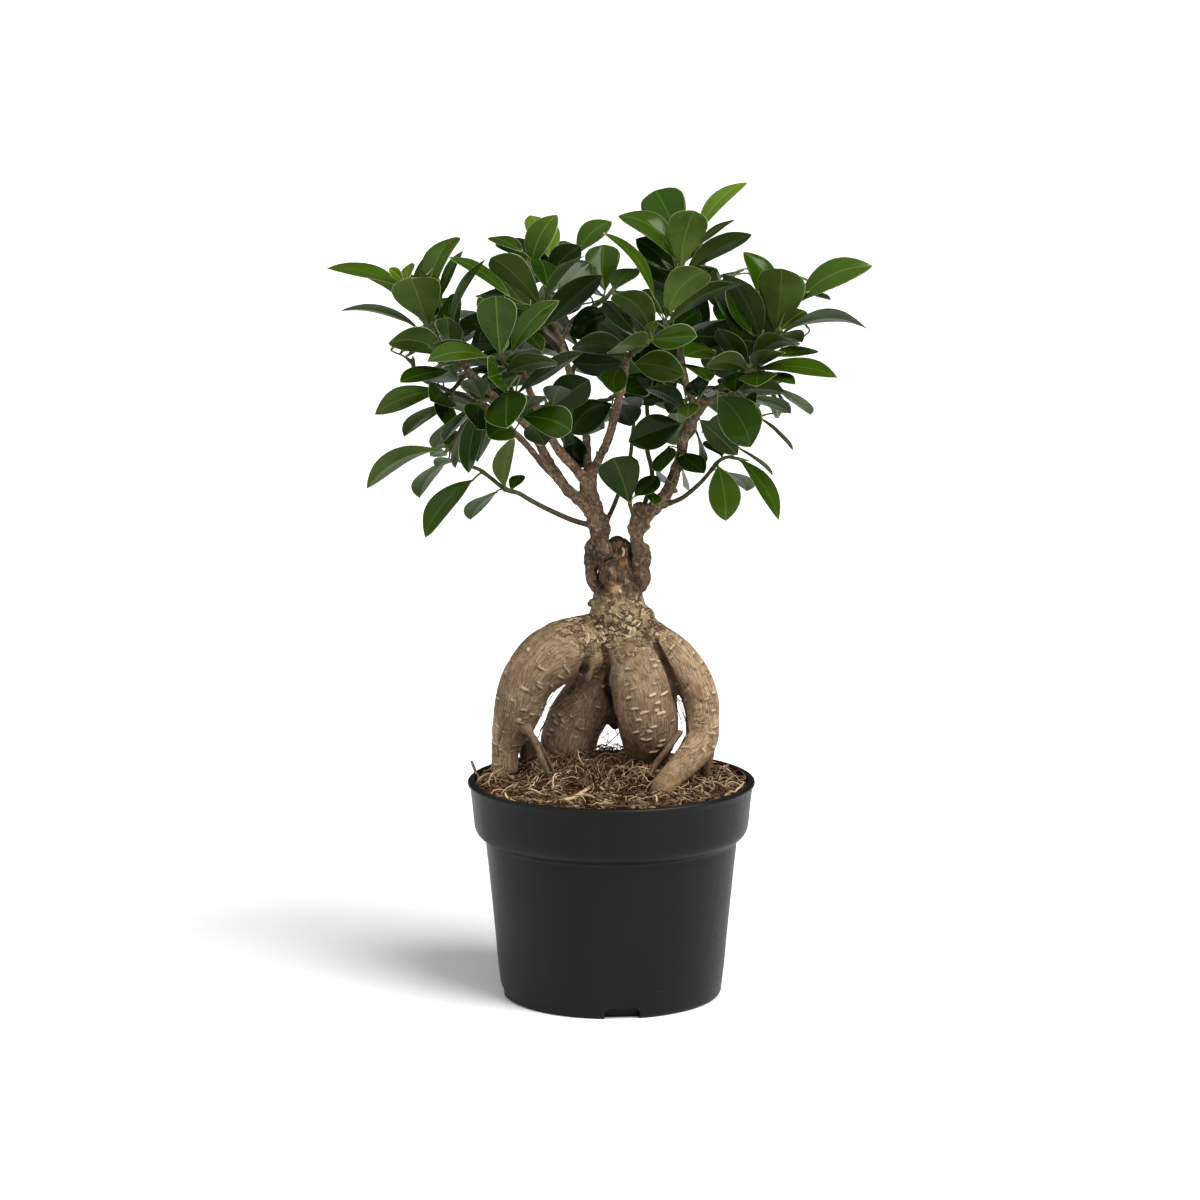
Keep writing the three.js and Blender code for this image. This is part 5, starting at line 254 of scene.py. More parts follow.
        [74.0,-17.7,335.4,64.3,-22.0,331.1,61.9,-47.8,323.9,0.958,-0.156,0.241,14.0,-0.33,-0.29,1.12,0,0.25],
    ]},
    "right_shoot_06": {"parent": "right_out_branch", "stem": [[61.1,-16.0,322.2,1.3],[59.3,-26.0,321.8,1.1],[58.5,-34.0,321.7,0.9]], "leaves": [
        [60.4,-20.9,322.0,62.0,-20.8,321.8,88.8,-16.8,320.3,-0.146,0.721,-0.677,15.3,0.23,0.48,1.45,0,0.32],
        [61.0,-16.3,322.2,87.0,0.0,320.4,104.1,19.3,304.6,-0.727,0.685,0.048,15.8,0.15,0.07,0.25,0,0.7],
        [61.1,-16.3,321.9,72.2,-8.0,316.2,92.9,3.5,307.0,-0.571,0.732,-0.371,14.0,0.38,0.38,1.34,0,0.35],
        [59.2,-30.0,321.6,53.8,-40.0,320.9,70.4,-46.2,295.7,0.841,0.089,0.533,22.5,2.53,-1.45,2.03,0,0.18],
        [59.2,-25.7,322.1,45.0,-28.0,307.2,64.6,-24.5,288.8,-0.679,0.32,-0.661,14.1,0.17,0.67,0.3,0,0.22],
        [60.9,-18.6,322.1,76.8,-24.0,307.7,93.3,-12.7,289.8,-0.48,0.871,0.105,10.0,0.5,0.21,0.59,2,0.4],
        [61.3,-16.3,322.3,68.9,-16.0,317.6,73.1,-37.8,317.1,0.697,0.119,0.707,9.0,-0.69,-0.15,0.71,0,0.5],
    ]},
    "right_shoot_07": {"parent": "right_branch", "stem": [[40.4,-10.0,302.9,1.2],[39.1,-20.0,309.3,1.05],[37.9,-28.0,314.4,0.9]], "leaves": [
        [39.9,-14.9,306.2,35.6,-15.7,303.6,8.9,-27.5,295.9,0.254,0.061,-0.965,18.1,-0.28,-0.11,1.11,0,0.3],
        [38.0,-26.4,313.1,39.8,-32.0,316.4,38.0,-46.5,311.0,0.985,-0.154,0.08,12.0,-0.09,-0.23,0.66,0,0.9],
        [38.4,-24.4,311.6,36.9,-24.6,312.9,17.4,-36.0,324.5,0.631,-0.649,0.425,14.0,0.95,0.71,2.31,0,0.14],
        [38.8,-24.0,311.7,36.3,-27.2,335.8,49.4,-49.4,330.0,0.835,0.531,-0.141,16.6,-0.1,-0.29,1.4,0,0.6],
        [38.4,-23.8,312.2,51.8,-18.0,342.0,36.9,-42.9,341.5,0.746,-0.435,-0.505,15.1,0.56,-0.35,1.13,0,0.6],
        [39.3,-20.1,309.3,44.7,-15.9,328.4,44.4,-32.3,320.0,0.886,-0.227,0.404,14.0,-0.39,-0.3,1.1,0,0.2],
        [39.2,-20.3,309.4,48.3,-19.0,320.5,54.3,10.9,314.0,-0.974,0.161,-0.161,10.0,-0.26,0.32,0.96,0,0.5],
        [39.6,-14.9,305.9,38.2,-15.0,313.9,29.2,-2.9,308.3,-0.81,-0.409,0.42,14.6,0.16,0.39,1.19,0,0.4],
    ]},
    "right_shoot_08": {"parent": "right_branch", "stem": [[27.2,-4.0,260.0,1.3],[36.5,-6.0,264.0,1.23],[45.2,-8.0,271.5,1.16],[50.3,-9.0,277.4,1.09],[55.4,-10.0,283.8,1.01],[60.0,-11.0,286.0,0.94],[63.0,-12.0,285.6,0.87],[65.6,-12.0,285.1,0.8]], "leaves": [
        [54.4,-9.5,282.5,54.8,-12.7,281.5,58.8,-19.3,253.9,0.99,0.047,0.134,17.0,1.15,-1.26,0.47,0,0.42],
        [51.4,-9.6,279.0,59.6,-6.8,277.6,71.0,18.2,264.2,-0.888,0.451,0.088,15.9,1.31,0.27,1.61,0,0.5],
        [65.5,-12.3,284.8,65.6,-12.0,285.1,86.7,-16.4,254.0,0.412,0.898,0.154,19.7,2.14,-1.04,1.6,0,0.32],
        [62.0,-11.5,285.8,66.3,-6.0,290.0,84.1,9.2,273.9,-0.583,0.805,0.115,10.0,0.44,0.22,0.7,2,0.6],
        [52.8,-9.2,281.1,57.3,3.4,284.6,52.9,29.9,289.6,-0.987,-0.163,-0.017,14.0,-0.15,-0.29,0.97,0,0.25],
        [30.2,-4.7,261.2,21.8,-17.9,262.0,19.9,-6.3,268.2,-0.864,-0.339,0.373,11.0,0.3,-0.16,0.16,0,0.55],
    ]},
    "right_shoot_09": {"parent": "right_stem", "stem": [[12.2,-6.0,251.9,1.1],[10.6,-11.0,257.4,1.0],[9.5,-14.0,262.0,0.9],[10.0,-14.0,265.1,0.8]], "leaves": [
        [9.7,-13.8,262.0,9.0,-17.0,263.4,0.7,-20.6,287.2,0.946,-0.077,0.316,21.9,0.66,0.65,0.33,1,0.2],
        [9.4,-14.3,261.9,12.0,-20.0,267.0,23.9,-11.5,276.2,-0.692,0.664,0.281,14.0,0.45,-0.06,-0.53,0,0.2],
    ]},
    "right_shoot_10": {"parent": "right_branch", "stem": [[36.3,-8.0,289.2,1.0],[37.2,-14.0,289.0,0.9],[36.1,-18.0,288.4,0.8]], "leaves": [
        [36.6,-7.8,289.2,29.1,-8.0,290.8,24.6,-33.2,281.7,0.871,-0.296,0.391,14.1,0.44,-0.04,-0.12,0,0.5],
        [36.5,-9.9,289.1,33.7,-12.0,288.7,47.2,-28.1,280.0,0.804,0.497,0.326,14.0,-0.06,-0.07,0.03,0,0.3],
        [36.3,-8.3,288.9,44.2,-0.5,297.6,46.2,13.5,280.1,-0.279,0.765,0.581,16.2,1.22,0.34,0.59,0,0.5],
        [37.6,-13.9,288.8,35.7,-15.6,281.9,38.6,43.6,263.3,-0.298,0.299,0.907,15.2,0.83,0.43,0.92,0,0.7],
        [37.2,-13.7,289.2,30.5,-19.0,274.1,25.6,27.4,268.8,-0.783,-0.012,0.622,14.0,0.66,0.23,0.74,0,0.4],
    ]},
    "right_shoot_11": {"parent": "right_back_branch", "stem": [[58.8,58.0,320.8,1.4],[59.6,50.0,329.6,1.27],[60.3,42.0,338.4,1.13],[61.1,34.0,347.1,1.0]], "leaves": [
        [58.6,57.9,320.9,67.2,58.1,322.3,55.6,56.8,342.2,-0.865,-0.011,-0.502,14.0,0.33,-0.84,0.54,0,0.12],
        [59.9,44.0,336.2,71.6,30.9,329.2,61.9,27.1,354.3,0.62,-0.775,0.125,16.2,0.89,0.78,0.76,0,0.25],
        [60.6,41.9,338.1,60.4,39.8,335.1,49.4,28.5,350.2,0.806,-0.57,0.16,14.6,0.03,0.79,0.99,0,0.15],
        [59.1,56.2,322.8,62.9,57.3,328.9,71.5,69.5,343.8,-0.903,0.15,0.402,14.0,-0.05,-0.71,0.61,0,0.12],
        [61.4,34.0,347.1,61.0,30.4,346.3,59.1,66.9,360.0,-0.993,-0.084,0.088,14.0,0.4,-0.6,0.71,0,0.15],
        [60.3,45.9,333.8,59.2,40.4,331.5,46.5,30.3,337.0,0.658,-0.558,0.505,15.2,-0.71,0.62,0.92,0,0.18],
        [60.3,44.2,336.0,63.6,45.1,338.0,77.5,52.2,337.3,-0.238,0.386,-0.891,14.0,-0.76,0.59,0.63,0,0.2],
    ]},
    "left_shoot_14": {"parent": "left_stem", "stem": [[-2.8,3.0,250.1,1.3],[-0.2,6.0,254.9,1.24],[2.9,8.0,262.0,1.19],[6.6,10.0,272.2,1.13],[9.7,13.0,282.3,1.07],[10.8,16.0,291.4,1.01],[11.8,18.0,301.6,0.96],[12.8,18.0,309.5,0.9]], "leaves": [
        [12.3,18.4,303.8,11.8,22.0,305.3,0.4,43.1,298.6,-0.867,-0.357,0.348,14.0,0.22,0.44,1.01,0,0.5],
        [12.7,17.7,309.4,13.3,16.0,310.2,22.8,21.3,315.9,-0.631,0.427,0.648,14.0,0.23,-0.34,0.8,0,0.3],
        [12.5,17.7,307.3,12.9,21.4,309.6,8.3,45.3,316.4,-0.975,-0.207,0.075,14.0,-0.08,-0.34,0.97,0,0.3],
        [12.9,18.2,307.4,12.9,22.8,309.4,15.0,32.7,325.2,-0.987,0.157,0.037,16.5,-0.6,-0.52,1.18,0,0.25],
    ]},
    "right_shoot_12": {"parent": "right_stem", "stem": [[12.8,4.0,247.8,1.4],[18.0,10.0,260.6,1.34],[21.2,14.0,273.8,1.29],[18.6,18.0,286.9,1.23],[19.2,22.0,298.5,1.17],[18.7,26.0,308.6,1.11],[20.3,30.0,317.0,1.06],[21.3,34.0,325.0,1.0]], "leaves": [
        [20.1,29.2,315.0,20.2,26.0,315.4,15.5,73.5,320.7,-0.994,-0.103,0.033,14.1,-0.04,-0.36,1.16,0,0.3],
        [18.8,26.7,310.7,19.3,33.5,310.3,30.2,59.3,310.0,-0.71,0.309,0.632,14.5,0.73,-0.3,0.97,0,0.5],
        [20.8,31.7,320.7,21.4,36.9,321.5,30.3,65.9,326.9,-0.946,0.252,0.204,14.0,0.39,-0.42,0.9,0,0.25],
        [21.7,34.1,324.8,21.3,33.5,324.0,23.2,53.6,339.9,-0.909,0.306,-0.283,14.0,-0.47,-0.63,0.85,0,0.2],
        [21.0,33.3,323.3,21.4,37.5,322.5,14.2,59.1,334.0,-0.954,-0.299,-0.033,14.6,-0.05,-0.53,1.14,0,0.2],
    ]},
    "left_shoot_15": {"parent": "left_back_branch", "stem": [[-70.5,50.0,308.4,1.5],[-74.1,57.8,310.7,1.4],[-76.8,66.1,311.9,1.3],[-79.1,74.3,313.0,1.2],[-81.4,81.8,314.7,1.1],[-83.9,88.0,318.0,1.0]], "leaves": [
        [-73.0,56.0,310.2,-68.9,57.3,314.1,-28.5,48.1,327.1,0.363,0.64,-0.678,23.1,-0.1,1.61,1.46,0,0.2],
        [-75.7,61.6,311.3,-71.6,66.5,315.0,-31.3,82.1,327.1,-0.236,0.899,-0.37,23.8,-0.83,0.6,1.99,0,0.38],
        [-77.7,70.3,312.3,-73.1,69.6,319.3,-39.6,45.4,337.0,0.599,0.8,-0.036,23.9,-0.67,0.59,2.07,0,0.29],
        [-79.2,74.6,313.3,-80.7,82.4,314.9,-83.6,119.6,314.2,-0.988,-0.076,0.131,19.8,0.24,0.06,1.85,1,0.26],
        [-80.5,79.9,314.2,-83.0,84.1,319.0,-96.6,104.4,350.8,0.924,0.019,0.383,21.2,0.36,1.73,-0.95,0,0.34],
        [-81.9,83.1,315.5,-81.4,89.1,318.7,-70.0,117.3,331.6,-0.488,0.517,-0.703,17.5,-1.32,0.08,0.98,0,0.43],
        [-84.1,88.3,317.7,-88.0,94.8,321.4,-108.1,123.4,330.9,-0.602,-0.598,0.53,19.2,1.04,0.25,1.46,0,0.17],
    ]},
    "left_shoot_16": {"parent": "left_back_branch", "stem": [[-63.0,42.4,302.6,1.5],[-74.2,47.3,308.3,1.4],[-86.1,50.7,313.2,1.3],[-97.8,53.3,318.0,1.2],[-104.2,60.0,322.2,1.1],[-105.5,66.0,327.4,1.0]], "leaves": [
        [-88.9,51.6,314.4,-87.4,45.4,320.0,-62.8,15.1,326.9,0.757,0.642,0.121,21.0,-0.4,0.11,1.94,0,0.56],
        [-92.2,51.8,315.5,-88.2,58.0,321.6,-57.3,76.0,328.5,-0.326,0.772,-0.546,19.3,-0.76,0.73,1.49,1,0.3],
        [-97.9,53.0,317.7,-94.4,49.8,325.2,-56.9,27.5,339.8,0.407,0.869,0.282,24.4,-0.95,-0.23,2.08,0,0.34],
        [-100.3,54.0,319.1,-98.1,58.5,322.9,-66.7,80.4,326.9,-0.491,0.778,-0.393,20.4,-0.59,0.52,1.76,0,0.3],
        [-104.4,61.7,323.8,-107.7,53.2,331.9,-73.6,35.0,345.2,0.504,0.855,-0.12,21.7,-0.46,0.54,1.92,0,0.28],
        [-104.9,63.6,325.6,-111.8,64.2,332.3,-90.9,88.6,339.9,-0.74,0.665,-0.098,17.5,-0.37,-0.18,1.6,0,0.36],
        [-105.7,66.3,327.1,-116.6,63.2,334.4,-94.5,86.7,343.5,-0.728,0.685,0.002,17.8,-0.31,-0.33,1.61,0,0.27],
    ]},
    "left_shoot_17": {"parent": "left_back_branch", "stem": [[-55.3,34.8,296.7,1.5],[-57.8,46.7,297.6,1.4],[-58.2,58.9,296.1,1.3],[-57.5,71.0,294.1,1.2],[-57.0,82.2,293.4,1.1],[-57.9,92.0,296.0,1.0]], "leaves": [
        [-58.0,59.1,296.1,-52.8,61.7,297.1,-10.9,60.1,294.2,-0.027,0.666,-0.746,22.3,0.16,1.57,1.39,0,0.32],
        [-58.0,64.7,294.9,-63.2,71.3,297.7,-93.8,90.5,304.3,-0.254,-0.654,0.713,19.5,0.9,1.01,1.25,0,0.08],
        [-57.8,67.7,294.2,-50.2,72.1,296.4,-12.7,71.9,295.8,-0.007,0.661,-0.751,19.9,0.03,1.41,1.24,1,0.25],
        [-57.0,74.0,293.5,-59.6,80.1,293.5,-76.5,113.7,281.6,-0.804,-0.209,0.556,20.9,0.81,0.95,1.53,0,0.4],
        [-57.2,77.0,293.7,-58.2,83.3,297.3,-63.6,112.9,316.5,0.969,0.233,-0.085,18.9,-0.35,0.91,-1.5,1,0.35],
        [-56.8,82.1,293.4,-54.2,89.6,294.8,-32.9,120.0,294.3,-0.797,0.555,-0.236,20.1,-0.34,0.27,1.8,1,0.25],
        [-57.3,86.9,294.5,-59.7,94.2,295.2,-73.3,124.0,291.3,-0.822,-0.315,0.475,16.7,0.65,0.48,1.44,1,0.42],
        [-58.1,92.3,295.7,-58.7,100.9,300.1,-61.3,133.0,314.5,0.955,0.181,-0.234,18.3,-0.51,0.66,-1.56,0,0.34],
    ]},
    "left_shoot_18": {"parent": "left_back_branch", "stem": [[-65.5,44.9,304.5,1.5],[-71.4,50.5,313.6,1.4],[-76.6,55.1,323.3,1.3],[-81.2,59.0,333.2,1.2],[-85.5,62.6,342.9,1.1],[-89.9,66.0,352.0,1.0]], "leaves": [
        [-76.4,55.3,323.3,-74.1,49.1,328.6,-53.2,14.5,329.6,0.854,0.513,-0.089,21.4,0.13,0.14,2.01,1,0.2],
        [-77.9,55.8,325.7,-76.0,57.8,331.6,-51.0,65.2,359.3,0.385,0.743,-0.547,20.2,-1.23,1.22,0.79,1,0.24],
        [-80.1,57.8,330.4,-85.4,64.2,333.9,-108.6,94.6,330.6,-0.78,-0.61,-0.139,20.3,-0.31,-0.03,1.89,1,0.24],
        [-81.9,60.0,335.5,-86.4,62.0,341.8,-114.9,73.4,373.4,-0.522,-0.836,-0.169,23.4,1.23,-1.07,1.49,0,0.27],
        [-84.5,62.0,340.8,-86.6,66.3,344.5,-97.1,100.7,357.3,-0.939,-0.176,-0.296,20.2,-0.4,-0.75,1.7,0,0.19],
        [-85.3,62.5,342.9,-89.6,65.5,348.2,-118.0,85.2,372.4,-0.658,-0.732,-0.176,22.4,0.72,-1.05,1.69,1,0.29],
        [-87.6,64.0,347.5,-89.4,65.2,353.4,-96.2,67.2,386.9,0.447,0.894,0.04,18.1,-1.49,0.76,-0.35,0,0.23],
        [-90.1,66.3,351.7,-92.5,70.8,355.4,-105.7,105.4,362.6,-0.865,-0.239,-0.442,20.0,-0.68,-0.61,1.65,0,0.17],
    ]},
    "left_shoot_19": {"parent": "mid_back_branch", "stem": [[-31.1,40.0,352.8,1.5],[-32.5,43.6,358.8,1.4],[-33.5,48.2,364.0,1.3],[-34.2,53.2,368.7,1.2],[-34.9,58.0,373.3,1.1],[-35.9,62.0,378.0,1.0]], "leaves": [
        [-32.0,42.6,357.5,-29.7,46.5,361.1,1.8,72.1,376.5,-0.56,0.805,-0.197,22.8,-0.87,-0.12,1.97,1,0.4],
        [-31.9,42.9,357.7,-39.0,47.2,356.4,-67.6,56.7,334.1,-0.644,-0.386,0.661,19.9,-0.11,1.66,0.86,1,0.4],
        [-32.9,44.8,360.1,-37.5,40.8,363.9,-58.4,7.2,363.4,0.818,-0.505,-0.276,21.0,0.45,-0.31,1.9,0,0.3],
        [-33.3,48.3,364.2,-32.5,56.6,364.9,-22.9,92.7,350.5,-0.97,0.204,-0.133,21.1,-0.09,0.76,1.84,1,0.27],
        [-33.8,51.8,367.7,-40.7,48.0,373.3,-64.6,16.8,377.3,0.77,-0.55,0.322,21.0,-0.39,0.54,1.86,0,0.55],
        [-34.2,55.6,371.1,-35.0,62.4,375.7,-36.7,99.6,390.3,-0.87,0.145,-0.471,20.5,-0.98,-0.67,1.59,1,0.2],
        [-34.9,58.2,373.1,-37.9,66.7,374.8,-48.2,95.9,364.3,-0.941,-0.249,0.229,17.5,0.21,0.6,1.52,0,0.33],
    ]},
    "left_shoot_20": {"parent": "mid_back_branch", "stem": [[-24.2,37.9,331.8,1.5],[-31.2,49.1,338.6,1.4],[-38.5,61.9,341.5,1.3],[-45.6,75.1,342.8,1.2],[-52.2,87.5,344.9,1.1],[-57.9,98.0,350.0,1.0]], "leaves": [
        [-41.8,68.8,342.2,-44.5,77.0,340.9,-50.2,112.6,319.2,-0.99,-0.135,0.04,23.4,-0.07,1.09,1.8,1,0.24],
        [-45.7,74.8,342.7,-51.3,81.2,344.9,-85.5,109.1,346.5,-0.596,-0.746,0.296,22.2,0.47,0.46,2.11,1,0.36],
        [-47.3,78.0,342.9,-46.1,84.8,347.5,-26.2,115.8,366.5,-0.27,0.623,-0.734,23.5,-1.73,0.47,1.04,1,0.32],
        [-48.6,81.6,343.4,-51.6,89.5,341.8,-58.1,119.3,319.9,-0.977,-0.062,0.204,19.9,0.23,1.14,1.47,0,0.33],
        [-52.2,87.9,345.1,-52.3,91.7,350.5,-41.9,109.5,386.7,0.336,0.804,-0.491,22.1,-1.89,0.86,0.12,0,0.08],
        [-53.4,90.2,345.9,-54.3,98.4,347.7,-48.8,138.7,346.8,-0.776,0.092,-0.624,20.2,-1.25,0.21,1.59,0,0.33],
        [-56.4,95.1,348.7,-61.3,99.8,347.7,-84.5,114.6,331.5,-0.623,-0.756,0.202,17.6,-0.46,0.74,1.34,1,0.31],
        [-58.1,98.3,349.7,-57.5,104.9,356.3,-45.3,129.6,381.9,-0.222,0.752,-0.621,19.2,-1.73,0.1,0.73,0,0.19],
    ]},
    "left_shoot_21": {"parent": "mid_back_branch", "stem": [[-20.3,33.9,318.9,1.5],[-20.4,47.8,324.1,1.4],[-19.0,62.8,325.3,1.3],[-17.0,77.8,325.0,1.2],[-15.0,91.9,325.7,1.1],[-13.9,104.0,330.0,1.0]], "leaves": [
        [-17.8,70.6,325.2,-21.7,71.6,330.2,-52.2,57.9,356.6,0.667,-0.059,0.743,22.6,-0.43,2.01,0.55,1,0.16],
        [-17.1,77.5,324.9,-11.9,83.4,324.7,22.5,102.3,310.6,-0.49,0.276,-0.827,22.1,-0.59,1.77,0.94,0,0.37],
        [-16.5,81.1,324.7,-18.7,89.1,326.6,-37.0,123.9,326.0,-0.786,-0.405,0.467,20.8,0.8,0.45,1.74,1,0.29],
        [-15.6,85.1,324.9,-10.6,90.1,330.6,23.5,100.9,354.3,0.509,0.223,-0.832,22.7,-0.71,2.02,0.11,0,0.5],
        [-15.0,92.2,326.0,-13.4,100.9,325.6,-4.6,140.5,312.1,-0.921,0.076,-0.382,24.4,-0.71,0.79,1.86,0,0.43],
        [-14.4,95.0,326.5,-17.5,102.2,331.2,-40.0,131.2,351.9,0.087,-0.532,0.842,21.3,1.77,1.04,0.47,1,0.3],
        [-14.0,100.7,328.9,-12.2,109.7,331.7,-2.2,143.1,337.9,-0.656,0.324,-0.682,18.8,-1.24,0.14,1.26,0,0.24],
        [-14.1,104.3,329.7,-12.9,111.5,330.0,-7.7,143.5,319.7,-0.945,0.051,-0.323,18.2,-0.49,0.57,1.53,0,0.19],
    ]},
    "left_shoot_22": {"parent": "mid_back_branch", "stem": [[-26.7,39.8,340.3,1.5],[-22.7,48.0,348.2,1.4],[-16.3,57.3,353.1,1.3],[-9.2,66.9,356.6,1.2],[-2.5,76.0,360.4,1.1],[2.1,84.0,366.0,1.0]], "leaves": [
        [-16.1,57.5,353.1,-10.0,56.0,354.5,21.2,31.7,347.8,0.382,0.667,-0.64,20.1,1.0,0.87,1.5,0,0.13],
        [-12.9,61.8,354.9,-5.9,69.3,354.4,23.5,93.3,335.0,-0.704,0.671,-0.234,22.6,0.37,1.03,1.83,1,0.39],
        [-9.2,66.5,356.3,-11.0,71.6,361.1,-33.9,92.3,380.0,0.213,-0.52,0.827,19.2,1.35,1.15,0.37,1,0.32],
        [-7.1,69.3,357.3,-0.1,72.0,358.4,38.6,74.6,348.6,-0.128,0.959,-0.253,21.2,0.44,0.55,1.87,0,0.3],
        [-4.1,74.1,359.6,-4.9,79.5,361.6,-21.9,114.9,366.0,-0.585,-0.369,0.722,20.3,1.36,0.48,1.35,0,0.21],
        [-2.3,75.9,360.4,1.3,81.6,363.7,27.7,117.0,376.5,-0.564,0.619,-0.547,24.4,-1.37,0.36,1.81,1,0.55],
        [0.0,79.8,363.1,2.4,86.3,363.2,12.3,115.5,351.5,-0.945,0.327,0.017,17.5,0.22,0.55,1.54,1,0.5],
        [1.9,84.3,365.7,1.7,90.4,368.9,-9.0,121.6,375.5,-0.791,-0.374,0.483,17.8,0.88,-0.0,1.43,0,0.36],
        [-22.5,48.3,348.0,-21.7,40.0,343.9,-2.3,26.0,356.2,-0.18,0.499,0.848,18.0,-1.26,-1.31,0.5,0,0.15],
    ]},
    "right_shoot_13": {"parent": "right_back_branch", "stem": [[58.9,60.0,320.6,1.5],[58.9,67.9,324.1,1.4],[58.0,75.7,327.1,1.3],[56.7,83.3,330.2,1.2],[55.9,90.1,333.7,1.1],[56.1,96.0,338.0,1.0]], "leaves": [
        [59.2,66.1,323.2,52.8,67.9,329.7,16.7,60.4,347.9,0.43,-0.702,0.567,22.2,0.43,1.42,1.43,0,0.31],
        [58.6,69.5,324.8,63.3,74.6,332.3,88.2,84.4,356.7,0.315,0.726,-0.611,19.2,-1.18,1.15,0.75,0,0.12],
        [58.2,73.5,326.1,54.2,79.3,330.6,26.0,100.0,342.5,-0.478,-0.825,0.301,19.6,0.8,0.14,1.66,1,0.3],
        [57.7,79.7,328.5,59.7,83.4,333.0,82.1,102.5,358.2,0.044,0.777,-0.629,20.5,-1.58,0.76,0.83,0,0.59],
        [56.7,83.6,330.5,58.3,92.2,330.3,65.9,124.4,315.9,-0.766,-0.103,-0.634,19.1,-1.1,0.79,1.19,0,0.18],
        [56.5,86.7,331.9,53.7,92.2,335.9,29.0,123.2,354.5,-0.338,-0.668,0.663,23.8,1.65,0.5,1.35,1,0.45],
        [56.0,91.4,334.7,59.0,96.4,339.3,82.8,116.2,358.9,0.274,0.488,-0.829,18.4,-1.3,1.25,0.31,0,0.16],
        [55.9,96.3,337.7,56.8,105.6,340.1,59.7,138.3,336.4,-0.996,0.084,-0.034,17.5,-0.04,0.19,1.64,1,0.44],
    ]},
    "right_shoot_14": {"parent": "right_back_branch", "stem": [[55.1,48.4,314.6,1.5],[51.7,61.1,313.3,1.4],[45.9,72.7,308.8,1.3],[39.3,83.5,303.8,1.2],[33.5,93.8,300.7,1.1],[30.1,104.0,302.0,1.0]], "leaves": [
        [44.5,75.7,307.6,37.8,79.2,313.9,9.1,78.0,340.6,0.677,-0.165,0.718,21.8,0.18,1.93,0.28,0,0.35],
        [42.4,77.9,306.2,46.5,84.4,306.5,81.6,107.4,300.2,-0.137,-0.06,-0.989,22.5,-1.16,1.78,0.05,1,0.09],
        [39.2,83.2,303.5,35.6,91.6,304.6,18.6,123.0,302.9,-0.293,-0.107,0.95,19.0,1.48,0.83,0.55,0,0.18],
        [38.1,86.2,302.6,34.7,92.3,308.4,19.5,115.6,343.3,0.89,-0.089,0.448,23.6,0.68,1.9,-0.97,1,0.34],
        [34.7,91.6,301.4,34.6,100.6,298.4,40.6,135.7,274.6,-0.915,-0.109,-0.39,21.3,-0.81,1.21,1.57,1,0.36],
        [33.7,93.8,300.7,29.9,98.2,303.5,1.1,120.0,323.3,0.499,-0.12,0.858,21.9,1.05,1.73,-0.37,0,0.26],
        [31.7,98.6,301.1,31.7,105.9,304.6,38.1,133.5,321.6,0.306,0.445,-0.841,17.5,-1.54,0.53,-0.28,0,0.43],
        [29.9,104.3,301.7,24.6,109.6,301.0,-5.6,127.3,287.1,-0.558,-0.811,0.178,20.0,-0.4,0.65,1.72,1,0.42],
    ]},
    "right_shoot_15": {"parent": "right_back_branch", "stem": [[57.2,54.7,317.8,1.5],[63.7,60.4,318.1,1.4],[71.0,65.1,316.7,1.3],[78.6,69.0,315.0,1.2],[85.8,72.5,314.3,1.1],[92.1,76.0,316.0,1.0]], "leaves": [
        [62.2,59.3,318.2,62.0,62.9,324.7,42.4,76.0,354.9,-0.304,-0.93,0.204,20.3,1.54,-0.26,1.11,0,0.39],
        [67.1,62.6,317.5,72.3,57.4,320.5,79.1,18.2,325.7,0.458,-0.038,-0.888,21.1,1.75,0.42,0.88,0,0.31],
        [71.0,64.8,316.4,74.5,71.0,320.4,81.1,103.5,337.1,-0.203,-0.415,0.887,19.7,1.79,-0.46,0.19,0,0.4],
        [75.2,67.2,315.7,79.1,70.2,322.3,89.1,79.9,354.7,0.415,-0.899,0.142,18.7,1.53,0.6,-0.65,1,0.45],
        [87.6,73.1,314.6,84.2,79.1,317.2,51.9,95.7,320.3,-0.4,-0.845,0.354,19.3,0.43,0.51,1.7,0,0.32],
    ]},
    "right_shoot_16": {"parent": "right_up_branch", "stem": [[34.4,8.5,352.8,1.5],[33.7,18.2,361.2,1.4],[32.6,29.6,366.8,1.3],[31.6,41.6,371.1,1.2],[31.3,52.8,375.7,1.1],[32.1,62.0,382.0,1.0]], "leaves": [
        [32.5,32.8,367.9,28.6,39.5,367.2,5.5,63.0,347.1,-0.799,-0.417,0.434,20.2,0.09,1.3,1.42,0,0.2],
        [31.9,35.3,368.9,32.4,40.2,374.0,33.4,64.2,403.6,0.995,-0.093,0.042,20.2,0.19,1.47,-1.2,1,0.38],
        [31.6,41.3,370.8,34.3,50.5,371.7,49.2,87.9,357.8,-0.825,0.125,-0.552,23.5,-0.95,0.98,1.64,0,0.2],
        [31.8,44.6,372.0,33.1,52.6,374.5,43.1,91.3,373.8,-0.967,0.247,-0.065,21.2,-0.12,0.07,2.0,0,0.09],
        [31.2,50.5,374.7,35.4,56.4,378.6,65.1,84.0,391.9,-0.609,0.762,-0.219,22.6,-0.81,-0.08,1.97,0,0.31],
        [31.5,52.8,375.7,30.9,59.8,375.6,26.2,97.9,356.9,-0.923,0.07,0.378,22.6,0.79,0.95,1.74,0,0.23],
        [31.7,57.2,378.8,30.8,61.1,384.2,22.6,74.0,414.9,0.779,-0.476,0.409,18.9,1.0,1.36,-0.31,0,0.39],
        [31.9,62.3,381.7,34.5,69.1,386.2,48.4,99.4,398.4,-0.316,0.476,-0.82,18.8,-1.53,0.38,0.81,1,0.21],
    ]},
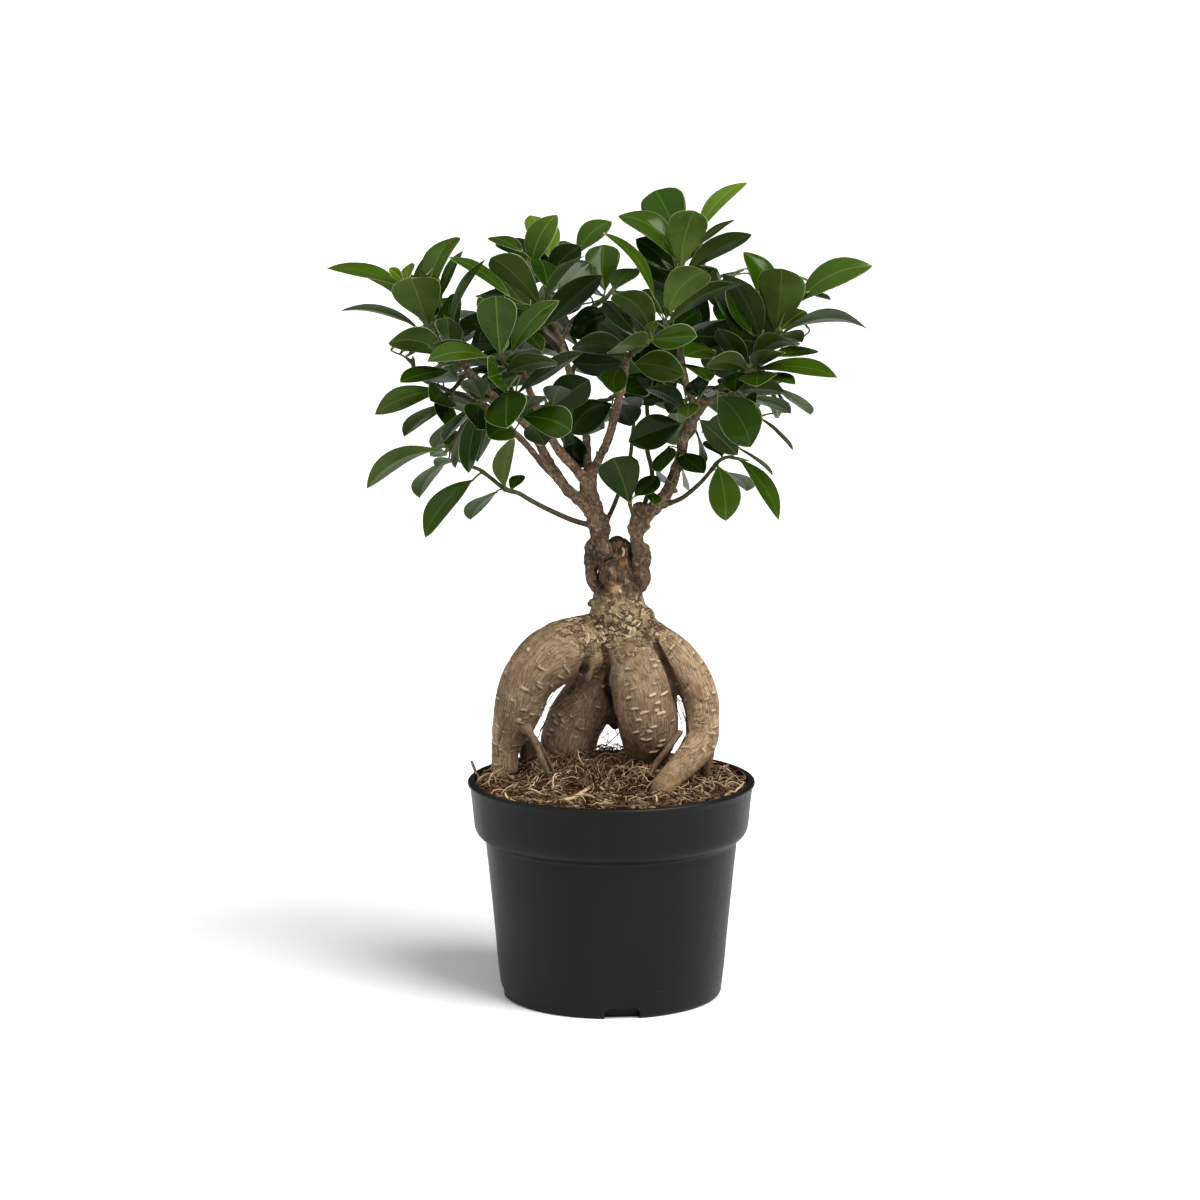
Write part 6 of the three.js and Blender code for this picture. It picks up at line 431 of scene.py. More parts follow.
    "right_shoot_17": {"parent": "right_up_branch", "stem": [[34.5,10.1,363.4,1.5],[40.2,17.3,368.6,1.4],[46.6,25.6,370.6,1.3],[53.4,34.1,371.3,1.2],[60.1,41.8,372.5,1.1],[66.1,48.0,376.0,1.0]], "leaves": [
        [45.2,23.7,370.3,46.4,28.6,376.2,41.6,54.0,409.0,-0.199,-0.789,0.581,22.1,2.03,-0.19,0.44,0,0.16],
        [46.5,25.3,370.6,52.1,23.1,368.0,65.4,-0.6,344.5,0.542,0.725,-0.425,19.0,1.35,-0.35,1.12,0,0.34],
        [50.0,29.5,370.7,49.4,34.4,366.2,33.5,43.0,331.3,-0.897,-0.283,0.339,22.3,-0.35,1.83,0.61,0,0.25],
        [53.8,34.2,371.1,51.2,37.7,376.9,23.0,46.3,399.7,-0.082,-0.961,0.264,19.7,1.21,0.28,1.39,0,0.37],
        [56.8,38.4,372.0,63.5,44.3,370.0,87.3,65.8,348.9,-0.67,0.742,-0.002,20.8,0.78,0.71,1.61,0,0.35],
        [60.3,41.8,372.5,61.6,47.8,371.9,60.1,86.2,353.0,-0.998,-0.008,0.062,22.7,0.11,0.95,1.92,0,0.4],
        [63.2,44.7,374.1,72.4,46.4,375.7,104.8,40.8,372.3,0.15,0.973,-0.173,17.5,0.21,0.25,1.62,1,0.44],
        [65.9,48.3,375.7,72.0,55.5,377.4,91.3,82.7,373.7,-0.784,0.584,0.208,16.5,0.39,-0.06,1.63,0,0.08],
    ]},
    "right_shoot_18": {"parent": "right_out_branch", "stem": [[74.4,-11.0,332.9,1.5],[81.5,-3.4,337.2,1.4],[88.1,5.8,338.0,1.3],[94.0,16.7,336.8,1.2],[92.8,27.0,336.3,1.1],[95.2,34.0,338.7,1.0]], "leaves": [
        [88.3,6.0,338.0,86.2,6.1,346.2,64.4,-8.1,372.2,0.775,-0.511,0.372,19.5,0.4,1.42,1.11,0,0.35],
        [90.9,10.9,337.3,85.0,16.4,341.2,44.5,22.0,345.5,0.084,-0.153,0.985,20.2,0.31,2.01,0.29,0,0.17],
        [93.9,16.3,336.5,91.3,20.4,341.4,58.1,30.3,361.7,0.119,-0.801,0.586,21.3,1.1,1.1,1.27,0,0.23],
        [93.7,29.0,337.0,97.9,34.7,340.0,65.3,39.8,338.3,-0.163,-0.963,0.213,17.5,-0.03,0.36,1.61,0,0.22],
        [95.3,33.7,338.7,103.3,37.4,348.1,76.7,37.4,374.2,0.121,-0.985,0.122,19.8,1.28,0.32,1.31,1,0.32],
    ]},
    "right_shoot_19": {"parent": "right_out_branch", "stem": [[61.7,-14.4,322.9,1.5],[72.5,-4.4,321.1,1.4],[79.7,8.0,314.3,1.3],[85.2,21.2,306.0,1.2],[87.0,32.0,302.0,1.1],[89.0,41.0,303.6,1.0]], "leaves": [
        [85.1,20.9,305.9,81.5,24.5,312.0,47.5,21.1,337.1,0.506,-0.62,0.6,22.5,0.67,1.65,1.14,1,0.32],
        [86.5,24.1,303.9,80.0,30.4,302.7,46.9,35.0,293.4,-0.269,-0.776,0.571,18.4,-0.23,1.07,1.35,0,0.34],
        [87.0,29.9,302.6,84.2,36.1,307.6,50.6,38.2,328.0,0.071,-0.973,0.218,20.9,1.02,0.44,1.63,0,0.3],
        [87.0,32.3,302.3,89.7,40.2,304.3,68.8,64.7,327.5,-0.209,-0.762,0.613,21.1,1.64,0.4,1.05,0,0.36],
        [88.2,36.4,302.8,93.3,44.4,303.7,73.5,64.5,327.4,-0.279,-0.834,0.475,19.5,1.46,0.14,1.11,0,0.26],
        [89.1,40.7,303.6,94.2,49.3,302.1,63.6,60.7,308.4,-0.237,-0.872,0.428,17.7,0.52,0.58,1.47,0,0.22],
    ]},
    "left_shoot_23": {"parent": "left_branch", "stem": [[-69.3,-3.7,325.5,1.5],[-78.4,2.1,334.6,1.4],[-87.0,8.8,343.0,1.3],[-95.1,15.6,351.1,1.2],[-102.7,21.6,359.3,1.1],[-109.9,26.0,368.0,1.0]], "leaves": [
        [-88.9,10.7,345.0,-84.6,12.5,349.3,-46.7,16.4,353.8,-0.008,0.785,-0.619,20.3,-0.3,1.17,1.49,0,0.28],
        [-93.3,13.6,349.0,-93.8,21.6,352.4,-84.1,61.4,352.2,-0.714,0.17,-0.68,21.7,-1.35,0.33,1.5,0,0.27],
        [-97.1,16.8,352.8,-98.9,12.3,360.6,-94.5,-25.9,381.8,0.66,0.42,0.622,21.5,-1.64,0.57,1.35,0,0.5],
        [-98.6,18.8,355.0,-99.6,23.0,361.7,-90.5,48.6,391.4,-0.644,0.666,-0.376,21.4,-1.47,-0.79,1.13,0,0.22],
        [-102.8,21.9,359.6,-107.3,23.8,363.1,-140.2,38.4,379.7,-0.353,-0.929,0.114,21.0,0.85,-0.11,1.78,1,0.35],
        [-109.8,25.7,368.0,-111.9,31.9,370.7,-114.1,66.0,372.2,-0.964,-0.05,-0.262,18.1,-0.44,-0.1,1.65,0,0.29],
    ]},
}
# Marks on the bark, as ends of short lines on its surface [x, y, z, x, y, z, half width, kind: 0 pale ridge, 1 dark crack, 2 pale wound].
MARKS = [[10.1,-18.1,155.2,14.8,-19.5,156.3,0.95,0],[14.8,-19.5,153.4,20.0,-19.5,154.7,0.95,0],[19.5,-19.4,162.3,22.6,-18.4,163.4,0.95,0],[25.7,-16.9,162.4,29.4,-13.3,163.8,0.95,0],[23.6,-18.7,152.7,27.8,-16.3,153.8,0.95,0],[20.0,-18.8,145.6,23.7,-18.1,146.2,0.95,0],[11.2,-16.2,142.6,14.8,-18.0,143.8,0.95,0],[18.0,-16.7,139.0,21.6,-16.8,139.8,0.95,0],[24.2,-15.5,137.7,27.9,-13.9,138.7,0.95,0],[19.6,-13.4,131.5,24.3,-13.0,132.2,0.95,0],[12.7,-18.8,149.5,15.3,-19.5,150.2,0.95,0],[7.6,-17.2,160.8,10.1,-18.5,161.6,0.95,0],[22.6,-18.7,158.5,25.2,-17.5,158.8,0.95,0],[-41.7,-15.4,183.2,-37.0,-18.2,178.4,0.62,0],[-36.5,-16.7,167.6,-31.0,-5.2,160.1,0.62,0],[-51.7,-13.5,152.2,-47.0,-14.4,154.5,0.62,0],[-46.0,-12.5,148.8,-42.4,-11.7,150.2,0.62,0],[-31.8,-18.2,181.0,-28.2,-17.9,176.8,0.62,0],[-49.0,-15.8,164.8,-45.3,-16.8,168.7,0.62,0],[-26.7,-15.9,172.2,-23.1,-6.1,166.1,0.62,0],[-41.2,-14.8,159.3,-36.6,-10.1,155.7,0.62,0],[-54.6,-3.3,129.3,-51.5,-2.6,129.7,0.62,0],[-34.4,-13.3,190.7,-31.8,-16.6,187.1,0.62,0],[-40.6,-15.0,184.7,-35.9,-17.9,180.5,0.38,1],[-38.1,-16.1,164.8,-32.6,-3.2,157.1,0.38,1],[-53.9,-8.0,139.4,-50.8,-8.9,140.6,0.38,1],[-30.2,-17.9,183.6,-26.6,-18.0,178.9,0.38,1],[-23.5,-16.0,174.3,-20.0,-8.2,168.6,0.38,1],[-44.8,-16.7,165.0,-40.7,-15.3,161.0,0.38,1],[-55.7,-9.9,146.7,-57.9,-6.2,139.5,0.55,1],[-57.9,-6.2,139.5,-59.6,-2.3,132.3,0.5,1],[-59.6,-2.3,132.3,-59.1,-1.6,125.8,0.4,1],[-21.1,6.0,152.1,-16.9,4.5,155.0,0.62,0],[-26.9,7.3,142.2,-23.3,5.7,139.8,0.62,0],[-14.8,4.0,159.4,-12.2,3.3,156.3,0.62,0],[-19.6,5.9,135.5,-14.9,6.4,136.4,0.62,0],[-29.1,8.5,136.0,-25.9,7.1,133.6,0.62,0],[-17.5,4.5,146.5,-14.3,4.7,144.3,0.62,0],[-23.8,6.7,148.7,-20.1,5.4,151.6,0.38,1],[-19.1,5.0,140.5,-15.4,5.7,138.7,0.38,1],[-30.7,10.0,139.5,-28.0,7.9,137.2,0.38,1],[49.5,-12.9,153.1,50.2,-12.8,151.5,0.8,1],[46.0,-13.0,158.9,47.1,-13.1,157.7,0.8,1],[51.3,-10.0,162.6,52.4,-9.4,161.4,0.8,1],[42.9,-10.3,175.4,44.0,-10.6,173.8,0.8,1],[52.4,-13.6,140.0,52.9,-13.5,138.4,0.8,1],[37.2,-10.2,164.2,40.3,-12.1,167.2,0.45,1],[46.0,-11.5,168.2,49.2,-9.1,168.8,0.45,1],[44.5,-13.3,146.3,48.2,-13.5,147.9,0.45,1],[50.8,-15.9,134.1,53.4,-12.9,135.6,0.45,1],[37.8,-10.3,162.7,40.8,-12.2,165.7,0.62,0],[41.4,-9.2,179.4,44.6,-5.0,180.2,0.62,0],[47.6,-11.9,164.0,50.8,-9.6,164.6,0.62,0],[35.6,-10.9,177.1,38.2,-10.5,179.1,0.62,0],[28.7,-33.1,120.3,29.4,-33.4,118.8,1.1,1],[-13.7,-15.4,188.4,-12.1,-15.3,183.1,1.6,1],[-12.1,-15.3,183.1,-14.2,-13.3,175.9,1.6,1],[-14.2,-13.3,175.9,-17.9,-5.0,168.5,1.6,1],[-17.9,-5.0,168.5,-23.8,13.4,159.7,1.6,1],[22.7,-7.8,188.1,25.8,-8.2,181.8,1.6,1],[25.8,-8.2,181.8,28.9,-7.3,174.8,1.6,1],[28.9,-7.3,174.8,31.6,-8.3,166.5,1.6,1],[31.6,-8.3,166.5,33.7,-5.7,157.5,1.6,1],[-14.7,-9.4,197.9,-12.2,-8.7,198.3,0.55,1],[-12.2,-8.7,198.3,-10.1,-10.5,196.5,0.55,1],[-10.1,-10.5,196.5,-8.0,-9.8,196.9,0.55,1],[-6.4,-11.7,193.6,-3.9,-13.1,192.2,0.55,1],[-3.9,-13.1,192.2,-0.7,-14.7,194.1,0.55,1],[-0.7,-14.7,194.1,0.8,-15.4,192.6,0.55,1],[8.6,-14.9,200.4,11.2,-14.8,197.3,0.55,1],[11.2,-14.8,197.3,10.6,-15.4,195.3,0.55,1],[12.7,-14.1,197.7,15.3,-13.2,195.4,0.55,1],[15.3,-13.2,195.4,17.9,-11.0,196.1,0.55,1],[17.9,-11.0,196.1,20.0,-9.1,192.6,0.55,1],[4.9,-14.5,205.6,7.5,-14.5,203.5,0.55,1],[7.5,-14.5,203.5,6.5,-15.1,201.0,0.55,1],[-2.3,-13.4,203.8,0.3,-14.1,205.0,0.55,1],[0.3,-14.1,205.0,0.8,-14.6,202.5,0.55,1],[-5.4,-11.5,200.4,-2.8,-13.4,199.1,0.55,1],[1.8,-15.2,198.4,4.4,-15.7,196.9,0.55,1],[4.4,-15.7,196.9,4.9,-16.1,194.3,0.55,1],[14.8,-11.4,201.9,16.9,-10.5,199.7,0.55,1],[16.4,-12.8,192.7,19.0,-10.1,189.6,0.55,1],[19.0,-10.1,189.6,22.1,-7.8,188.6,0.55,1],[-1.3,-11.9,218.3,2.4,-11.7,218.8,3.2,2],[2.9,-11.8,217.8,4.4,-12.0,216.7,3.0,2],[4.2,-12.0,216.7,5.2,-12.1,215.7,1.2,0],[5.7,-4.6,238.1,6.5,-7.4,236.4,1.0,0],[6.5,-7.4,236.4,5.7,-7.4,233.3,0.9,0],[4.4,-7.2,233.3,7.0,-8.1,231.8,2.6,2],[5.0,-7.9,230.8,6.5,-8.1,229.7,2.0,2],[-9.0,-5.3,239.3,-7.5,-9.5,233.1,1.0,1],[-7.5,-9.5,233.1,-4.4,-10.8,231.2,1.1,1],[-4.4,-10.8,231.2,0.3,-6.9,232.7,0.9,1],[0.3,-6.9,232.7,3.4,-7.8,231.8,0.7,1],[-7.0,-6.0,229.9,-7.0,-3.6,220.6,0.8,1],[-7.0,-3.6,220.6,-3.9,-9.3,217.3,0.7,1],[-3.9,-9.3,217.3,-1.8,-10.8,216.5,0.5,1],[9.1,-2.3,240.9,9.6,-7.5,229.1,1.7,1],[9.6,-7.5,229.1,11.2,-8.6,219.3,1.6,1],[11.2,-8.6,219.3,13.8,-7.0,215.4,1.2,1],[-0.7,-0.8,240.7,3.4,-0.9,242.5,1.5,1],[3.4,-0.9,242.5,9.1,-2.3,240.6,1.5,1],[-7.5,-9.5,233.1,-7.7,-4.8,223.4,1.3,1],[-7.7,-4.8,223.4,-5.9,-7.3,216.5,1.0,1]]
# Single thick strands on the soil.
STRANDS = [{"p":[[-32.6,-50.3,112.5,0.8],[-25.4,-50.1,113.5,1.1],[-18.8,-42.9,114.0,0.95],[-13.2,-28.4,114.5,1.0],[-8.5,-18.5,115.0,1.05],[-5.4,-23.5,114.5,0.95],[-2.8,-31.1,113.5,0.8],[0.7,-45.6,112.5,0.6]],"tone":0.62,"lie":1},{"p":[[-19.8,-42.9,114.0,0.9],[-14.7,-40.4,114.5,0.9],[-10.0,-42.9,114.0,0.8],[-4.9,-52.6,113.0,0.6]],"tone":0.6,"lie":1},{"p":[[-57.6,-31.3,112.5,0.5],[-51.1,-45.5,113.0,0.6],[-44.7,-57.4,112.5,0.6],[-38.6,-59.8,112.0,0.4]],"tone":0.8,"lie":1},{"p":[[4.6,9.4,117.0,0.9],[0.3,-7.9,117.5,1.0],[-2.8,-18.2,116.0,0.9],[1.3,-21.3,114.0,0.7]],"tone":0.7,"lie":1},{"p":[[25.3,-19.3,112.5,0.5],[32.2,-36.0,113.0,0.55],[40.7,-26.4,113.0,0.5],[47.4,-9.3,113.0,0.4]],"tone":0.75,"lie":1},{"p":[[-73.9,25.1,118.0,0.7],[-72.7,19.2,116.0,0.8],[-70.3,10.3,112.5,0.9]],"tone":0.35,"lie":0},{"p":[[-23.8,7.0,162.5,0.22],[-28.5,8.0,154.3,0.22],[-32.7,8.0,146.8,0.22],[-37.5,7.0,138.5,0.22]],"tone":0.05,"lie":0},{"p":[[-26.9,4.0,164.2,0.22],[-32.1,5.0,156.0,0.22],[-37.4,6.0,148.3,0.22],[-41.7,6.0,138.7,0.22]],"tone":0.16999999999999998,"lie":0},{"p":[[-22.7,9.0,158.9,0.22],[-30.1,9.0,148.8,0.22],[-35.9,8.0,140.4,0.22],[-38.5,7.0,134.7,0.22]],"tone":0.29,"lie":0},{"p":[[-33.1,2.0,159.2,0.22],[-36.9,4.0,149.2,0.22],[-34.8,6.0,140.3,0.22]],"tone":0.05,"lie":0},{"p":[[-40.0,2.0,147.5,0.22],[-34.3,6.0,150.4,0.22],[-29.1,9.0,152.0,0.22]],"tone":0.16999999999999998,"lie":0},{"p":[[-7.0,14.0,136.0,0.22],[-1.7,12.0,132.1,0.22],[4.6,10.0,130.3,0.22],[10.4,8.0,127.0,0.22]],"tone":0.29,"lie":0},{"p":[[-5.4,10.0,126.0,0.22],[-0.1,13.0,131.9,0.22],[4.1,14.0,136.0,0.22],[5.7,14.0,139.7,0.22]],"tone":0.05,"lie":0},{"p":[[-8.0,12.0,130.5,0.22],[-1.2,12.0,127.8,0.22],[5.7,12.0,129.4,0.22],[10.9,12.0,132.6,0.22]],"tone":0.16999999999999998,"lie":0},{"p":[[-2.8,15.0,139.0,0.22],[-1.7,14.0,133.3,0.22],[-3.8,12.0,126.1,0.22]],"tone":0.29,"lie":0},{"p":[[1.5,15.0,139.0,0.22],[3.6,13.0,132.4,0.22],[2.5,10.0,125.0,0.22]],"tone":0.05,"lie":0},{"p":[[-9.1,13.0,132.9,0.22],[-4.9,14.0,133.8,0.22],[0.4,15.0,136.8,0.22]],"tone":0.16999999999999998,"lie":0},{"p":[[5.7,13.0,134.0,0.22],[7.8,12.0,129.9,0.22],[5.7,10.0,124.4,0.22]],"tone":0.29,"lie":0},{"p":[[-7.5,10.0,126.6,0.22],[-2.8,12.0,129.9,0.22],[2.5,11.0,126.9,0.22],[8.3,10.0,128.7,0.22]],"tone":0.05,"lie":0},{"p":[[31.2,1.0,162.6,0.22],[34.9,1.0,155.2,0.22],[38.0,0.0,147.9,0.22],[39.6,-1.0,139.6,0.22]],"tone":0.16999999999999998,"lie":0},{"p":[[33.3,1.0,158.9,0.22],[37.0,1.0,153.0,0.22],[39.1,0.0,144.7,0.22]],"tone":0.29,"lie":0},{"p":[[31.8,1.0,155.2,0.22],[35.4,1.0,149.3,0.22],[37.6,0.0,138.3,0.22]],"tone":0.05,"lie":0},{"p":[[34.3,0.0,157.5,0.22],[40.1,-2.0,153.1,0.22]],"tone":0.16999999999999998,"lie":0},{"p":[[35.5,1.0,146.6,0.22],[40.6,-2.0,144.0,0.22]],"tone":0.29,"lie":0}]

# How light each root's bark is, by height [z, factor]. This is painted light and shade: roots that lie in shadow, such
# as the web between roots and the roots at the back, are set darker, and the lower part of the left root lighter.
TONE = {
    "neck": [[150, 1.0], [230, 1.0]], "root_left": [[105, 1.30], [135, 1.28], [150, 1.03], [165, 0.94], [185, 1.02]],
    "root_mid_left": [[105, 0.75], [125, 0.8], [150, 0.9], [175, 0.9]], "root_front": [[105, 0.42], [125, 0.50], [140, 0.63], [158, 0.83], [180, 0.99]],
    "root_right": [[105, 0.72], [125, 0.92], [135, 1.16], [150, 1.22], [190, 1.15]], "root_right_foot": [[105, 0.7], [140, 0.9]],
    "root_back_left": [[105, 0.7], [190, 0.9]], "root_back_right": [[105, 0.7], [190, 0.9]], "root_web": [[105, 0.3], [150, 0.32], [175, 0.6]],
    "rootlet_a": [[105, 0.42], [150, 0.75]], "rootlet_a2": [[105, 0.5], [150, 0.7]], "rootlet_b": [[105, 0.62], [150, 0.68]], "rootlet_c": [[105, 0.3], [150, 0.4]], "root_nub": [[160, 0.62], [185, 0.75]],
}

RNG = np.random.default_rng(20)


# ------------------------------------------------------------------ numbers
def noise_at(p, size, seed=0):
    """Smooth value noise, -1 to 1, with cells of `size` (a number, or one for each axis)."""
    q = p / np.asarray(size, float)
    i = np.floor(q).astype(np.int64)
    f = q - i
    f = f * f * (3 - 2 * f)
    out = np.zeros(len(p))
    for cx in (0, 1):
        for cy in (0, 1):
            for cz in (0, 1):
                n = ((i[:, 0] + cx) * 73856093) ^ ((i[:, 1] + cy) * 19349663) ^ ((i[:, 2] + cz) * 83492791) ^ (seed * 2654435761)
                n &= 0xFFFFFFFF
                n = ((n ^ (n >> 15)) * 2246822519) & 0xFFFFFFFF
                n = ((n ^ (n >> 13)) * 3266489917) & 0xFFFFFFFF
                n ^= n >> 16
                w = (f[:, 0] if cx else 1 - f[:, 0]) * (f[:, 1] if cy else 1 - f[:, 1]) * (f[:, 2] if cz else 1 - f[:, 2])
                out += w * (n / 4294967295.0 * 2 - 1)
    return out


def fractal(p, size, seed=0, octaves=3):
    s, a, out = np.asarray(size, float), 1.0, 0
    for o in range(octaves):
        out = out + a * noise_at(p, s, seed + o * 17)
        s = s / 2.03
        a *= 0.5
    return out / (2 - 0.5 ** (octaves - 1))


def unit(v):
    v = np.asarray(v, float)
    return v / np.maximum(np.linalg.norm(v, axis=-1, keepdims=True), 1e-9)


def ease(x, a, b):
    t = np.clip((x - a) / (b - a), 0, 1)
    return t * t * (3 - 2 * t)


def curve_points(rows, step):
    """Points and radii every `step` along the smooth curve through the rows."""
    q = np.asarray(rows, float)
    P, R = q[:, :3], q[:, 3]
    E = np.vstack([2 * P[0] - P[1], P, 2 * P[-1] - P[-2]])
    RE = np.concatenate([[R[0]], R, [R[-1]]])
    out, rad = [], []
    for k in range(len(P) - 1):
        n = max(1, int(math.ceil(np.linalg.norm(P[k + 1] - P[k]) / step)))
        for t in (np.arange(n + (k == len(P) - 2)) / n):
            a, b, c, d = E[k : k + 4]
            out.append(0.5 * (2 * b + (c - a) * t + (2 * a - 5 * b + 4 * c - d) * t * t + (3 * b - a - 3 * c + d) * t**3))
            a, b, c, d = RE[k : k + 4]
            r = 0.5 * (2 * b + (c - a) * t + (2 * a - 5 * b + 4 * c - d) * t * t + (3 * b - a - 3 * c + d) * t**3)
            rad.append(min(max(r, min(b, c)), max(b, c)))
    return np.array(out), np.array(rad)


def frames(P, first=(0.31, 0.87, 0.38)):
    """Direction, and two sides that don't twist, at each point of a curve."""
    d = unit(np.gradient(P, axis=0))
    n = np.array(first, float)
    N = np.zeros_like(P)
    for i in range(len(P)):
        n = n - np.dot(n, d[i]) * d[i]
        n /= max(np.linalg.norm(n), 1e-9)
        N[i] = n
    return d, N, np.cross(d, N)


# ------------------------------------------------------------------ solid growth as a distance field
class Field:
    def __init__(self, low, high, h, far=9.0):
        self.low, self.h = np.asarray(low, float), h
        self.n = np.ceil((np.asarray(high) - self.low) / h).astype(int) + 1
        self.f = np.full(self.n, far, np.float32)

    def window(self, low, high):
        a = np.clip(np.floor((low - self.low) / self.h).astype(int), 0, self.n - 1)
        b = np.clip(np.ceil((high - self.low) / self.h).astype(int) + 1, 1, self.n)
        return a, b

    def axes(self, a, b):
        return [(self.low[k] + self.h * np.arange(a[k], b[k])).astype(np.float32) for k in range(3)]

    def distance(self, P, R, reach):
        a0, b0 = self.window((P - R[:, None]).min(0) - reach, (P + R[:, None]).max(0) + reach)
        T = np.full(b0 - a0, reach, np.float32)
        for i in range(len(P) - 1):
            p, q, rp, rq = P[i], P[i + 1], R[i], R[i + 1]
            m = max(rp, rq) + reach
            a, b = self.window(np.minimum(p, q) - m, np.maximum(p, q) + m)
            a, b = np.maximum(a, a0), np.minimum(b, b0)
            if (b <= a).any():
                continue
            x, y, z = self.axes(a, b)
            d = q - p
            L = max(float(d @ d), 1e-9)
            X, Y, Z = x[:, None, None] - p[0], y[None, :, None] - p[1], z[None, None, :] - p[2]
            t = np.clip((X * d[0] + Y * d[1] + Z * d[2]) / L, 0, 1)
            D = np.sqrt((X - t * d[0]) ** 2 + (Y - t * d[1]) ** 2 + (Z - t * d[2]) ** 2) - (rp + t * (rq - rp))
            s = tuple(slice(a[k] - a0[k], b[k] - a0[k]) for k in range(3))
            np.minimum(T[s], D, out=T[s])
        return tuple(slice(a0[k], b0[k]) for k in range(3)), T

    def grow(self, P, R, blend, reach=5.0):
        s, T = self.distance(P, R, reach)
        F = self.f[s]
        h = np.clip(0.5 + 0.5 * (F - T) / blend, 0, 1)
        self.f[s] = F * (1 - h) + T * h - blend * h * (1 - h)

    def carve(self, P, R, blend, reach=4.0):
        s, T = self.distance(P, R, reach)
        F, T = self.f[s], -T
        h = np.clip(0.5 - 0.5 * (F - T) / blend, 0, 1)
        self.f[s] = F * (1 - h) + T * h + blend * h * (1 - h)

    def sample(self, p):
        q = (p - self.low) / self.h
        i = np.clip(np.floor(q).astype(int), 0, self.n - 2)
        t = np.clip(q - i, 0, 1)
        out = np.zeros(len(p))
        for c in range(8):
            cx, cy, cz = c & 1, (c >> 1) & 1, c >> 2
            w = (t[:, 0] if cx else 1 - t[:, 0]) * (t[:, 1] if cy else 1 - t[:, 1]) * (t[:, 2] if cz else 1 - t[:, 2])
            out += w * self.f[i[:, 0] + cx, i[:, 1] + cy, i[:, 2] + cz]
        return out

    def slope(self, p):
        e = self.h * 0.8
        g = np.stack([self.sample(p + e * a) - self.sample(p - e * a) for a in np.eye(3)], 1)
        return unit(g)

    def skin(self, smooth=2):
        """The surface where the field is zero, as points and four-sided faces that face out."""
        f = self.f
        s = f < 0
        nx, ny, nz = f.shape
        corner = [(i, j, k) for i in (0, 1) for j in (0, 1) for k in (0, 1)]
        cut = lambda g, c: g[c[0] : nx - 1 + c[0], c[1] : ny - 1 + c[1], c[2] : nz - 1 + c[2]]
        count = sum(cut(s, c).astype(np.int8) for c in corner)
        cells = np.argwhere((count > 0) & (count < 8))
        index = np.full((nx - 1, ny - 1, nz - 1), -1, np.int64)
        index[tuple(cells.T)] = np.arange(len(cells))
        total, hits = np.zeros((len(cells), 3)), np.zeros(len(cells))
        for a in corner:
            for k in range(3):
                if a[k]:
                    continue
                b = list(a)
                b[k] = 1
                va, vb = (f[tuple((cells + np.array(c)).T)].astype(float) for c in (a, b))
                m = (va < 0) != (vb < 0)
                t = va[m] / (va[m] - vb[m])
                p = np.tile(np.array(a, float), (m.sum(), 1))
                p[:, k] = t
                total[m] += p
                hits[m] += 1
        verts = self.low + self.h * (cells + total / hits[:, None])
        quads = []
        for k in range(3):
            u, v = (k + 1) % 3, (k + 2) % 3
            lo = [slice(None)] * 3
            hi = [slice(None)] * 3
            lo[k], hi[k] = slice(0, -1), slice(1, None)
            sa, sb = s[tuple(lo)], s[tuple(hi)]
            for flip, m in ((False, sa & ~sb), (True, ~sa & sb)):
                e = np.argwhere(m)
                e = e[(e[:, u] > 0) & (e[:, v] > 0) & (e[:, u] < f.shape[u] - 1) & (e[:, v] < f.shape[v] - 1)]
                du, dv = np.zeros(3, int), np.zeros(3, int)
                du[u], dv[v] = 1, 1
                q = np.stack([index[tuple((e - o).T)] for o in (du + dv, dv, 0 * du, du)], 1)
                quads.append(q[:, ::-1] if flip else q)
        quads = np.vstack(quads)
        for _ in range(smooth):
            acc, w = np.zeros_like(verts), np.zeros(len(verts))
            for a, b in ((0, 1), (1, 2), (2, 3), (3, 0)):
                for x, y in ((a, b), (b, a)):
                    for c in range(3):
                        acc[:, c] += np.bincount(quads[:, x], verts[quads[:, y], c], len(verts))
                    w += np.bincount(quads[:, x], minlength=len(verts))
            verts = verts * 0.4 + 0.6 * acc / np.maximum(w, 1)[:, None]
            verts = verts - self.slope(verts) * self.sample(verts)[:, None]
        return verts, quads


def biggest(verts, quads):
    """Only the largest connected piece of a skin."""
    lab = np.arange(len(verts))
    while True:
        m = lab[quads].min(1)
        new = lab.copy()
        for c in range(4):
            np.minimum.at(new, quads[:, c], m)
        new = new[new]
        if (new == lab).all():
            break
        lab = new
    keep = np.bincount(lab, minlength=len(verts)).argmax()
    v = lab == keep
    ren = np.cumsum(v) - 1
    return verts[v], ren[quads[v[quads[:, 0]]]]


def along(verts, curves):
    """For each vertex the nearest curve: its number, the length along it, the way round it in mm, its radius, its direction."""
    pts = np.vstack([c["P"] for c in curves]).astype(np.float32)
    rad = np.concatenate([c["R"] for c in curves]).astype(np.float32)
    own = np.concatenate([np.full(len(c["P"]), i) for i, c in enumerate(curves)])
    loc = np.concatenate([np.arange(len(c["P"])) for c in curves])
    best = np.empty(len(verts), int)
    for i in range(0, len(verts), 6000):
        v = verts[i : i + 6000].astype(np.float32)
        d = np.sqrt(((v[:, None, :] - pts[None]) ** 2).sum(2)) - rad
        best[i : i + 6000] = d.argmin(1)
    S = np.concatenate([c["S"] for c in curves])[best]
    N = np.vstack([c["N"] for c in curves])[best]
    B = np.vstack([c["B"] for c in curves])[best]
    D = np.vstack([c["D"] for c in curves])[best]
    o = verts - pts[best]
    S = S + (o * D).sum(1)
    phi = np.arctan2((o * B).sum(1), (o * N).sum(1))
    return own[best], S, phi, rad[best], D


def curve(rows, step=2.5):
    P, R = curve_points(rows, step)
    D, N, B = frames(P)
    S = np.concatenate([[0], np.cumsum(np.linalg.norm(np.diff(P, axis=0), axis=1))])
    return dict(P=P, R=R, D=D, N=N, B=B, S=S)


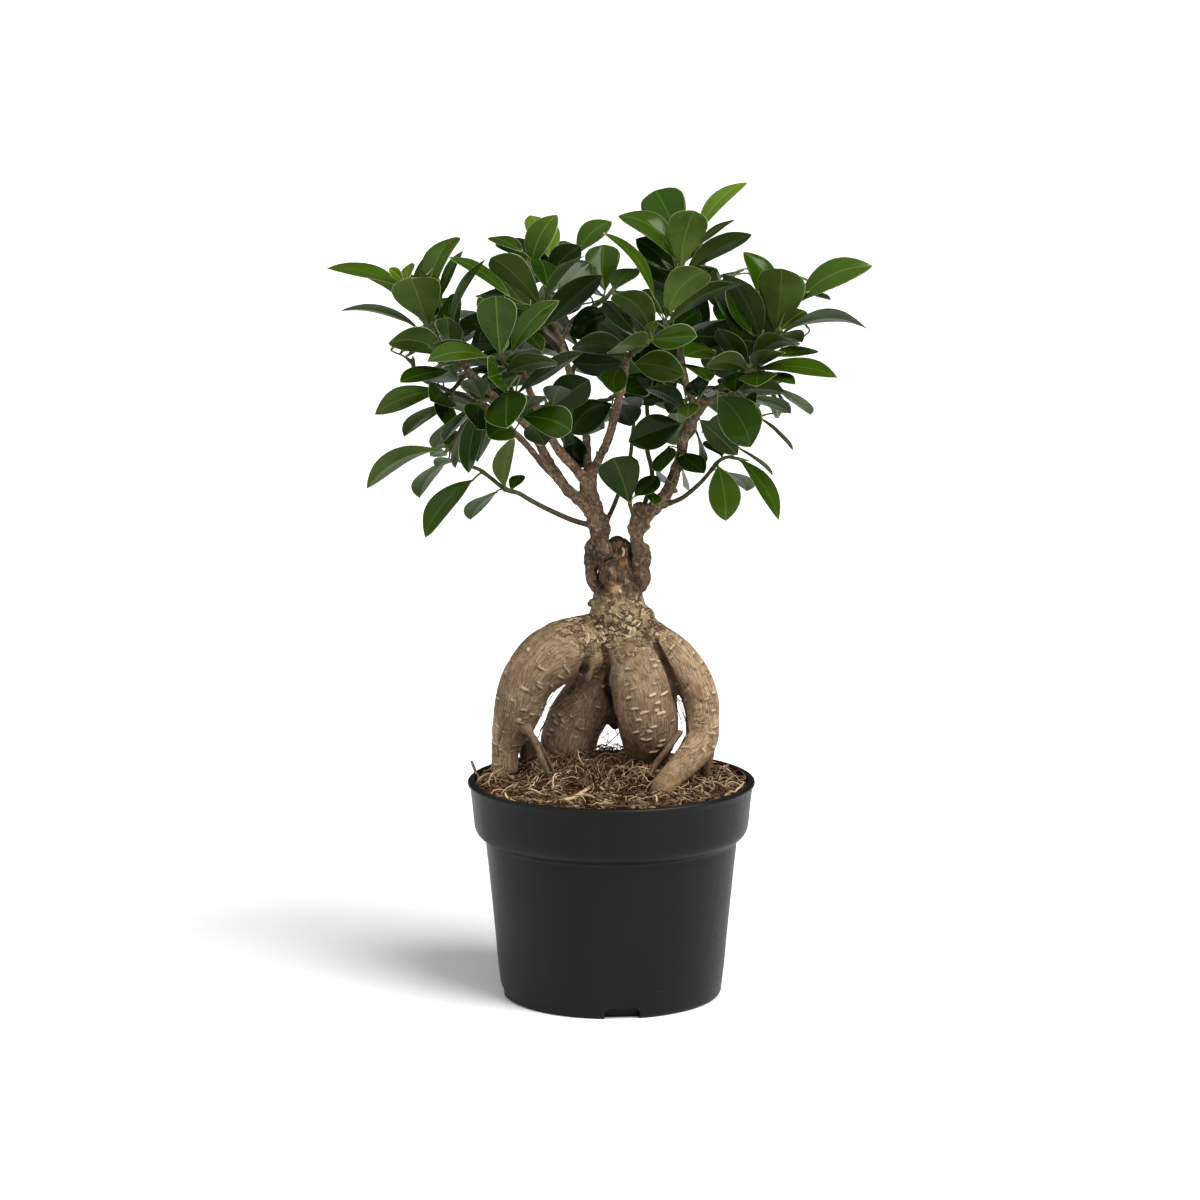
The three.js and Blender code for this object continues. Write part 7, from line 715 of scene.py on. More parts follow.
# ------------------------------------------------------------------ meshes
def mesh_object(name, verts, faces, mats, attrs=None, index=None, smooth=True, sharp=None):
    """faces: a list of arrays with three or four columns, or one array."""
    v = np.asarray(verts, float).copy()
    v[:, 0] += PLACE[0]
    v[:, 1] += PLACE[1]
    v *= 0.001
    groups = faces if isinstance(faces, list) else [faces]
    loops = np.concatenate([g.reshape(-1) for g in groups]).astype(np.int32)
    sizes = np.concatenate([np.full(len(g), g.shape[1]) for g in groups]).astype(np.int32)
    me = bpy.data.meshes.new(name)
    me.vertices.add(len(v))
    me.vertices.foreach_set("co", v.astype(np.float32).reshape(-1))
    me.loops.add(len(loops))
    me.loops.foreach_set("vertex_index", loops)
    me.polygons.add(len(sizes))
    me.polygons.foreach_set("loop_start", np.concatenate([[0], np.cumsum(sizes)[:-1]]).astype(np.int32))
    me.polygons.foreach_set("loop_total", sizes)
    for m in mats:
        me.materials.append(m)
    if index is not None:
        me.polygons.foreach_set("material_index", np.asarray(index, np.int32))
    me.update(calc_edges=True)
    for key, val in (attrs or {}).items():
        val = np.asarray(val, np.float32)
        a = me.attributes.new(key, "FLOAT_VECTOR" if val.ndim == 2 else "FLOAT", "POINT")
        a.data.foreach_set("vector" if val.ndim == 2 else "value", val.reshape(-1))
    me.polygons.foreach_set("use_smooth", np.full(len(sizes), bool(smooth)))
    if sharp:
        me.set_sharp_from_angle(angle=math.radians(sharp))
    me.validate()
    ob = bpy.data.objects.new(name, me)
    bpy.context.scene.collection.objects.link(ob)
    return ob


class Bag:
    """Gathers many small closed shapes into one mesh."""

    def __init__(self):
        self.v, self.q, self.t, self.a, self.b, self.iq, self.it, self.n = [], [], [], [], [], [], [], 0

    def add(self, v, quads, tris, a, b, mat):
        self.v.append(v)
        self.q.append(quads + self.n)
        self.t.append(tris + self.n)
        self.a.append(a)
        self.b.append(b)
        self.iq.append(np.full(len(quads), mat))
        self.it.append(np.full(len(tris), mat))
        self.n += len(v)

    def make(self, name, mats, keys, sharp=None):
        return mesh_object(
            name, np.vstack(self.v), [np.vstack(self.q), np.vstack(self.t)], mats,
            {keys[0]: np.vstack(self.a), keys[1]: np.vstack(self.b)}, np.concatenate(self.iq + self.it), sharp=sharp,
        )


def tube(P, R, sides, tip=False):
    """A round closed tube: points, four-sided faces, three-sided faces, and for each point the way round (mm) and along (mm)."""
    D, N, B = frames(P)
    ang = np.arange(sides) / sides * 2 * np.pi
    ring = np.cos(ang)[None, :, None] * N[:, None, :] + np.sin(ang)[None, :, None] * B[:, None, :]
    v = (P[:, None, :] + ring * R[:, None, None]).reshape(-1, 3)
    n = len(P)
    j = np.arange(sides)
    k = (j + 1) % sides
    q = np.vstack([np.stack([i * sides + j, i * sides + k, (i + 1) * sides + k, (i + 1) * sides + j], 1) for i in range(n - 1)])
    v = np.vstack([v, P[0] - D[0] * R[0] * 0.3, P[-1] + D[-1] * R[-1] * (1.0 if tip else 0.4)])
    t = np.vstack([np.stack([k, j, np.full(sides, n * sides)], 1), np.stack([(n - 1) * sides + j, (n - 1) * sides + k, np.full(sides, n * sides + 1)], 1)])
    S = np.concatenate([[0], np.cumsum(np.linalg.norm(np.diff(P, axis=0), axis=1))])
    u = np.concatenate([(np.tile(ang, (n, 1)) * R[:, None]).reshape(-1), [0, 0]])
    s = np.concatenate([np.repeat(S, sides), [S[0], S[-1]]])
    return v, q, t, u, s


# ------------------------------------------------------------------ materials
class Tree:
    """Short ways to write a node material."""

    def __init__(self, name, rough=0.6, **fixed):
        self.m = bpy.data.materials.new(name)
        self.m.use_nodes = True
        self.t = self.m.node_tree
        self.shader = self.t.nodes["Principled BSDF"]
        self.shader.inputs["Roughness"].default_value = rough
        for k, v in fixed.items():
            self.shader.inputs[k.replace("_", " ")].default_value = v

    def node(self, kind, **props):
        n = self.t.nodes.new("ShaderNode" + kind)
        for k, v in props.items():
            setattr(n, k, v)
        return n

    def put(self, sock, value):
        if hasattr(value, "links"):
            self.t.links.new(value, sock)
        elif isinstance(value, (tuple, list)) and len(value) == 3 and sock.type == "RGBA":
            sock.default_value = (*value, 1)
        else:
            sock.default_value = value

    def attr(self, name):
        n = self.node("Attribute", attribute_name=name)
        return n.outputs["Vector"]

    def split(self, v):
        n = self.node("SeparateXYZ")
        self.put(n.inputs[0], v)
        return n.outputs[0], n.outputs[1], n.outputs[2]

    def join(self, x, y, z):
        n = self.node("CombineXYZ")
        for i, q in enumerate((x, y, z)):
            self.put(n.inputs[i], q)
        return n.outputs[0]

    def place(self):
        n = self.node("NewGeometry")
        return n.outputs["Position"]

    def local(self):
        return self.node("TexCoord").outputs["Object"]

    def scale(self, v, s):
        n = self.node("VectorMath", operation="MULTIPLY")
        self.put(n.inputs[0], v)
        n.inputs[1].default_value = s if isinstance(s, tuple) else (s, s, s)
        return n.outputs[0]

    def plus(self, a, b):
        n = self.node("VectorMath", operation="ADD")
        self.put(n.inputs[0], a)
        self.put(n.inputs[1], b)
        return n.outputs[0]

    def noise(self, v, scale, detail=3.0, rough=0.55, color=False):
        n = self.node("TexNoise")
        self.put(n.inputs["Vector"], v)
        n.inputs["Scale"].default_value = scale
        n.inputs["Detail"].default_value = detail
        n.inputs["Roughness"].default_value = rough
        return n.outputs["Color" if color else "Fac"]

    def cells(self, v, scale, feature="F1", rand=1.0, out="Distance"):
        n = self.node("TexVoronoi", feature=feature)
        self.put(n.inputs["Vector"], v)
        n.inputs["Scale"].default_value = scale
        n.inputs["Randomness"].default_value = rand
        return n.outputs[out]

    def math(self, op, a, b=0.0, c=None, clamp=False):
        n = self.node("Math", operation=op, use_clamp=clamp)
        self.put(n.inputs[0], a)
        self.put(n.inputs[1], b)
        if c is not None:
            self.put(n.inputs[2], c)
        return n.outputs[0]

    def span(self, v, a, b, c=0.0, d=1.0, smooth=True):
        n = self.node("MapRange", interpolation_type="SMOOTHSTEP" if smooth else "LINEAR")
        self.put(n.inputs["Value"], v)
        for k, x in zip(("From Min", "From Max", "To Min", "To Max"), (a, b, c, d)):
            n.inputs[k].default_value = x
        return n.outputs[0]

    def mix(self, f, a, b, blend="MIX"):
        n = self.node("Mix", data_type="RGBA", blend_type=blend)
        self.put(n.inputs[0], f)
        self.put(n.inputs[6], a)
        self.put(n.inputs[7], b)
        return n.outputs[2]

    def bump(self, height, distance, strength=1.0):
        n = self.node("Bump")
        n.inputs["Strength"].default_value = strength
        n.inputs["Distance"].default_value = distance
        self.put(n.inputs["Height"], height)
        self.put(self.shader.inputs["Normal"], n.outputs[0])

    def color(self, c):
        self.put(self.shader.inputs["Base Color"], c)

    def rough(self, r):
        self.put(self.shader.inputs["Roughness"], r)


def pot_material():
    t = Tree("pot_plastic", 0.4)
    t.shader.inputs["Specular IOR Level"].default_value = 0.145
    p = t.local()
    fine = t.noise(p, 900.0, 2.0)
    broad = t.noise(t.scale(p, (1, 1, 0.35)), 22.0, 4.0, 0.6)
    streak = t.noise(t.scale(p, (1, 1, 0.06)), 160.0, 3.0)
    c = t.mix(t.span(broad, 0.35, 0.7), (0.0033, 0.0032, 0.0034), (0.0045, 0.0043, 0.0045))
    c = t.mix(t.span(streak, 0.55, 0.8, 0.0, 0.25), c, (0.0072, 0.0070, 0.0072))
    t.color(c)
    t.rough(t.math("ADD", t.span(broad, 0.3, 0.75, 0.36, 0.47), t.span(fine, 0.3, 0.7, -0.03, 0.05)))
    t.bump(t.math("ADD", fine, t.math("MULTIPLY", streak, 0.8)), 0.00003, 0.6)
    return t.m


def soil_material():
    t = Tree("coir_soil", 0.9)
    t.shader.inputs["Specular IOR Level"].default_value = 0.08
    p = t.local()
    tone, strand_shade, kind = t.split(t.attr("tone"))
    n1 = t.noise(p, 420.0, 5.0, 0.65)
    n2 = t.noise(p, 90.0, 3.0)
    ground = t.mix(t.span(n1, 0.40, 0.64), (0.0043, 0.0017, 0.0006), (0.1023, 0.0446, 0.0175))
    ground = t.mix(t.span(n2, 0.42, 0.65, 0.0, 0.45), ground, (0.0186, 0.0070, 0.0024))
    strand = t.mix(tone, (0.0465, 0.0149, 0.0042), (0.62, 0.45, 0.27))
    strand = t.mix(t.span(n1, 0.45, 0.75, 0.0, 0.35), strand, (0.0310, 0.0112, 0.0035))
    c = t.mix(kind, ground, strand)
    # painted shade on the lower strands
    t.color(t.mix(strand_shade, c, (0.0074, 0.0023, 0.0007)))
    t.bump(t.math("ADD", n1, t.noise(p, 1500.0, 3.0)), 0.0006, 0.8)
    return t.m


def root_material():
    t = Tree("ginseng_root_bark", 0.62)
    t.shader.inputs["Specular IOR Level"].default_value = 0.22
    g = t.attr("grain")
    p = t.local()
    pale, dark, flaky = t.split(t.attr("mark"))
    wound, dirt_and_shade, crease_shade = t.split(t.attr("mark2"))
    big = t.noise(p, 45.0, 3.0)
    mid = t.noise(p, 170.0, 4.0, 0.6)
    warp = t.noise(p, 260.0, 2.0, color=True)
    gw = t.plus(g, t.scale(warp, 1.3))
    fibre = t.noise(t.scale(gw, (1.6, 0.20, 1.0)), 1.0, 3.0, 0.65)
    fine = t.noise(t.scale(gw, (3.2, 0.5, 1.0)), 1.0, 3.0, 0.7)
    c = t.mix(t.span(big, 0.35, 0.66), (0.1420, 0.0851, 0.0432), (0.2379, 0.1629, 0.0948))
    c = t.mix(t.span(mid, 0.45, 0.72, 0.0, 0.75), c, (0.3124, 0.2327, 0.1440))
    c = t.mix(t.span(fibre, 0.38, 0.52, 0.70, 0.0), c, (0.0604, 0.0319, 0.0144))
    c = t.mix(t.span(fibre, 0.54, 0.68, 0.0, 0.50), c, (0.3976, 0.2993, 0.1920))
    c = t.mix(t.span(fine, 0.52, 0.70, 0.0, 0.50), c, (0.0639, 0.0346, 0.0162))
    # short dashes across the grain: a pale raised lip with a dark line under it, the dark line painted shadow
    dash_at = t.plus(t.scale(gw, (0.105, 1.0, 1.0)), (0.0, 0.0, 0.0))
    d1 = t.cells(t.scale(dash_at, (1.0, 0.58, 1.0)), 1.0)
    pick = t.cells(t.scale(dash_at, (1.0, 0.58, 1.0)), 1.0, out="Color")
    pr, pg, pb = t.split(pick)
    keep = t.span(pr, 0.50, 0.57)
    line = t.math("MULTIPLY", t.span(d1, 0.10, 0.20, 1.0, 0.0), keep)
    dash_shadow = t.math("MULTIPLY", t.span(d1, 0.20, 0.34, 1.0, 0.0), keep)
    open_bark = t.math("SUBTRACT", 1.0, flaky, clamp=True)
    line = t.math("MULTIPLY", line, open_bark)
    dash_shadow = t.math("MULTIPLY", dash_shadow, open_bark)
    c = t.mix(t.math("MULTIPLY", dash_shadow, 0.72), c, (0.0532, 0.0279, 0.0126))
    c = t.mix(t.math("MULTIPLY", line, 0.62), c, (0.3976, 0.2926, 0.1800))
    # plates of old bark round the neck, with dark curly cracks
    wob = t.plus(p, t.scale(t.noise(p, 230.0, 2.0, color=True), 0.010))
    plate = t.cells(wob, 210.0, "DISTANCE_TO_EDGE")
    plate2 = t.cells(wob, 430.0, "DISTANCE_TO_EDGE")
    tone = t.cells(wob, 210.0, "F1", out="Color")
    tr, tg, tb = t.split(tone)
    old = t.mix(tr, (0.1526, 0.0964, 0.0468), (0.3692, 0.2760, 0.1530))
    old = t.mix(t.span(mid, 0.4, 0.7, 0.0, 0.5), old, (0.2130, 0.1430, 0.0720))
    gap = t.math("MAXIMUM", t.span(plate, 0.02, 0.085, 1.0, 0.0), t.math("MULTIPLY", t.span(plate2, 0.015, 0.05, 0.55, 0.0), t.span(tg, 0.4, 0.6)))
    gap = t.math("MULTIPLY", gap, t.span(t.noise(p, 120.0, 2.0), 0.42, 0.56))
    old = t.mix(t.math("MULTIPLY", gap, 0.40), old, (0.0710, 0.0412, 0.0180))
    curl = None
    wave = t.plus(p, t.scale(t.noise(p, 300.0, 2.0, color=True), 0.0022))
    for stretch, size, cut in (((1.0, 1.0, 1.6), 150.0, 0.46), ((1.0, 1.0, 1.2), 235.0, 0.49)):
        n = t.noise(t.scale(wave, stretch), size, 1.0, 0.5)
        line_ = t.span(t.math("ABSOLUTE", t.math("SUBTRACT", n, 0.5)), 0.030, 0.058, 1.0, 0.0)
        edge_ = t.math("MULTIPLY", t.span(n, 0.555, 0.575), t.span(n, 0.60, 0.66, 1.0, 0.0))
        some = t.span(t.noise(t.scale(p, (1.0, 1.0, 1.2)), 110.0 + size * 0.1, 2.0), cut, cut + 0.05)
        line_, edge_ = t.math("MULTIPLY", line_, some), t.math("MULTIPLY", edge_, some)
        old = t.mix(t.math("MULTIPLY", edge_, 0.85), old, (0.4686, 0.3724, 0.2310))
        old = t.mix(t.math("MULTIPLY", line_, 0.88), old, (0.0440, 0.0226, 0.0084))
        curl = line_ if curl is None else t.math("MAXIMUM", curl, line_)
    c = t.mix(flaky, c, old)
    painted_light_level, low, cap = t.split(t.attr("tone"))
    ridgy = t.noise(t.scale(p, (1.0, 1.0, 0.45)), 520.0, 3.0, 0.7)
    brown = t.mix(t.span(mid, 0.35, 0.65), (0.0398, 0.0213, 0.0096), (0.1065, 0.0652, 0.0336))
    brown = t.mix(t.span(ridgy, 0.38, 0.50, 0.92, 0.0), brown, (0.0156, 0.0073, 0.0030))
    brown = t.mix(t.span(ridgy, 0.56, 0.68, 0.0, 0.8), brown, (0.2840, 0.1928, 0.1110))
    c = t.mix(cap, c, brown)
    # painted shade in the creases where roots meet
    c = t.mix(crease_shade, c, (0.0426, 0.0226, 0.0102), "MIX")
    c = t.mix(t.math("MULTIPLY", dark, 0.88), c, (0.0213, 0.0106, 0.0048))
    px, py, pz = t.split(p)
    fresh_cut = t.mix(t.span(mid, 0.42, 0.58), (0.1491, 0.0732, 0.0360), (0.3976, 0.2660, 0.1620))
    fresh_cut = t.mix(t.span(pz, 0.2225, 0.2255), fresh_cut, t.mix(t.span(mid, 0.4, 0.6), (0.0852, 0.0319, 0.0084), (0.2982, 0.1197, 0.0300)))
    c = t.mix(wound, c, fresh_cut)
    # this channel darkens bark just above the soil, and adds painted shade on the undersides
    c = t.mix(t.math("MULTIPLY", dirt_and_shade, t.span(mid, 0.3, 0.6, 0.4, 1.0)), c, (0.0426, 0.0199, 0.0084))
    # painted light and shade: the TONE level scales the bark colour, dark at 0.3 and lighter at 1.3
    tint = t.mix(t.span(painted_light_level, 0.3, 1.3, 0.0, 1.0, False), (0.24, 0.19, 0.15), (1.3, 1.3, 1.3))
    c = t.mix(1.0, c, tint, "MULTIPLY")
    c = t.mix(t.math("MULTIPLY", low, t.span(mid, 0.35, 0.6)), c, (0.2130, 0.1363, 0.0570))
    speck = t.noise(p, 950.0, 3.0, 0.7)
    c = t.mix(t.math("MULTIPLY", t.span(speck, 0.56, 0.72, 0.0, 0.45), t.span(flaky, 0.0, 1.0, 1.0, 0.35)), c, (0.0426, 0.0226, 0.0108))
    c = t.mix(t.span(speck, 0.42, 0.30, 0.0, 0.22), c, (0.2982, 0.2195, 0.1320))
    c = t.mix(t.span(pale, 0.25, 0.8, 0.0, 0.70), c, (0.58, 0.46, 0.31))
    t.color(c)
    t.rough(t.span(fine, 0.3, 0.7, 0.50, 0.72))
    h = t.math("MULTIPLY", fibre, 0.55)
    h = t.math("ADD", h, t.math("MULTIPLY", fine, 0.30))
    h = t.math("ADD", h, t.math("MULTIPLY", line, 0.55))
    h = t.math("SUBTRACT", h, t.math("MULTIPLY", dash_shadow, 0.35))
    h = t.math("SUBTRACT", h, t.math("MULTIPLY", t.math("MAXIMUM", t.math("MULTIPLY", gap, 0.5), curl), t.math("MULTIPLY", flaky, 1.2)))
    t.bump(h, 0.0009, 0.9)
    return t.m


def scion_material():
    t = Tree("scion_bark", 0.75)
    t.shader.inputs["Specular IOR Level"].default_value = 0.3
    g = t.attr("grain")
    p = t.local()
    pale, dark, young = t.split(t.attr("mark"))
    warp = t.noise(p, 400.0, 2.0, color=True)
    gw = t.plus(g, t.scale(warp, 0.9))
    big = t.noise(p, 85.0, 3.0)
    mid = t.noise(p, 430.0, 4.0, 0.75)
    fibre = t.noise(t.scale(gw, (1.1, 0.30, 1.0)), 1.0, 4.0, 0.75)
    ringy = t.noise(t.scale(gw, (0.30, 1.7, 1.0)), 1.0, 3.0, 0.6)
    c = t.mix(t.span(big, 0.36, 0.64), (0.0779, 0.0450, 0.0250), (0.1419, 0.0900, 0.0510))
    c = t.mix(t.span(mid, 0.50, 0.64, 0.0, 0.85), c, (0.3432, 0.2400, 0.1404))
    c = t.mix(t.span(fibre, 0.36, 0.52, 0.92, 0.0), c, (0.0185, 0.0084, 0.0036))
    rusty = t.noise(p, 210.0, 2.0)
    c = t.mix(t.span(rusty, 0.54, 0.68, 0.0, 0.55), c, (0.1518, 0.0660, 0.0322))
    c = t.mix(t.span(ringy, 0.60, 0.78, 0.0, 0.55), c, (0.2640, 0.1860, 0.1144))
    # small pale corky dots
    dots = t.cells(t.scale(gw, (0.75, 0.95, 1.0)), 1.0)
    pick = t.split(t.cells(t.scale(gw, (0.75, 0.95, 1.0)), 1.0, out="Color"))[0]
    dot = t.math("MULTIPLY", t.span(dots, 0.14, 0.26, 1.0, 0.0), t.span(pick, 0.55, 0.62))
    c = t.mix(t.math("MULTIPLY", dot, 0.65), c, (0.3102, 0.2220, 0.1352))
    green = t.mix(t.span(mid, 0.35, 0.7), (0.0594, 0.0510, 0.0156), (0.1089, 0.0810, 0.0322))
    c = t.mix(t.math("MULTIPLY", young, 0.6), c, green)
    c = t.mix(t.math("MULTIPLY", dark, 0.9), c, (0.0106, 0.0054, 0.0026))
    c = t.mix(t.math("MULTIPLY", pale, 0.8), c, (0.3432, 0.2400, 0.1404))
    t.color(c)
    h = t.math("ADD", t.math("MULTIPLY", fibre, 0.7), t.math("MULTIPLY", mid, 0.5))
    h = t.math("ADD", h, t.math("MULTIPLY", ringy, 0.35))
    h = t.math("ADD", h, t.math("MULTIPLY", dot, 0.5))
    t.bump(h, 0.0006, 0.8)
    return t.m


def leaf_material():
    t = Tree("ficus_leaf", 0.30)
    t.shader.inputs["Specular IOR Level"].default_value = 0.12
    t.shader.inputs["Specular Tint"].default_value = (0.93, 1.0, 0.82, 1)
    p = t.local()
    across, length, half = t.split(t.attr("blade"))
    tint, rand, under = t.split(t.attr("leaf"))
    tint = t.span(tint, 0.18, 0.95, 0.0, 1.0, False)
    # the whole part of this channel is the leaf's painted light level, 0 inside the crown to 1 outside; the fraction is
    # a random number
    painted_crown_light = t.math("MULTIPLY", t.math("FLOOR", rand), 0.1)
    rand = t.math("FRACT", rand)
    a = t.math("ABSOLUTE", across)
    wob = t.noise(p, 240.0, 2.0)
    big = t.noise(p, 60.0, 3.0)
    # each leaf's tint mixes dark and pale green: partly the leaf's own tone, partly painted light and shade
    dark = t.mix(rand, (0.0036, 0.0160, 0.0002), (0.0103, 0.0319, 0.0004))
    young_and_lit_green = t.mix(rand, (0.0360, 0.0715, 0.0020), (0.0675, 0.1128, 0.0055))
    c = t.mix(tint, dark, young_and_lit_green)
    c = t.mix(t.span(big, 0.38, 0.68, 0.0, 0.35), c, t.mix(tint, (0.0171, 0.0418, 0.0015), (0.0765, 0.1265, 0.0085)))
    # side veins run outwards and forwards from the midrib
    q = t.math("SUBTRACT", length, t.math("MULTIPLY", a, 0.62))
    q = t.math("ADD", q, t.math("MULTIPLY", wob, 0.8))
    tri = t.math("PINGPONG", q, 1.55)
    vein = t.span(tri, 0.02, 0.34, 1.0, 0.0)
    vein = t.math("MULTIPLY", vein, t.span(t.math("SUBTRACT", half, a), 0.2, 2.2))
    tri2 = t.math("PINGPONG", t.math("ADD", q, 0.775), 0.775)
    small = t.math("MULTIPLY", t.span(tri2, 0.02, 0.2, 1.0, 0.0), 0.4)
    veins = t.math("MAXIMUM", vein, small)
    c = t.mix(t.math("MULTIPLY", veins, 0.10), c, t.mix(tint, (0.0315, 0.0633, 0.0055), (0.0945, 0.1595, 0.0150)))
    rib = t.span(a, 0.16, 0.50, 1.0, 0.0)
    c = t.mix(t.math("MULTIPLY", rib, 0.55), c, t.mix(tint, (0.0450, 0.0825, 0.0075), (0.1350, 0.2090, 0.0225)))
    # a pale rim round the blade: partly the leaf's own paler margin, partly a painted highlight on its edge
    pale_rim_and_highlight = t.span(t.math("SUBTRACT", half, a), 0.16, 0.62, 1.0, 0.0)
    c = t.mix(t.math("MULTIPLY", pale_rim_and_highlight, 0.88), c, t.mix(tint, (0.22, 0.27, 0.13), (0.28, 0.34, 0.14)))
    back = t.mix(t.span(big, 0.35, 0.65), t.mix(tint, (0.0117, 0.0286, 0.0022), (0.0428, 0.0737, 0.0085)), t.mix(tint, (0.0225, 0.0451, 0.0060), (0.0675, 0.1100, 0.0175)))
    back = t.mix(t.math("MULTIPLY", veins, 0.15), back, (0.0585, 0.0963, 0.0187))
    back = t.mix(t.math("MULTIPLY", rib, 0.7), back, (0.0855, 0.1320, 0.0250))
    c = t.mix(under, c, back)
    # painted shade: leaves inside the crown and lying flat are darkened, those outside brightened
    c = t.mix(1.0, c, t.mix(painted_crown_light, (0.22, 0.28, 0.22), (1.18, 1.18, 1.18)), "MULTIPLY")
    t.color(c)
    r = t.math("ADD", t.span(wob, 0.3, 0.7, 0.12, 0.20), t.math("MULTIPLY", under, 0.30))
    t.rough(r)
    h = t.math("SUBTRACT", t.math("MULTIPLY", big, 0.4), t.math("MULTIPLY", vein, 0.035))
    h = t.math("ADD", h, t.math("MULTIPLY", t.noise(p, 900.0, 2.0), 0.06))
    t.bump(h, 0.00016, 0.7)
    return t.m


def twig_material():
    t = Tree("green_twig", 0.5)
    t.shader.inputs["Specular IOR Level"].default_value = 0.2
    p = t.local()
    u, s, z = t.split(t.attr("blade"))
    age, rand, stalk = t.split(t.attr("leaf"))
    n = t.noise(p, 600.0, 4.0, 0.6)
    woody = t.mix(t.span(n, 0.3, 0.7), (0.0220, 0.0144, 0.0072), (0.0660, 0.0448, 0.0238))
    green = t.mix(t.span(n, 0.3, 0.7), (0.0264, 0.0312, 0.0079), (0.0594, 0.0660, 0.0180))
    c = t.mix(age, woody, green)
    c = t.mix(t.math("MULTIPLY", stalk, 0.8), c, t.mix(rand, (0.0484, 0.0720, 0.0122), (0.1056, 0.1280, 0.0306)))
    t.color(c)
    t.bump(n, 0.0002, 0.7)
    return t.m


POT, SOIL, ROOT, BARK, LEAF, TWIG = pot_material(), soil_material(), root_material(), scion_material(), leaf_material(), twig_material()


# ------------------------------------------------------------------ pot
def make_pot():
    """A lathe with the foot's notches raised in its rings, so that no boolean is needed."""
    turn, half, bevel = math.radians(-90 + 5.6), math.asin(9.25 / 57.5), math.radians(2.7)
    ang = []
    for k in range(4):
        c = turn + k * math.pi / 2
        ang += [c - half - 0.004, c - half, c - half + 0.003, c - half + bevel, c + half - bevel, c + half - 0.003, c + half, c + half + 0.004]
        for j in range(1, 6):
            ang.append(c - half + bevel + (2 * half - 2 * bevel) * j / 6)
        for j in range(1, 40):
            ang.append(c + half + 0.004 + (math.pi / 2 - 2 * half - 0.008) * j / 40)
    ang = np.array(sorted(a % (2 * math.pi) for a in ang))
    arc = lambda cx, cz, r, a0, a1, n: [(cx + r * math.cos(math.radians(a0 + (a1 - a0) * i / n)), cz + r * math.sin(math.radians(a0 + (a1 - a0) * i / n))) for i in range(n + 1)]
    prof = [(0.0, 4.5), (20.0, 4.5), (33.0, 4.5), (43.0, 4.5), (47.0, 4.5)] + arc(47.2, 3.1, 1.4, 90, 10, 4) + [(49.0, 0.9), (49.4, 0.2), (50.1, 0.0), (52.8, 0.0), (53.1, 0.0), (55.4, 0.0)]
    prof += arc(56.0, 2.2, 2.2, -90, -5, 6) + [(58.35, 3.8), (58.6, 5.5), (58.95, 9.0), (59.5, 13.5), (59.9, 17.9), (60.3, 22.2), (60.65, 26.6), (61.0, 31.0), (61.45, 35.3), (61.85, 39.6), (62.25, 44.0), (62.7, 48.3), (63.1, 52.7), (63.55, 57.0), (63.95, 61.3), (64.4, 65.7), (64.8, 70.0), (65.3, 74.3), (65.6, 77.0)]
    prof += [(65.85, 79.6), (65.95, 81.4), (66.0, 82.4), (66.4, 83.15), (67.2, 83.9), (68.3, 84.7), (69.5, 85.7), (70.5, 86.8), (71.2, 88.0), (71.65, 89.3), (71.95, 90.8), (72.2, 93.0), (72.5, 96.0), (72.75, 99.0), (73.0, 102.0), (73.35, 105.0), (73.65, 107.5), (73.9, 109.6), (74.05, 110.8), (74.3, 111.3), (74.6, 111.5)]
    prof += arc(74.05, 112.95, 1.3, -65, 100, 9) + [(73.3, 114.22), (72.6, 114.18)] + arc(72.35, 113.5, 0.7, 90, 175, 4) + [(71.5, 112.0), (71.45, 109.6), (71.3, 104.0), (70.6, 92.0), (69.0, 88.0), (64.0, 84.0), (0.0, 84.0)]
    prof = np.array(prof)
    n, m = len(ang), len(prof)
    rad = prof[1:-1, 0]
    V = np.zeros((m - 2, n, 3))
    V[:, :, 0] = rad[:, None] * np.cos(ang)
    V[:, :, 1] = rad[:, None] * np.sin(ang)
    V[:, :, 2] = prof[1:-1, 1][:, None]
    # notches: how high the foot is lifted at each angle
    lift = np.zeros(n)
    for k in range(4):
        c = turn + k * math.pi / 2
        off = np.abs((ang - c + math.pi) % (2 * math.pi) - math.pi)
        lift = np.maximum(lift, np.interp(off, [0, half - bevel, half - 0.0029, half - 0.0005], [6.0, 6.0, 3.6, 0.0]))
    for i in range(m - 2):
        if rad[i] > 52.9 and V[i, 0, 2] < 6:
            V[i, :, 2] = np.maximum(V[i, :, 2], lift * (1 if V[i, 0, 2] < 5 else 0))
            if V[i, 0, 2] < 5.6:
                V[i, :, 2] = np.maximum(V[i, :, 2], np.where(lift > 5.9, lift, 0))
    # the wall is not quite round, as a moulded pot never is
    P = V.reshape(-1, 3)
    w = 0.10 * noise_at(P, (26, 26, 60), 3) * ease(P[:, 2], 3, 20)
    P[:, :2] *= (1 + w / np.maximum(np.linalg.norm(P[:, :2], axis=1), 1))[:, None]
    # a small moulding nib on the collar and two faint ribs above the foot
    rr = np.linalg.norm(P[:, :2], axis=1)
    q = []
    for i in range(m - 3):
        j = np.arange(n)
        k = (j + 1) % n
        q.append(np.stack([i * n + j, i * n + k, (i + 1) * n + k, (i + 1) * n + j], 1))
    q = np.vstack(q)
    j = np.arange(n)
    k = (j + 1) % n
    P = np.vstack([P, [[0, 0, prof[0, 1]], [0, 0, prof[-1, 1]]]])
    a, b = len(P) - 2, len(P) - 1
    t = np.vstack([np.stack([k, j, np.full(n, a)], 1), np.stack([(m - 3) * n + j, (m - 3) * n + k, np.full(n, b)], 1)])
    bag_v, bag_q, bag_t = [P], [q], [t]
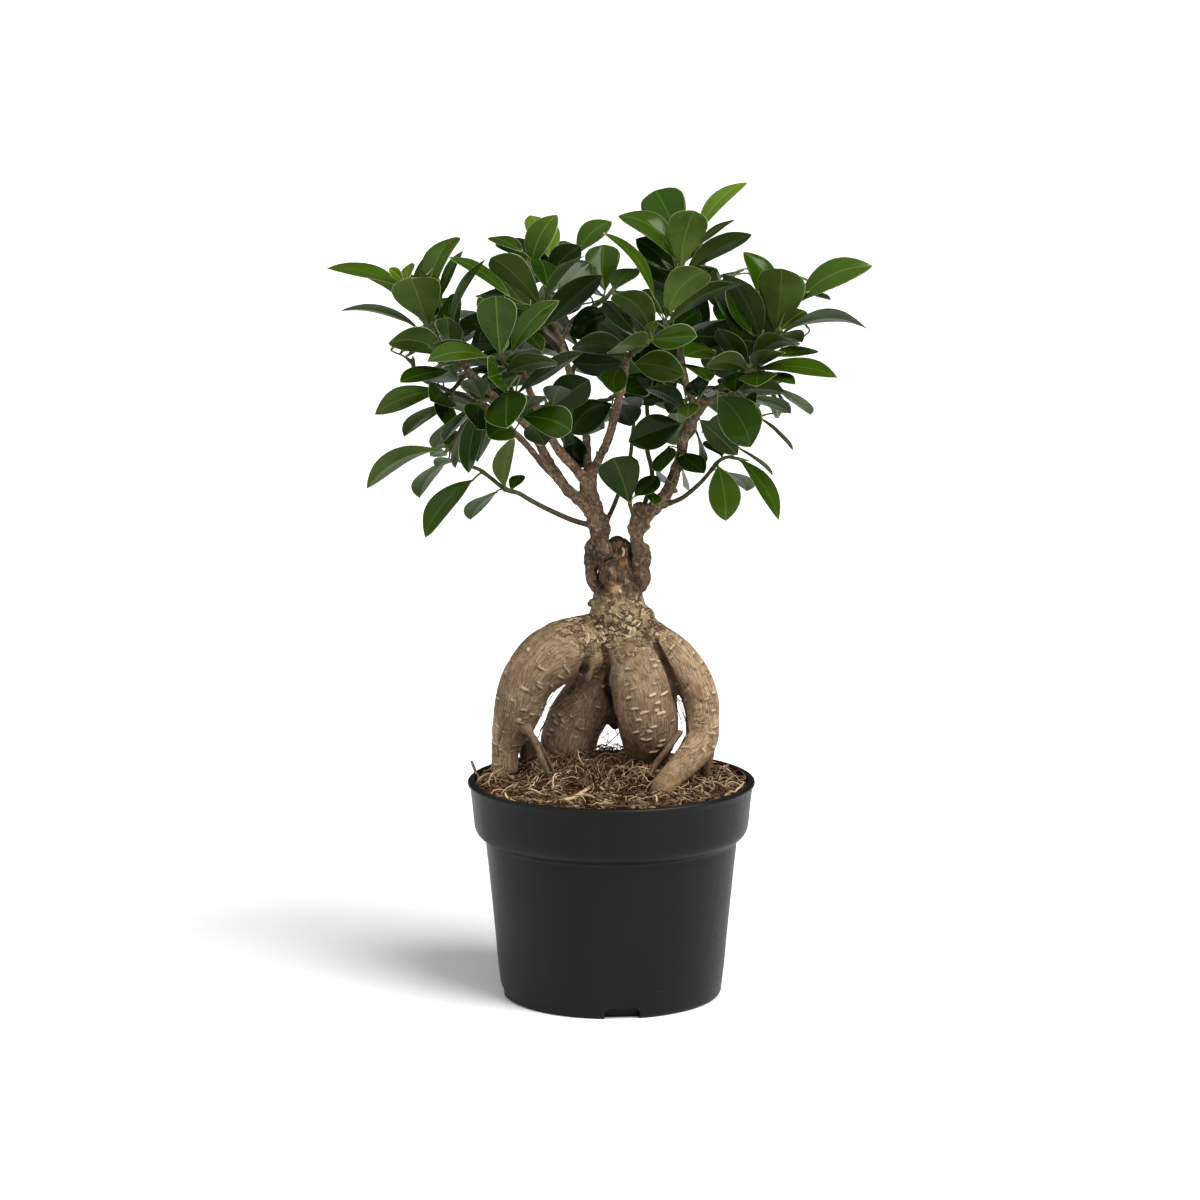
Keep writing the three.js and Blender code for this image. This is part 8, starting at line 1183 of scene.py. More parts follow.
    # nib and ribs as small closed domes on the wall
    def dome(angle, z, r, wx, wz, h):
        base = sum(len(x) for x in bag_v)
        R, K = 5, 16
        vs = [[r + h, 0, 0]]
        for i in range(1, R + 1):
            e = i / R
            for c in range(K):
                x = math.cos(2 * math.pi * c / K) * e * wx
                zz = math.sin(2 * math.pi * c / K) * e * wz
                vs.append([math.sqrt(max(r * r - x * x, 0)) + h * math.cos(e * math.pi / 2) - (0.4 if i == R else 0), x, zz])
        vs.append([r - 1.2, 0, 0])
        vs = np.array(vs, float)
        c0, s0 = math.cos(angle), math.sin(angle)
        out = np.stack([vs[:, 0] * c0 - vs[:, 1] * s0, vs[:, 0] * s0 + vs[:, 1] * c0, vs[:, 2] + z], 1)
        c = np.arange(K)
        d = (c + 1) % K
        bag_v.append(out)
        bag_t.append(base + np.vstack([np.stack([0 * c, 1 + c, 1 + d], 1), np.stack([np.full(K, len(vs) - 1), 1 + (R - 1) * K + d, 1 + (R - 1) * K + c], 1)]))
        bag_q.append(base + np.vstack([np.stack([1 + i * K + c, 1 + (i + 1) * K + c, 1 + (i + 1) * K + d, 1 + i * K + d], 1) for i in range(R - 1)]))
    dome(math.radians(-92.2), 108.2, 73.7, 0.9, 0.7, 0.22)
    dome(math.radians(-110.0), 13.6, 59.45, 7.0, 0.45, 0.16)
    dome(math.radians(-66.0), 13.6, 59.45, 7.0, 0.45, 0.16)
    ob = mesh_object("nursery_pot_shell", np.vstack(bag_v), [np.vstack(bag_q), np.vstack(bag_t)], [POT], sharp=38)
    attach(ob, "root")
    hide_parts("nursery_pot")
    return ob


# ------------------------------------------------------------------ soil
def ground(x, y):
    heap = 10.6 * np.exp(-(((x + 2) / 40) ** 2) - ((y - 20) / 30) ** 2) + 3.5 * np.exp(-(((x + 46) / 18) ** 2) - ((y - 8) / 22) ** 2) + 4.5 * np.exp(-(((x - 15) / 19) ** 2) - ((y + 9) / 13) ** 2) + 3.0 * np.exp(-(((x + 24) / 18) ** 2) - ((y - 2) / 16) ** 2)
    r = np.hypot(x, y)
    return 112.0 - 0.012 * y + heap * np.clip((71 - r) / 8, 0, 1)


def rough_ground(p):
    z = ground(p[:, 0], p[:, 1])
    q = np.column_stack([p[:, 0], p[:, 1], np.zeros(len(p))])
    r = np.hypot(p[:, 0], p[:, 1])
    z = z + (1.35 * fractal(q, 9.0, 5, 3) + 0.95 * noise_at(q, 2.6, 9) + 0.45 * noise_at(q, 1.1, 12)) * np.clip((73 - r) / 6, 0.3, 1)
    return z


def make_soil():
    bag = Bag()
    # the body: a fine disc in rings, closed by a skirt and a floor inside the pot
    rings = np.concatenate([np.linspace(0.9, 71.0, 84), [71.2, 70.6]])
    K = 300
    ang = np.arange(K) / K * 2 * np.pi
    rows = []
    for i, r in enumerate(rings):
        jit = 0.22 if i < 82 else 0
        a = ang + (i % 2) * np.pi / K
        p = np.stack([r * np.cos(a), r * np.sin(a), np.zeros(K)], 1)
        p[:, :2] += jit * RNG.uniform(-1, 1, (K, 2))
        p[:, 2] = rough_ground(p)
        if i == len(rings) - 2:
            p[:, 2] = 108.5
        if i == len(rings) - 1:
            p[:, 2] = 104.0
        rows.append(p)
    V = np.vstack(rows + [[[0, 0, rough_ground(np.zeros((1, 3)))[0]], [0, 0, 104.0]]])
    j = np.arange(K)
    k = (j + 1) % K
    q = np.vstack([np.stack([i * K + j, (i + 1) * K + j, (i + 1) * K + k, i * K + k], 1) for i in range(len(rings) - 1)])
    n = len(rings) * K
    t = np.vstack([np.stack([j, k, np.full(K, n)], 1), np.stack([(len(rings) - 1) * K + k, (len(rings) - 1) * K + j, np.full(K, n + 1)], 1)])
    bag.add(V, q, t, np.tile([0.0, 0.0, 0.0], (len(V), 1)), np.zeros((len(V), 3)), 0)

    hair = Bag()

    def strand(P, r, tone, sides=3):
        R = r * np.interp(np.linspace(0, 1, len(P)), [0, 0.12, 0.8, 1], [0.5, 1, 0.9, 0.25])
        v, q, t, u, s = tube(P, R, sides, True)
        # painted shade: the lower strands, lying under and between the upper ones, are darkened
        low_strand_shade = 0.94 * ease(v[:, 2] - ground(v[:, 0], v[:, 1]) + 0.9 * noise_at(v, 3.4, 69), 2.3, 0.0)
        hair.add(v, q, t, np.column_stack([np.full(len(v), tone), low_strand_shade, np.ones(len(v))]), np.zeros((len(v), 3)), 0)

    feet = np.array([[r[-1][0], r[-1][1], r[-1][3]] for r in ROOTS.values() if r[-1][2] < 125])
    count = 1600
    for i in range(count):
        thick = RNG.random()
        if i % 4 == 0:
            f = feet[RNG.integers(len(feet))]
            a = RNG.uniform(0, 2 * np.pi)
            rr = f[2] + RNG.uniform(1, 11)
            x, y = f[0] + rr * math.cos(a), f[1] + rr * math.sin(a)
        else:
            rr, a = 68 * math.sqrt(RNG.random()), RNG.uniform(0, 2 * np.pi)
            x, y = rr * math.cos(a), rr * math.sin(a)
        n = int(RNG.integers(7, 13))
        step = RNG.uniform(1.0, 2.6) * (1.25 if thick > 0.9 else 1)
        head = RNG.uniform(0, 2 * np.pi)
        bendy = RNG.normal(0, 0.20)
        P = []
        for s in range(n):
            P.append([x, y, 0])
            head += bendy + RNG.normal(0, 0.34)
            x += step * math.cos(head)
            y += step * math.sin(head)
        P = np.array(P)
        r = np.hypot(P[:, 0], P[:, 1])
        far = r > 70.4
        P[far, :2] *= (70.4 / r[far])[:, None]
        base = rough_ground(P)
        arch = RNG.uniform(0.2, 3.4) if RNG.random() < 0.5 else RNG.uniform(0, 0.8)
        P[:, 2] = ground(P[:, 0], P[:, 1]) * 0.3 + base * 0.7 + 0.25 + arch * np.sin(np.linspace(0, np.pi, n)) + RNG.normal(0, 0.12, n)
        if RNG.random() < 0.14:
            P[:, 2] += np.linspace(0, RNG.uniform(1.5, 6.0), n)
        P[:, 2] += 0.5 * noise_at(np.column_stack([P[:, :2], np.full(n, i * 3.1)]), 2.4, 66)
        r = np.hypot(P[:, 0], P[:, 1])
        P[:, 2] = np.where(r > 67, np.minimum(P[:, 2], 115.2), P[:, 2])
        tone = float(RNG.beta(0.7, 2.6)) if RNG.random() < 0.75 else float(RNG.uniform(0.35, 0.95))
        strand(P, RNG.uniform(0.17, 0.34) if thick < 0.90 else RNG.uniform(0.36, 0.60), tone, 3 if thick < 0.90 else 5)
    for i in range(420):
        x, y = RNG.uniform(-42, 34), RNG.uniform(-20, 12)
        n = int(RNG.integers(9, 15))
        head, step = RNG.uniform(0, 2 * np.pi), RNG.uniform(1.1, 2.4)
        turn = RNG.normal(0, 0.20)
        P = []
        for s in range(n):
            P.append([x, y, 0])
            head += turn + RNG.normal(0, 0.40)
            x += step * math.cos(head)
            y += step * math.sin(head)
        P = np.array(P)
        top = RNG.uniform(1.5, 9.0) * math.exp(-(((P[:, 0].mean() + 3) / 30) ** 2))
        P[:, 2] = rough_ground(P) + 0.2 + top * np.sin(np.linspace(RNG.uniform(0, 0.7), RNG.uniform(2.2, np.pi), n)) + RNG.normal(0, 0.2, n)
        if np.hypot(P[:, 0], P[:, 1]).max() < 66:
            strand(P, RNG.uniform(0.16, 0.38), float(RNG.beta(0.6, 2.2)), 4)
    for rows in STRANDS:
        P, R = curve_points([row[:4] for row in rows["p"]], 1.6)
        P[:, 2] = np.maximum(P[:, 2], rough_ground(P) + 0.3) if rows.get("lie", 1) else P[:, 2]
        P = P + 0.5 * np.stack([noise_at(P, 5.0, 64), noise_at(P, 5.0, 65), 0.4 * noise_at(P, 5.0, 67)], 1)
        v, q, t, u, s = tube(P, R * (1 + 0.2 * noise_at(P, 2.5, 68)), 7 if R.max() > 0.4 else 4, True)
        v = v + 0.3 * min(R.max(), 0.6) * np.stack([noise_at(v, 1.3, 61), noise_at(v, 1.3, 62), noise_at(v, 1.3, 63)], 1)
        hair.add(v, q, t, np.tile([rows["tone"], 0.0, 1.0], (len(v), 1)), np.zeros((len(v), 3)), 0)
    # crumbs: small lumps and chips
    ico_v = unit(np.array([[0, 1, 1.618], [0, -1, 1.618], [0, 1, -1.618], [0, -1, -1.618], [1, 1.618, 0], [-1, 1.618, 0], [1, -1.618, 0], [-1, -1.618, 0], [1.618, 0, 1], [-1.618, 0, 1], [1.618, 0, -1], [-1.618, 0, -1]], float))
    ico_t = np.array([[0, 1, 8], [0, 8, 4], [0, 4, 5], [0, 5, 9], [0, 9, 1], [1, 6, 8], [8, 6, 10], [8, 10, 4], [4, 10, 2], [4, 2, 5], [5, 2, 11], [5, 11, 9], [9, 11, 7], [9, 7, 1], [1, 7, 6], [3, 6, 7], [3, 7, 11], [3, 11, 2], [3, 2, 10], [3, 10, 6]])
    for i in range(2000):
        rr, a = 70.2 * math.sqrt(RNG.random()), RNG.uniform(0, 2 * np.pi)
        s = RNG.uniform(0.4, 1.1) if RNG.random() < 0.86 else RNG.uniform(1.1, 2.3)
        v = ico_v * s * RNG.uniform(0.7, 1.3, 3) * (1 + 0.25 * RNG.uniform(-1, 1, (12, 1)))
        th = RNG.uniform(0, 2 * np.pi)
        c, sn = math.cos(th), math.sin(th)
        v = np.stack([v[:, 0] * c - v[:, 1] * sn, v[:, 0] * sn + v[:, 1] * c, v[:, 2] * 0.7], 1)
        o = np.array([[rr * math.cos(a), rr * math.sin(a), 0.0]])
        v = v + o + [0, 0, rough_ground(o)[0] + s * 0.2]
        bag.add(v, np.zeros((0, 4), int), ico_t, np.tile([RNG.uniform(0, 0.5) ** 1.5, 0.0, 0.8], (12, 1)), np.zeros((12, 3)), 0)
    ob = hair.make("coir_fibres", [SOIL], ("tone", "none"))
    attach(ob, "root")
    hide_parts("soil")
    ob = bag.make("soil_surface", [SOIL], ("tone", "none"))
    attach(ob, "root")
    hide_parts("soil")
    return ob


# ------------------------------------------------------------------ rootstock
def marks_on(verts, kinds, rows=None):
    """How strongly each vertex lies under a mark of these kinds."""
    out = np.zeros(len(verts))
    for m in MARKS if rows is None else rows:
        if m[7] not in kinds:
            continue
        a, b, w = np.array(m[:3]), np.array(m[3:6]), m[6]
        d = b - a
        near = np.abs(verts - (a + b) / 2).max(1) < np.linalg.norm(d) / 2 + 6
        v = verts[near]
        if not len(v):
            continue
        t = np.clip(((v - a) @ d) / max(d @ d, 1e-9), 0, 1)
        dist = np.linalg.norm(v - (a + t[:, None] * d), axis=1)
        taper = 1 - 0.5 * np.abs(2 * t - 1) ** 3
        out[near] = np.maximum(out[near], np.clip(1.25 - dist / (w * taper), 0, 1) * (0.62 if m[7] == 0 and w < 0.8 else 1.0))
    return out


def make_rootstock():
    h = 0.84
    f = Field((-66, -48, 100), (66, 64, 254), h)
    curves = [curve(r) for r in ROOTS.values()]
    for name, c in zip(ROOTS, curves):
        f.grow(c["P"], c["R"], 1.2 if name.startswith(("rootlet", "root_nub")) else 4.2 if name != "neck" else 7.0, 7.0)
    for row in NECK_LUMPS:
        P, R = curve_points(row, 2.0)
        f.grow(P, R, 2.2)
    for row in GROOVES:
        P, R = curve_points(row, 1.5)
        f.carve(P, R, 1.6)
    verts, quads = biggest(*f.skin())
    own, S, phi, rad, D = along(verts, curves)
    normal = f.slope(verts)
    grain = np.stack([phi * np.maximum(rad, 4), S, own * 41.0], 1)
    ring = np.stack([np.cos(phi) * rad, np.sin(phi) * rad, S * 0.22], 1) + own[:, None] * 29.0
    neck = ease(verts[:, 2] - 0.80 * np.maximum(np.hypot(verts[:, 0] - 1, verts[:, 1] - 1) - 17, 0) + 5.0 * fractal(verts, 10, 31), 174, 190)
    # slow swellings, long flutes along the grain and fine unevenness
    move = 0.85 * fractal(verts, (15, 15, 22), 1, 2) + 0.50 * noise_at(ring, (4.6, 4.6, 5.0), 8) + 0.16 * noise_at(ring, (1.9, 1.9, 2.6), 15)
    move *= 1 - 0.5 * neck
    thin = ease(rad, 2.0, 8.0)
    move *= 0.25 + 0.75 * thin
    # folds that run round the roots where they bend
    wrinkle = np.abs(noise_at(np.stack([phi * 2.0 + own * 7, S / 3.1, own * 5.0], 1), 1.0, 44))
    move -= 0.34 * np.clip(0.16 - wrinkle, 0, 1) / 0.16 * thin * (1 - neck)
    # bark plates round the neck
    cell = np.abs(noise_at(verts + 2.2 * np.stack([noise_at(verts, 4, 71), noise_at(verts, 4, 72), noise_at(verts, 4, 73)], 1), (4.4, 4.4, 3.6), 50))
    crack = np.clip(1 - cell / 0.16, 0, 1)
    move += neck * (0.55 * fractal(verts, 3.4, 52, 2) - 0.75 * crack)
    # pale raised pores across the grain, each with a slight dent and painted shadow just below it
    pores = np.zeros(len(verts))
    pore_dent_and_shadow = np.zeros(len(verts))
    for i, c in enumerate(curves):
        mine = np.where(own == i)[0]
        if not len(mine) or c["R"].max() < 4:
            continue
        for _ in range(int(c["S"][-1] * c["R"].mean() * 2 * np.pi / 95)):
            s0, p0 = RNG.uniform(4, c["S"][-1]), RNG.uniform(-np.pi, np.pi)
            L, w, tilt = RNG.uniform(1.6, 3.6), RNG.uniform(0.55, 0.95), RNG.normal(0, 0.12)
            du = ((phi[mine] - p0 + np.pi) % (2 * np.pi) - np.pi) * rad[mine]
            ds = S[mine] - s0 + tilt * du
            m = np.clip(1.3 - np.abs(du) / L, 0, 1) * np.clip(1.4 - np.abs(ds) / w, 0, 1)
            low = np.clip(1.3 - np.abs(du) / L, 0, 1) * np.clip(1.3 - np.abs(ds - w * 1.6) / w, 0, 1)
            pores[mine] = np.maximum(pores[mine], m)
            pore_dent_and_shadow[mine] = np.maximum(pore_dent_and_shadow[mine], low)
    pores *= (1 - neck) * thin
    pore_dent_and_shadow *= (1 - neck) * thin
    # painted shadow: a dark dented line 1.5 mm below each wide pale ridge mark
    under = [[m[0], m[1], m[2] - 1.5, m[3], m[4], m[5] - 1.5, 0.55, 3] for m in MARKS if m[7] == 0 and m[6] > 0.8]
    curls = []
    zone = np.where((verts[:, 2] > 175) & (verts[:, 2] < 210) & (np.hypot(verts[:, 0] - 1, verts[:, 1] - 1) < 27))[0]
    for _ in range(110):
        k = int(zone[RNG.integers(len(zone))])
        q, nn = verts[k].copy(), normal[k]
        if RNG.random() > ease(q[2], 174, 184) + 0.1:
            continue
        side = unit(np.cross(nn, [0, 0, 1.0]))
        upw = np.cross(side, nn)
        th = RNG.normal(0, 0.7) + (math.pi if RNG.random() < 0.5 else 0)
        w0 = RNG.uniform(0.45, 0.80)
        for _ in range(int(RNG.integers(2, 5))):
            q2 = q + (side * math.cos(th) + upw * math.sin(th)) * RNG.uniform(1.3, 2.6)
            curls.append([*q, *q2, w0, 1])
            q = q2 - nn * 0.15
            th += RNG.choice([-1, 1]) * RNG.uniform(0.5, 1.4)
    ridge, cut, sore = marks_on(verts, (0,)), marks_on(verts, (1,)), marks_on(verts, (2,))
    ridge_dent_and_shadow = marks_on(verts, (3,), under)
    curl = marks_on(verts, (1,), curls)
    move += 0.34 * np.minimum(pores, 1) - 0.16 * pore_dent_and_shadow + 0.62 * ridge - 0.35 * ridge_dent_and_shadow - 0.8 * cut - 0.55 * curl - 0.25 * sore
    verts = verts + normal * move[:, None]
    # where roots meet one another the bark is darkened as painted shade, and bark just above the soil is darker
    pts = np.vstack([c["P"] for c in curves])
    crevice_shade = np.zeros(len(verts))
    out = verts + normal * 4.5
    crevice_shade = ease(-f.sample(np.clip(out, f.low + 0.1, f.low + (f.n - 1) * h - 0.1)), -3.4, -0.6)
    level = rough_ground(verts)
    dirt_and_shade = ease(verts[:, 2] - level - 1.2 * noise_at(verts, 2.5, 81), 3.6, 0.2) * 0.8
    # painted shade: the undersides, those facing down, are darkened
    underside_shade = ease(-normal[:, 2] + 0.22 * fractal(verts, 9, 35), 0.05, 0.85) * 0.42 * (1 - neck) * thin
    dirt_and_shade = np.maximum(dirt_and_shade, underside_shade)
    # painted shade: the bark right round the scions' feet is darkened
    scion = np.zeros(len(verts))
    for name in ("left_stem", "right_stem"):
        P, R = curve_points(WOOD[name], 1.5)
        d = (np.linalg.norm(verts[:, None, :] - P[None], axis=2) - R).min(1) if len(verts) < 4000 else np.full(len(verts), 9.0)
        near = np.where(verts[:, 2] > 205)[0]
        d = np.full(len(verts), 9.0)
        for c0 in range(0, len(near), 5000):
            n0 = near[c0 : c0 + 5000]
            d[n0] = (np.linalg.norm(verts[n0][:, None, :] - P[None], axis=2) - R).min(1)
        scion = np.maximum(scion, ease(d, 1.3, 0.1))
    crown = ease(verts[:, 2] + 3 * fractal(verts, 7, 33), 209.5, 217.5)
    mark = np.stack([np.clip(np.maximum(pores * RNG.uniform(0.4, 0.8), ridge), 0, 1), np.clip(0.6 * pore_dent_and_shadow + 0.8 * ridge_dent_and_shadow + cut + 0.70 * curl + 0.7 * scion + neck * 0.30 * crack + 0.10 * crown, 0, 1), neck * (1 - 0.75 * crown)], 1)
    mark2 = np.stack([sore, dirt_and_shade, np.clip(crevice_shade * 0.75, 0, 1)], 1)
    # painted light and shade: each root's bark level by height from TONE, smoothed across the mesh
    shade = np.ones(len(verts))
    for i, name in enumerate(ROOTS):
        if name in TONE:
            row = np.array(TONE[name])
            shade[own == i] = np.interp(verts[own == i, 2], row[:, 0], row[:, 1])
    low = ease(verts[:, 2], 128, 117) * (own == list(ROOTS).index("root_right"))
    blur = shade.copy()
    for _ in range(10):
        acc, w = np.zeros(len(verts)), np.zeros(len(verts))
        for c in range(4):
            for e in range(4):
                if c != e:
                    acc += np.bincount(quads[:, c], blur[quads[:, e]], len(verts))
                    w += np.bincount(quads[:, c], minlength=len(verts))
        blur = acc / np.maximum(w, 1)
    tone = np.stack([blur, low, crown * (1 - 0.5 * scion)], 1)
    ob = mesh_object("ginseng_rootstock_bark", verts, quads, [ROOT], {"grain": grain, "mark": mark, "mark2": mark2, "tone": tone})
    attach(ob, "root")
    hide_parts("ginseng_rootstock")
    return ob


# ------------------------------------------------------------------ scions
def make_scion(name, nodes, lumps, scars):
    h = 0.52
    rows = [WOOD[n] for n in nodes]
    allp = np.vstack([np.array(r) for r in rows + lumps])
    f = Field(allp[:, :3].min(0) - 9, allp[:, :3].max(0) + 9, h, 6.0)
    curves = [curve(r, 1.5) for r in rows]
    for i, c in enumerate(curves):
        R = c["R"].copy()
        # ring-like swellings where leaves once stood
        for s0 in np.arange(5.0 + 2.0 * i, c["S"][-1] - 3, 9.5):
            R *= 1 + 0.13 * np.exp(-(((c["S"] - s0 - 2.5 * math.sin(s0)) / 1.5) ** 2))
        if i:
            R *= 1 + 0.25 * np.exp(-c["S"] / 4.5)
        f.grow(c["P"], R, 2.4, 4.0)
    for row in lumps:
        P, R = curve_points(row, 1.5)
        f.grow(P, R, 1.8)
    # stubs of lost twigs, and collars where the shoots leave the wood
    for key, sh in SHOOTS.items():
        if sh["parent"] in nodes:
            P, R = curve_points(sh["stem"][:2], 1.0)
            m = np.linalg.norm(P - P[0], axis=1) < 4.2
            if m.sum() > 1:
                d = np.linalg.norm(P[m] - P[0], axis=1)
                f.grow(P[m], 1.75 - 0.14 * d, 1.6, 3.0)
    for c in curves:
        for _ in range(int(c["S"][-1] / 17)):
            k = int(RNG.integers(2, len(c["P"]) - 2))
            a = RNG.uniform(0, 2 * np.pi)
            out = math.cos(a) * c["N"][k] + math.sin(a) * c["B"][k]
            r = c["R"][k]
            if r < 1.4:
                continue
            f.grow(np.array([c["P"][k] + out * r * 0.6, c["P"][k] + out * (r + 0.55) + c["D"][k] * 0.4]), np.array([r * 0.45, r * 0.28]), 1.1, 3.0)
    verts, quads = biggest(*f.skin())
    own, S, phi, rad, D = along(verts, curves)
    normal = f.slope(verts)
    thick = ease(rad, 1.2, 4.5)
    ring = np.stack([np.cos(phi) * rad, np.sin(phi) * rad, S * 0.35], 1) + own[:, None] * 13.0
    move = (0.14 + 0.50 * thick) * noise_at(ring, (2.1, 2.1, 2.6), 3) + (0.06 + 0.30 * thick) * noise_at(verts, 1.35, 5) + 0.45 * thick * noise_at(verts, 4.2, 6)
    groove = np.clip(1 - np.abs(noise_at(ring, (1.7, 1.7, 3.8), 9)) / 0.14, 0, 1)
    move -= (0.05 + 0.30 * thick) * groove
    cut, pale = marks_on(verts, (1,)), marks_on(verts, (0,))
    move += 0.3 * pale - 0.6 * cut
    verts = verts + normal * move[:, None]
    grain = np.stack([phi * np.maximum(rad, 1.5), S, own * 23.0], 1)
    young = ease(rad, 2.4, 1.2)
    old = ease(verts[:, 2], 262, 236) * 0.55
    mark = np.stack([pale, np.clip(cut + 0.55 * groove * thick + old * 0.6, 0, 1), young], 1)
    ob = mesh_object(name, verts, quads, [BARK], {"grain": grain, "mark": mark})
    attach(ob, "root")
    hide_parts(*nodes)
    return ob


# ------------------------------------------------------------------ shoots
STATION = np.array([0, 0.06, 0.15, 0.3, 0.45, 0.6, 0.75, 0.88, 0.95, 1.0])
OUTLINE = np.array([
    [0.05, 0.20, 0.47, 0.80, 0.97, 1.0, 0.86, 0.56, 0.28, 0.0],
    [0.05, 0.15, 0.33, 0.60, 0.82, 0.96, 1.0, 0.84, 0.56, 0.0],
    [0.05, 0.24, 0.50, 0.82, 0.98, 1.0, 0.84, 0.52, 0.26, 0.0],
])


def smooth_outline(kind):
    t = np.linspace(0, 1, 201)
    w = np.interp(t, STATION, OUTLINE[kind])
    k = np.exp(-((np.arange(-14, 15) / 6.0) ** 2))
    k /= k.sum()
    pad = np.concatenate([2 * w[0] - w[14:0:-1], w, -w[-2:-16:-1]])
    s = np.convolve(pad, k, "valid")
    return t, np.clip(s, 0.0, None)


SMOOTH = [smooth_outline(k) for k in range(3)]


def blade(row, rng):
    """One leaf: two skins that meet in a thin edge, with a midrib below and a shallow channel above."""
    B, T, lat = np.array(row[3:6]), np.array(row[6:9]), np.array(row[9:12])
    W, bend, kind, tint = row[12], np.array(row[13:16]), int(row[16]), row[17]
    a = T - B
    L = np.linalg.norm(a)
    ah = a / L
    lat = unit(lat - (lat @ ah) * ah)
    n = np.cross(ah, lat)
    nt, ns = ((20, 13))
    t = np.concatenate([[0.0, 0.03], np.linspace(0.07, 0.93, nt - 5), [0.96, 0.985, 0.997]])
    w = np.interp(t, *SMOOTH[kind]) * W / 2
    w[-1] = max(min(w[-1], 0.12), 0.05)
    s = np.sin(np.linspace(-1, 1, ns) * math.pi / 2) * 0.35 + np.linspace(-1, 1, ns) * 0.65
    cen = B + a * t[:, None] + bend * (4 * t * (1 - t))[:, None]
    # the tip hooks down a little, the edges roll and wave
    hook = rng.uniform(0.2, 1.0) * (W / 20)
    wave, ph = rng.uniform(0.15, 0.5) * W / 20, rng.uniform(0, 6.28, 2)
    lift = 0.16 * np.abs(s)[None, :] * w[:, None] * (1 - 0.35 * np.abs(s)[None, :])
    lift = lift + wave * (s**2)[None, :] * np.where(s[None, :] > 0, np.sin(t * 7 + ph[0])[:, None], np.sin(t * 8 + ph[1])[:, None]) * ease(t, 0, 0.25)[:, None]
    lift = lift - hook * ease(t, 0.72, 1.0)[:, None]
    lift = lift - 0.10 * np.exp(-((s[None, :] * w[:, None] / 0.55) ** 2))
    mid = cen[:, None, :] + (s[None, :] * w[:, None])[..., None] * lat + lift[..., None] * n
    rim = 1 - np.abs(s) ** 4
    th = 0.17 * rim[None, :] * np.minimum(1, w / 1.0)[:, None]
    ribw = np.interp(t, [0, 0.5, 1], [0.62, 0.42, 0.12])
    rib = np.interp(t, [0, 0.6, 1], [0.75, 0.40, 0.03])[:, None] * np.exp(-((s[None, :] * w[:, None] / ribw[:, None]) ** 2))
    top = mid + th[..., None] * n
    low = mid - (th + rib)[..., None] * n
    nt = len(t)
    inner = np.arange(1, ns - 1)
    V = np.concatenate([top.reshape(-1, 3), low[:, 1:-1].reshape(-1, 3), (cen[0] - ah * 0.3)[None], T[None] - n * hook])
    A = nt * ns
    up = lambda i, j: i * ns + j
    def dn(i, j):
        j = np.asarray(j)
        return np.where((j == 0) | (j == ns - 1), i * ns + j, A + i * (ns - 2) + (j - 1))
    q, j = [], np.arange(ns - 1)
    for i in range(nt - 1):
        q.append(np.stack([up(i, j), up(i, j + 1), up(i + 1, j + 1), up(i + 1, j)], 1))
        q.append(np.stack([dn(i, j), dn(i + 1, j), dn(i + 1, j + 1), dn(i, j + 1)], 1))
    base, tip = len(V) - 2, len(V) - 1
    loop = lambda i: np.concatenate([up(i, np.arange(ns)), dn(i, np.arange(ns - 2, 0, -1))])
    l0, l1 = loop(0), loop(nt - 1)
    tr = np.vstack([np.stack([np.roll(l0, -1), l0, np.full(len(l0), base)], 1), np.stack([l1, np.roll(l1, -1), np.full(len(l1), tip)], 1)])
    q = np.vstack(q)
    if np.dot(np.cross(V[q[0, 1]] - V[q[0, 0]], V[q[0, 3]] - V[q[0, 0]]), n) < 0:
        q, tr = q[:, ::-1], tr[:, ::-1]
    acr = (s[None, :] * w[:, None])
    al = np.repeat(t[:, None] * L, ns, 1)
    hw = np.repeat(w[:, None], ns, 1)
    at = np.stack([acr, al, hw], 2)
    A1 = np.concatenate([at.reshape(-1, 3), at[:, 1:-1].reshape(-1, 3), [[0, 0, 1], [0, L, 0.1]]])
    rnd = rng.random()
    und = np.concatenate([np.zeros(nt * ns), np.ones(nt * (ns - 2)), [0.5, 0.0]])
    # painted shade: how far out in the crown the leaf is, and how flat it lies; leaves inside the crown and leaves
    # lying flat are darker
    out = np.linalg.norm(((B + T) / 2 - [0, 5, 325]) / [112, 100, 92])
    flat = abs(n[2]) / np.linalg.norm(n)
    shade = float(ease(out, 0.35, 0.95)) * (1.16 - 0.42 * flat**2) / 1.16
    A2 = np.stack([np.full(len(V), tint), np.full(len(V), round(shade * 10) + 0.05 + 0.9 * rnd), und], 1)
    return V, q, tr, A1, A2


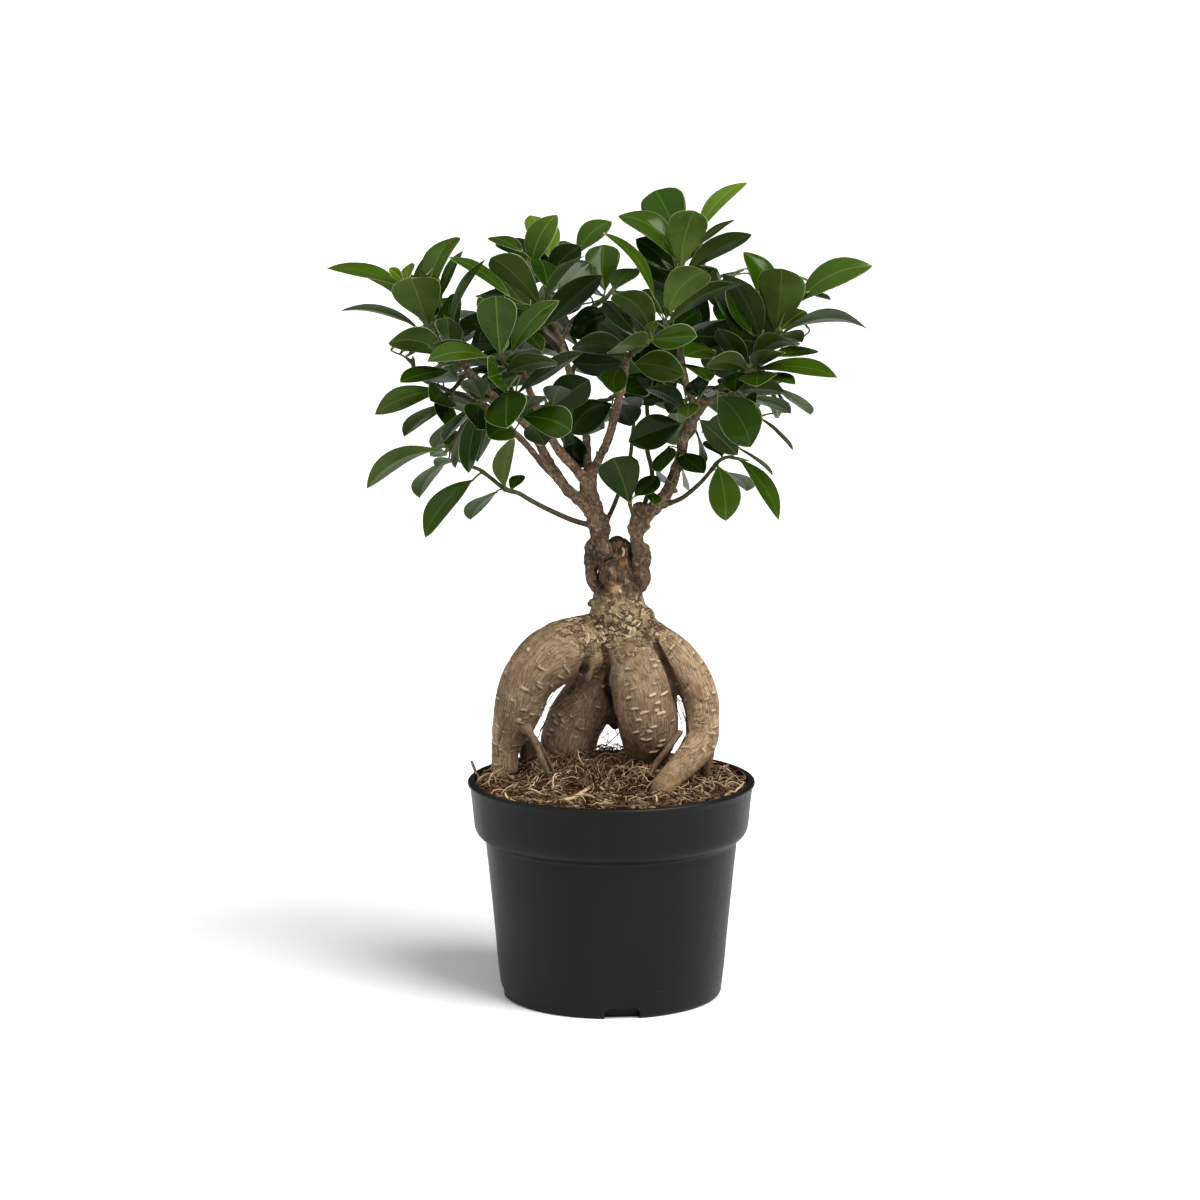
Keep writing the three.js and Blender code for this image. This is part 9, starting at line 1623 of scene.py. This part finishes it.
def make_shoot(name, data, seed):
    rng = np.random.default_rng([7, seed])
    bag = Bag()
    P, R = curve_points(data["stem"], 1.2)
    S = np.concatenate([[0], np.cumsum(np.linalg.norm(np.diff(P, axis=0), axis=1))])
    for lf in data["leaves"]:
        k = np.linalg.norm(P - np.array(lf[:3]), axis=1).argmin()
        R = R * (1 + 0.22 * np.exp(-(((S - S[k]) / 1.1) ** 2)))
    R = np.minimum(R, np.interp(S, [0, S[-1]], [data["stem"][0][3] * 1.3, data["stem"][-1][3] * 1.45]))
    v, q, t, u, s = tube(P, R, 12)
    v = v + 0.06 * np.stack([noise_at(v, 1.0, 91), noise_at(v, 1.0, 92), noise_at(v, 1.0, 93)], 1)
    age = np.clip((s / max(S[-1], 1)) * 1.25 - 0.15 + 0.1 * rng.normal(), 0, 1)
    bag.add(v, q, t, np.stack([u, s, 0 * s], 1), np.stack([age, np.full(len(v), rng.random()), 0 * s], 1), 1)
    # the pointed bud at the end
    D = unit(P[-1] - P[-2])
    n = 9
    tt = np.linspace(0, 1, n)
    BL = rng.uniform(4.5, 8.5)
    side = unit(np.cross(D, [0.3, 0.2, 1.0]))
    bp = P[-1] - D * 0.6 + D * BL * tt[:, None] + side * (0.5 * tt**2)[:, None]
    br = np.interp(tt, [0, 0.15, 0.35, 0.8, 1.0], [0.75, 0.95, 0.85, 0.35, 0.05]) * R[-1]
    v, q, t, u, s = tube(bp, br, 8, True)
    bag.add(v, q, t, np.stack([u, s, 0 * s], 1), np.stack([np.full(len(v), 1.0), np.full(len(v), 0.9), np.full(len(v), 1.0)], 1), 1)
    for lf in data["leaves"]:
        S0, B0, T0 = np.array(lf[:3]), np.array(lf[3:6]), np.array(lf[6:9])
        into = unit(T0 - B0)
        L = np.linalg.norm(B0 - S0)
        m = 9
        x = np.linspace(0, 1, m)[:, None]
        # the stalk leaves the twig, then swings into line with the midrib and runs on under it
        c1, c2 = S0 + (B0 - S0) * 0.35 + np.array([0, 0, 0.10 * L]), B0 - into * L * 0.33
        pp = S0 * (1 - x) ** 3 + 3 * c1 * x * (1 - x) ** 2 + 3 * c2 * x**2 * (1 - x) + B0 * x**3
        pp = np.vstack([pp, B0 + into * 0.7])
        rr = np.concatenate([np.interp(x[:, 0], [0, 0.15, 0.85, 1], [0.85, 0.58, 0.55, 0.62]), [0.45]]) * np.clip(lf[12] / 20, 0.7, 1.1)
        v, q, t, u, s = tube(pp, rr, 8)
        bag.add(v, q, t, np.stack([u, s, 0 * s], 1), np.stack([np.full(len(v), 0.9), np.full(len(v), float(np.clip(lf[17] + 0.2 * rng.random(), 0, 1))), np.full(len(v), 1.0)], 1), 1)
        v, q, t, a1, a2 = blade(lf, rng)
        bag.add(v, q, t, a1, a2, 0)
    ob = bag.make(name + "_leaves", [LEAF, TWIG], ("blade", "leaf"))
    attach(ob, "root")
    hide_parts(name)
    return ob


make_pot()
make_soil()
make_rootstock()
make_scion("left_scion_wood", ["left_stem", "left_branch", "left_back_branch", "mid_left_branch", "mid_back_branch", "mid_right_branch"], LEFT_LUMPS, 0)
make_scion("right_scion_wood", ["right_stem", "right_branch", "right_up_branch", "right_out_branch", "right_back_branch"], RIGHT_LUMPS, 1)
for i, (key, data) in enumerate(SHOOTS.items()):
    make_shoot(key, data, i)

# ------------------------------------------------------------------ floor, light, camera
floor_mat = Tree("floor_white", 0.9)
floor_mat.shader.inputs["Base Color"].default_value = (0.72, 0.72, 0.72, 1)
floor_mat.shader.inputs["Specular IOR Level"].default_value = 0.0
fl = bpy.data.meshes.new("floor")
fl.from_pydata([(-100, -100, 0), (100, -100, 0), (100, 100, 0), (-100, 100, 0)], [], [(0, 1, 2, 3)])
fl.materials.append(floor_mat.m)
floor = bpy.data.objects.new("floor", fl)
bpy.context.scene.collection.objects.link(floor)

world = bpy.data.worlds.new("studio")
world.use_nodes = True
wt = world.node_tree
bg = wt.nodes["Background"]
co_ = wt.nodes.new("ShaderNodeTexCoord")
dot = wt.nodes.new("ShaderNodeVectorMath")
dot.operation = "DOT_PRODUCT"
dot.inputs[1].default_value = Vector((-0.42, -0.38, 0.82)).normalized()
ramp = wt.nodes.new("ShaderNodeMapRange")
ramp.interpolation_type = "SMOOTHSTEP"
for key, val in (("From Min", 0.20), ("From Max", 1.0), ("To Min", 0.06), ("To Max", 1.3)):
    ramp.inputs[key].default_value = val
wt.links.new(co_.outputs["Generated"], dot.inputs[0])
wt.links.new(dot.outputs["Value"], ramp.inputs["Value"])
wt.links.new(ramp.outputs[0], bg.inputs["Strength"])
bg.inputs["Color"].default_value = (1, 1, 1, 1)
bpy.context.scene.world = world

sun = bpy.data.lights.new("key", "SUN")
sun.energy = 6.0
sun.angle = math.radians(44)
so = bpy.data.objects.new("key", sun)
so.rotation_euler = Vector((-0.56, 0.40, -0.82)).to_track_quat("-Z", "Y").to_euler()
bpy.context.scene.collection.objects.link(so)

cam = bpy.data.cameras.new("camera")
cam.sensor_width = 36.0
cam.lens = 116.82
cam.clip_end = 200.0
co = bpy.data.objects.new("camera", cam)
co.location = ((-5.926 + PLACE[0]) / 1000, (-2000.0 + PLACE[1]) / 1000, 0.5463)
co.rotation_euler = (math.pi / 2 - 0.16685, 0, 0)
bpy.context.scene.collection.objects.link(co)
bpy.context.scene.camera = co
bpy.context.scene.view_settings.view_transform = "Standard"
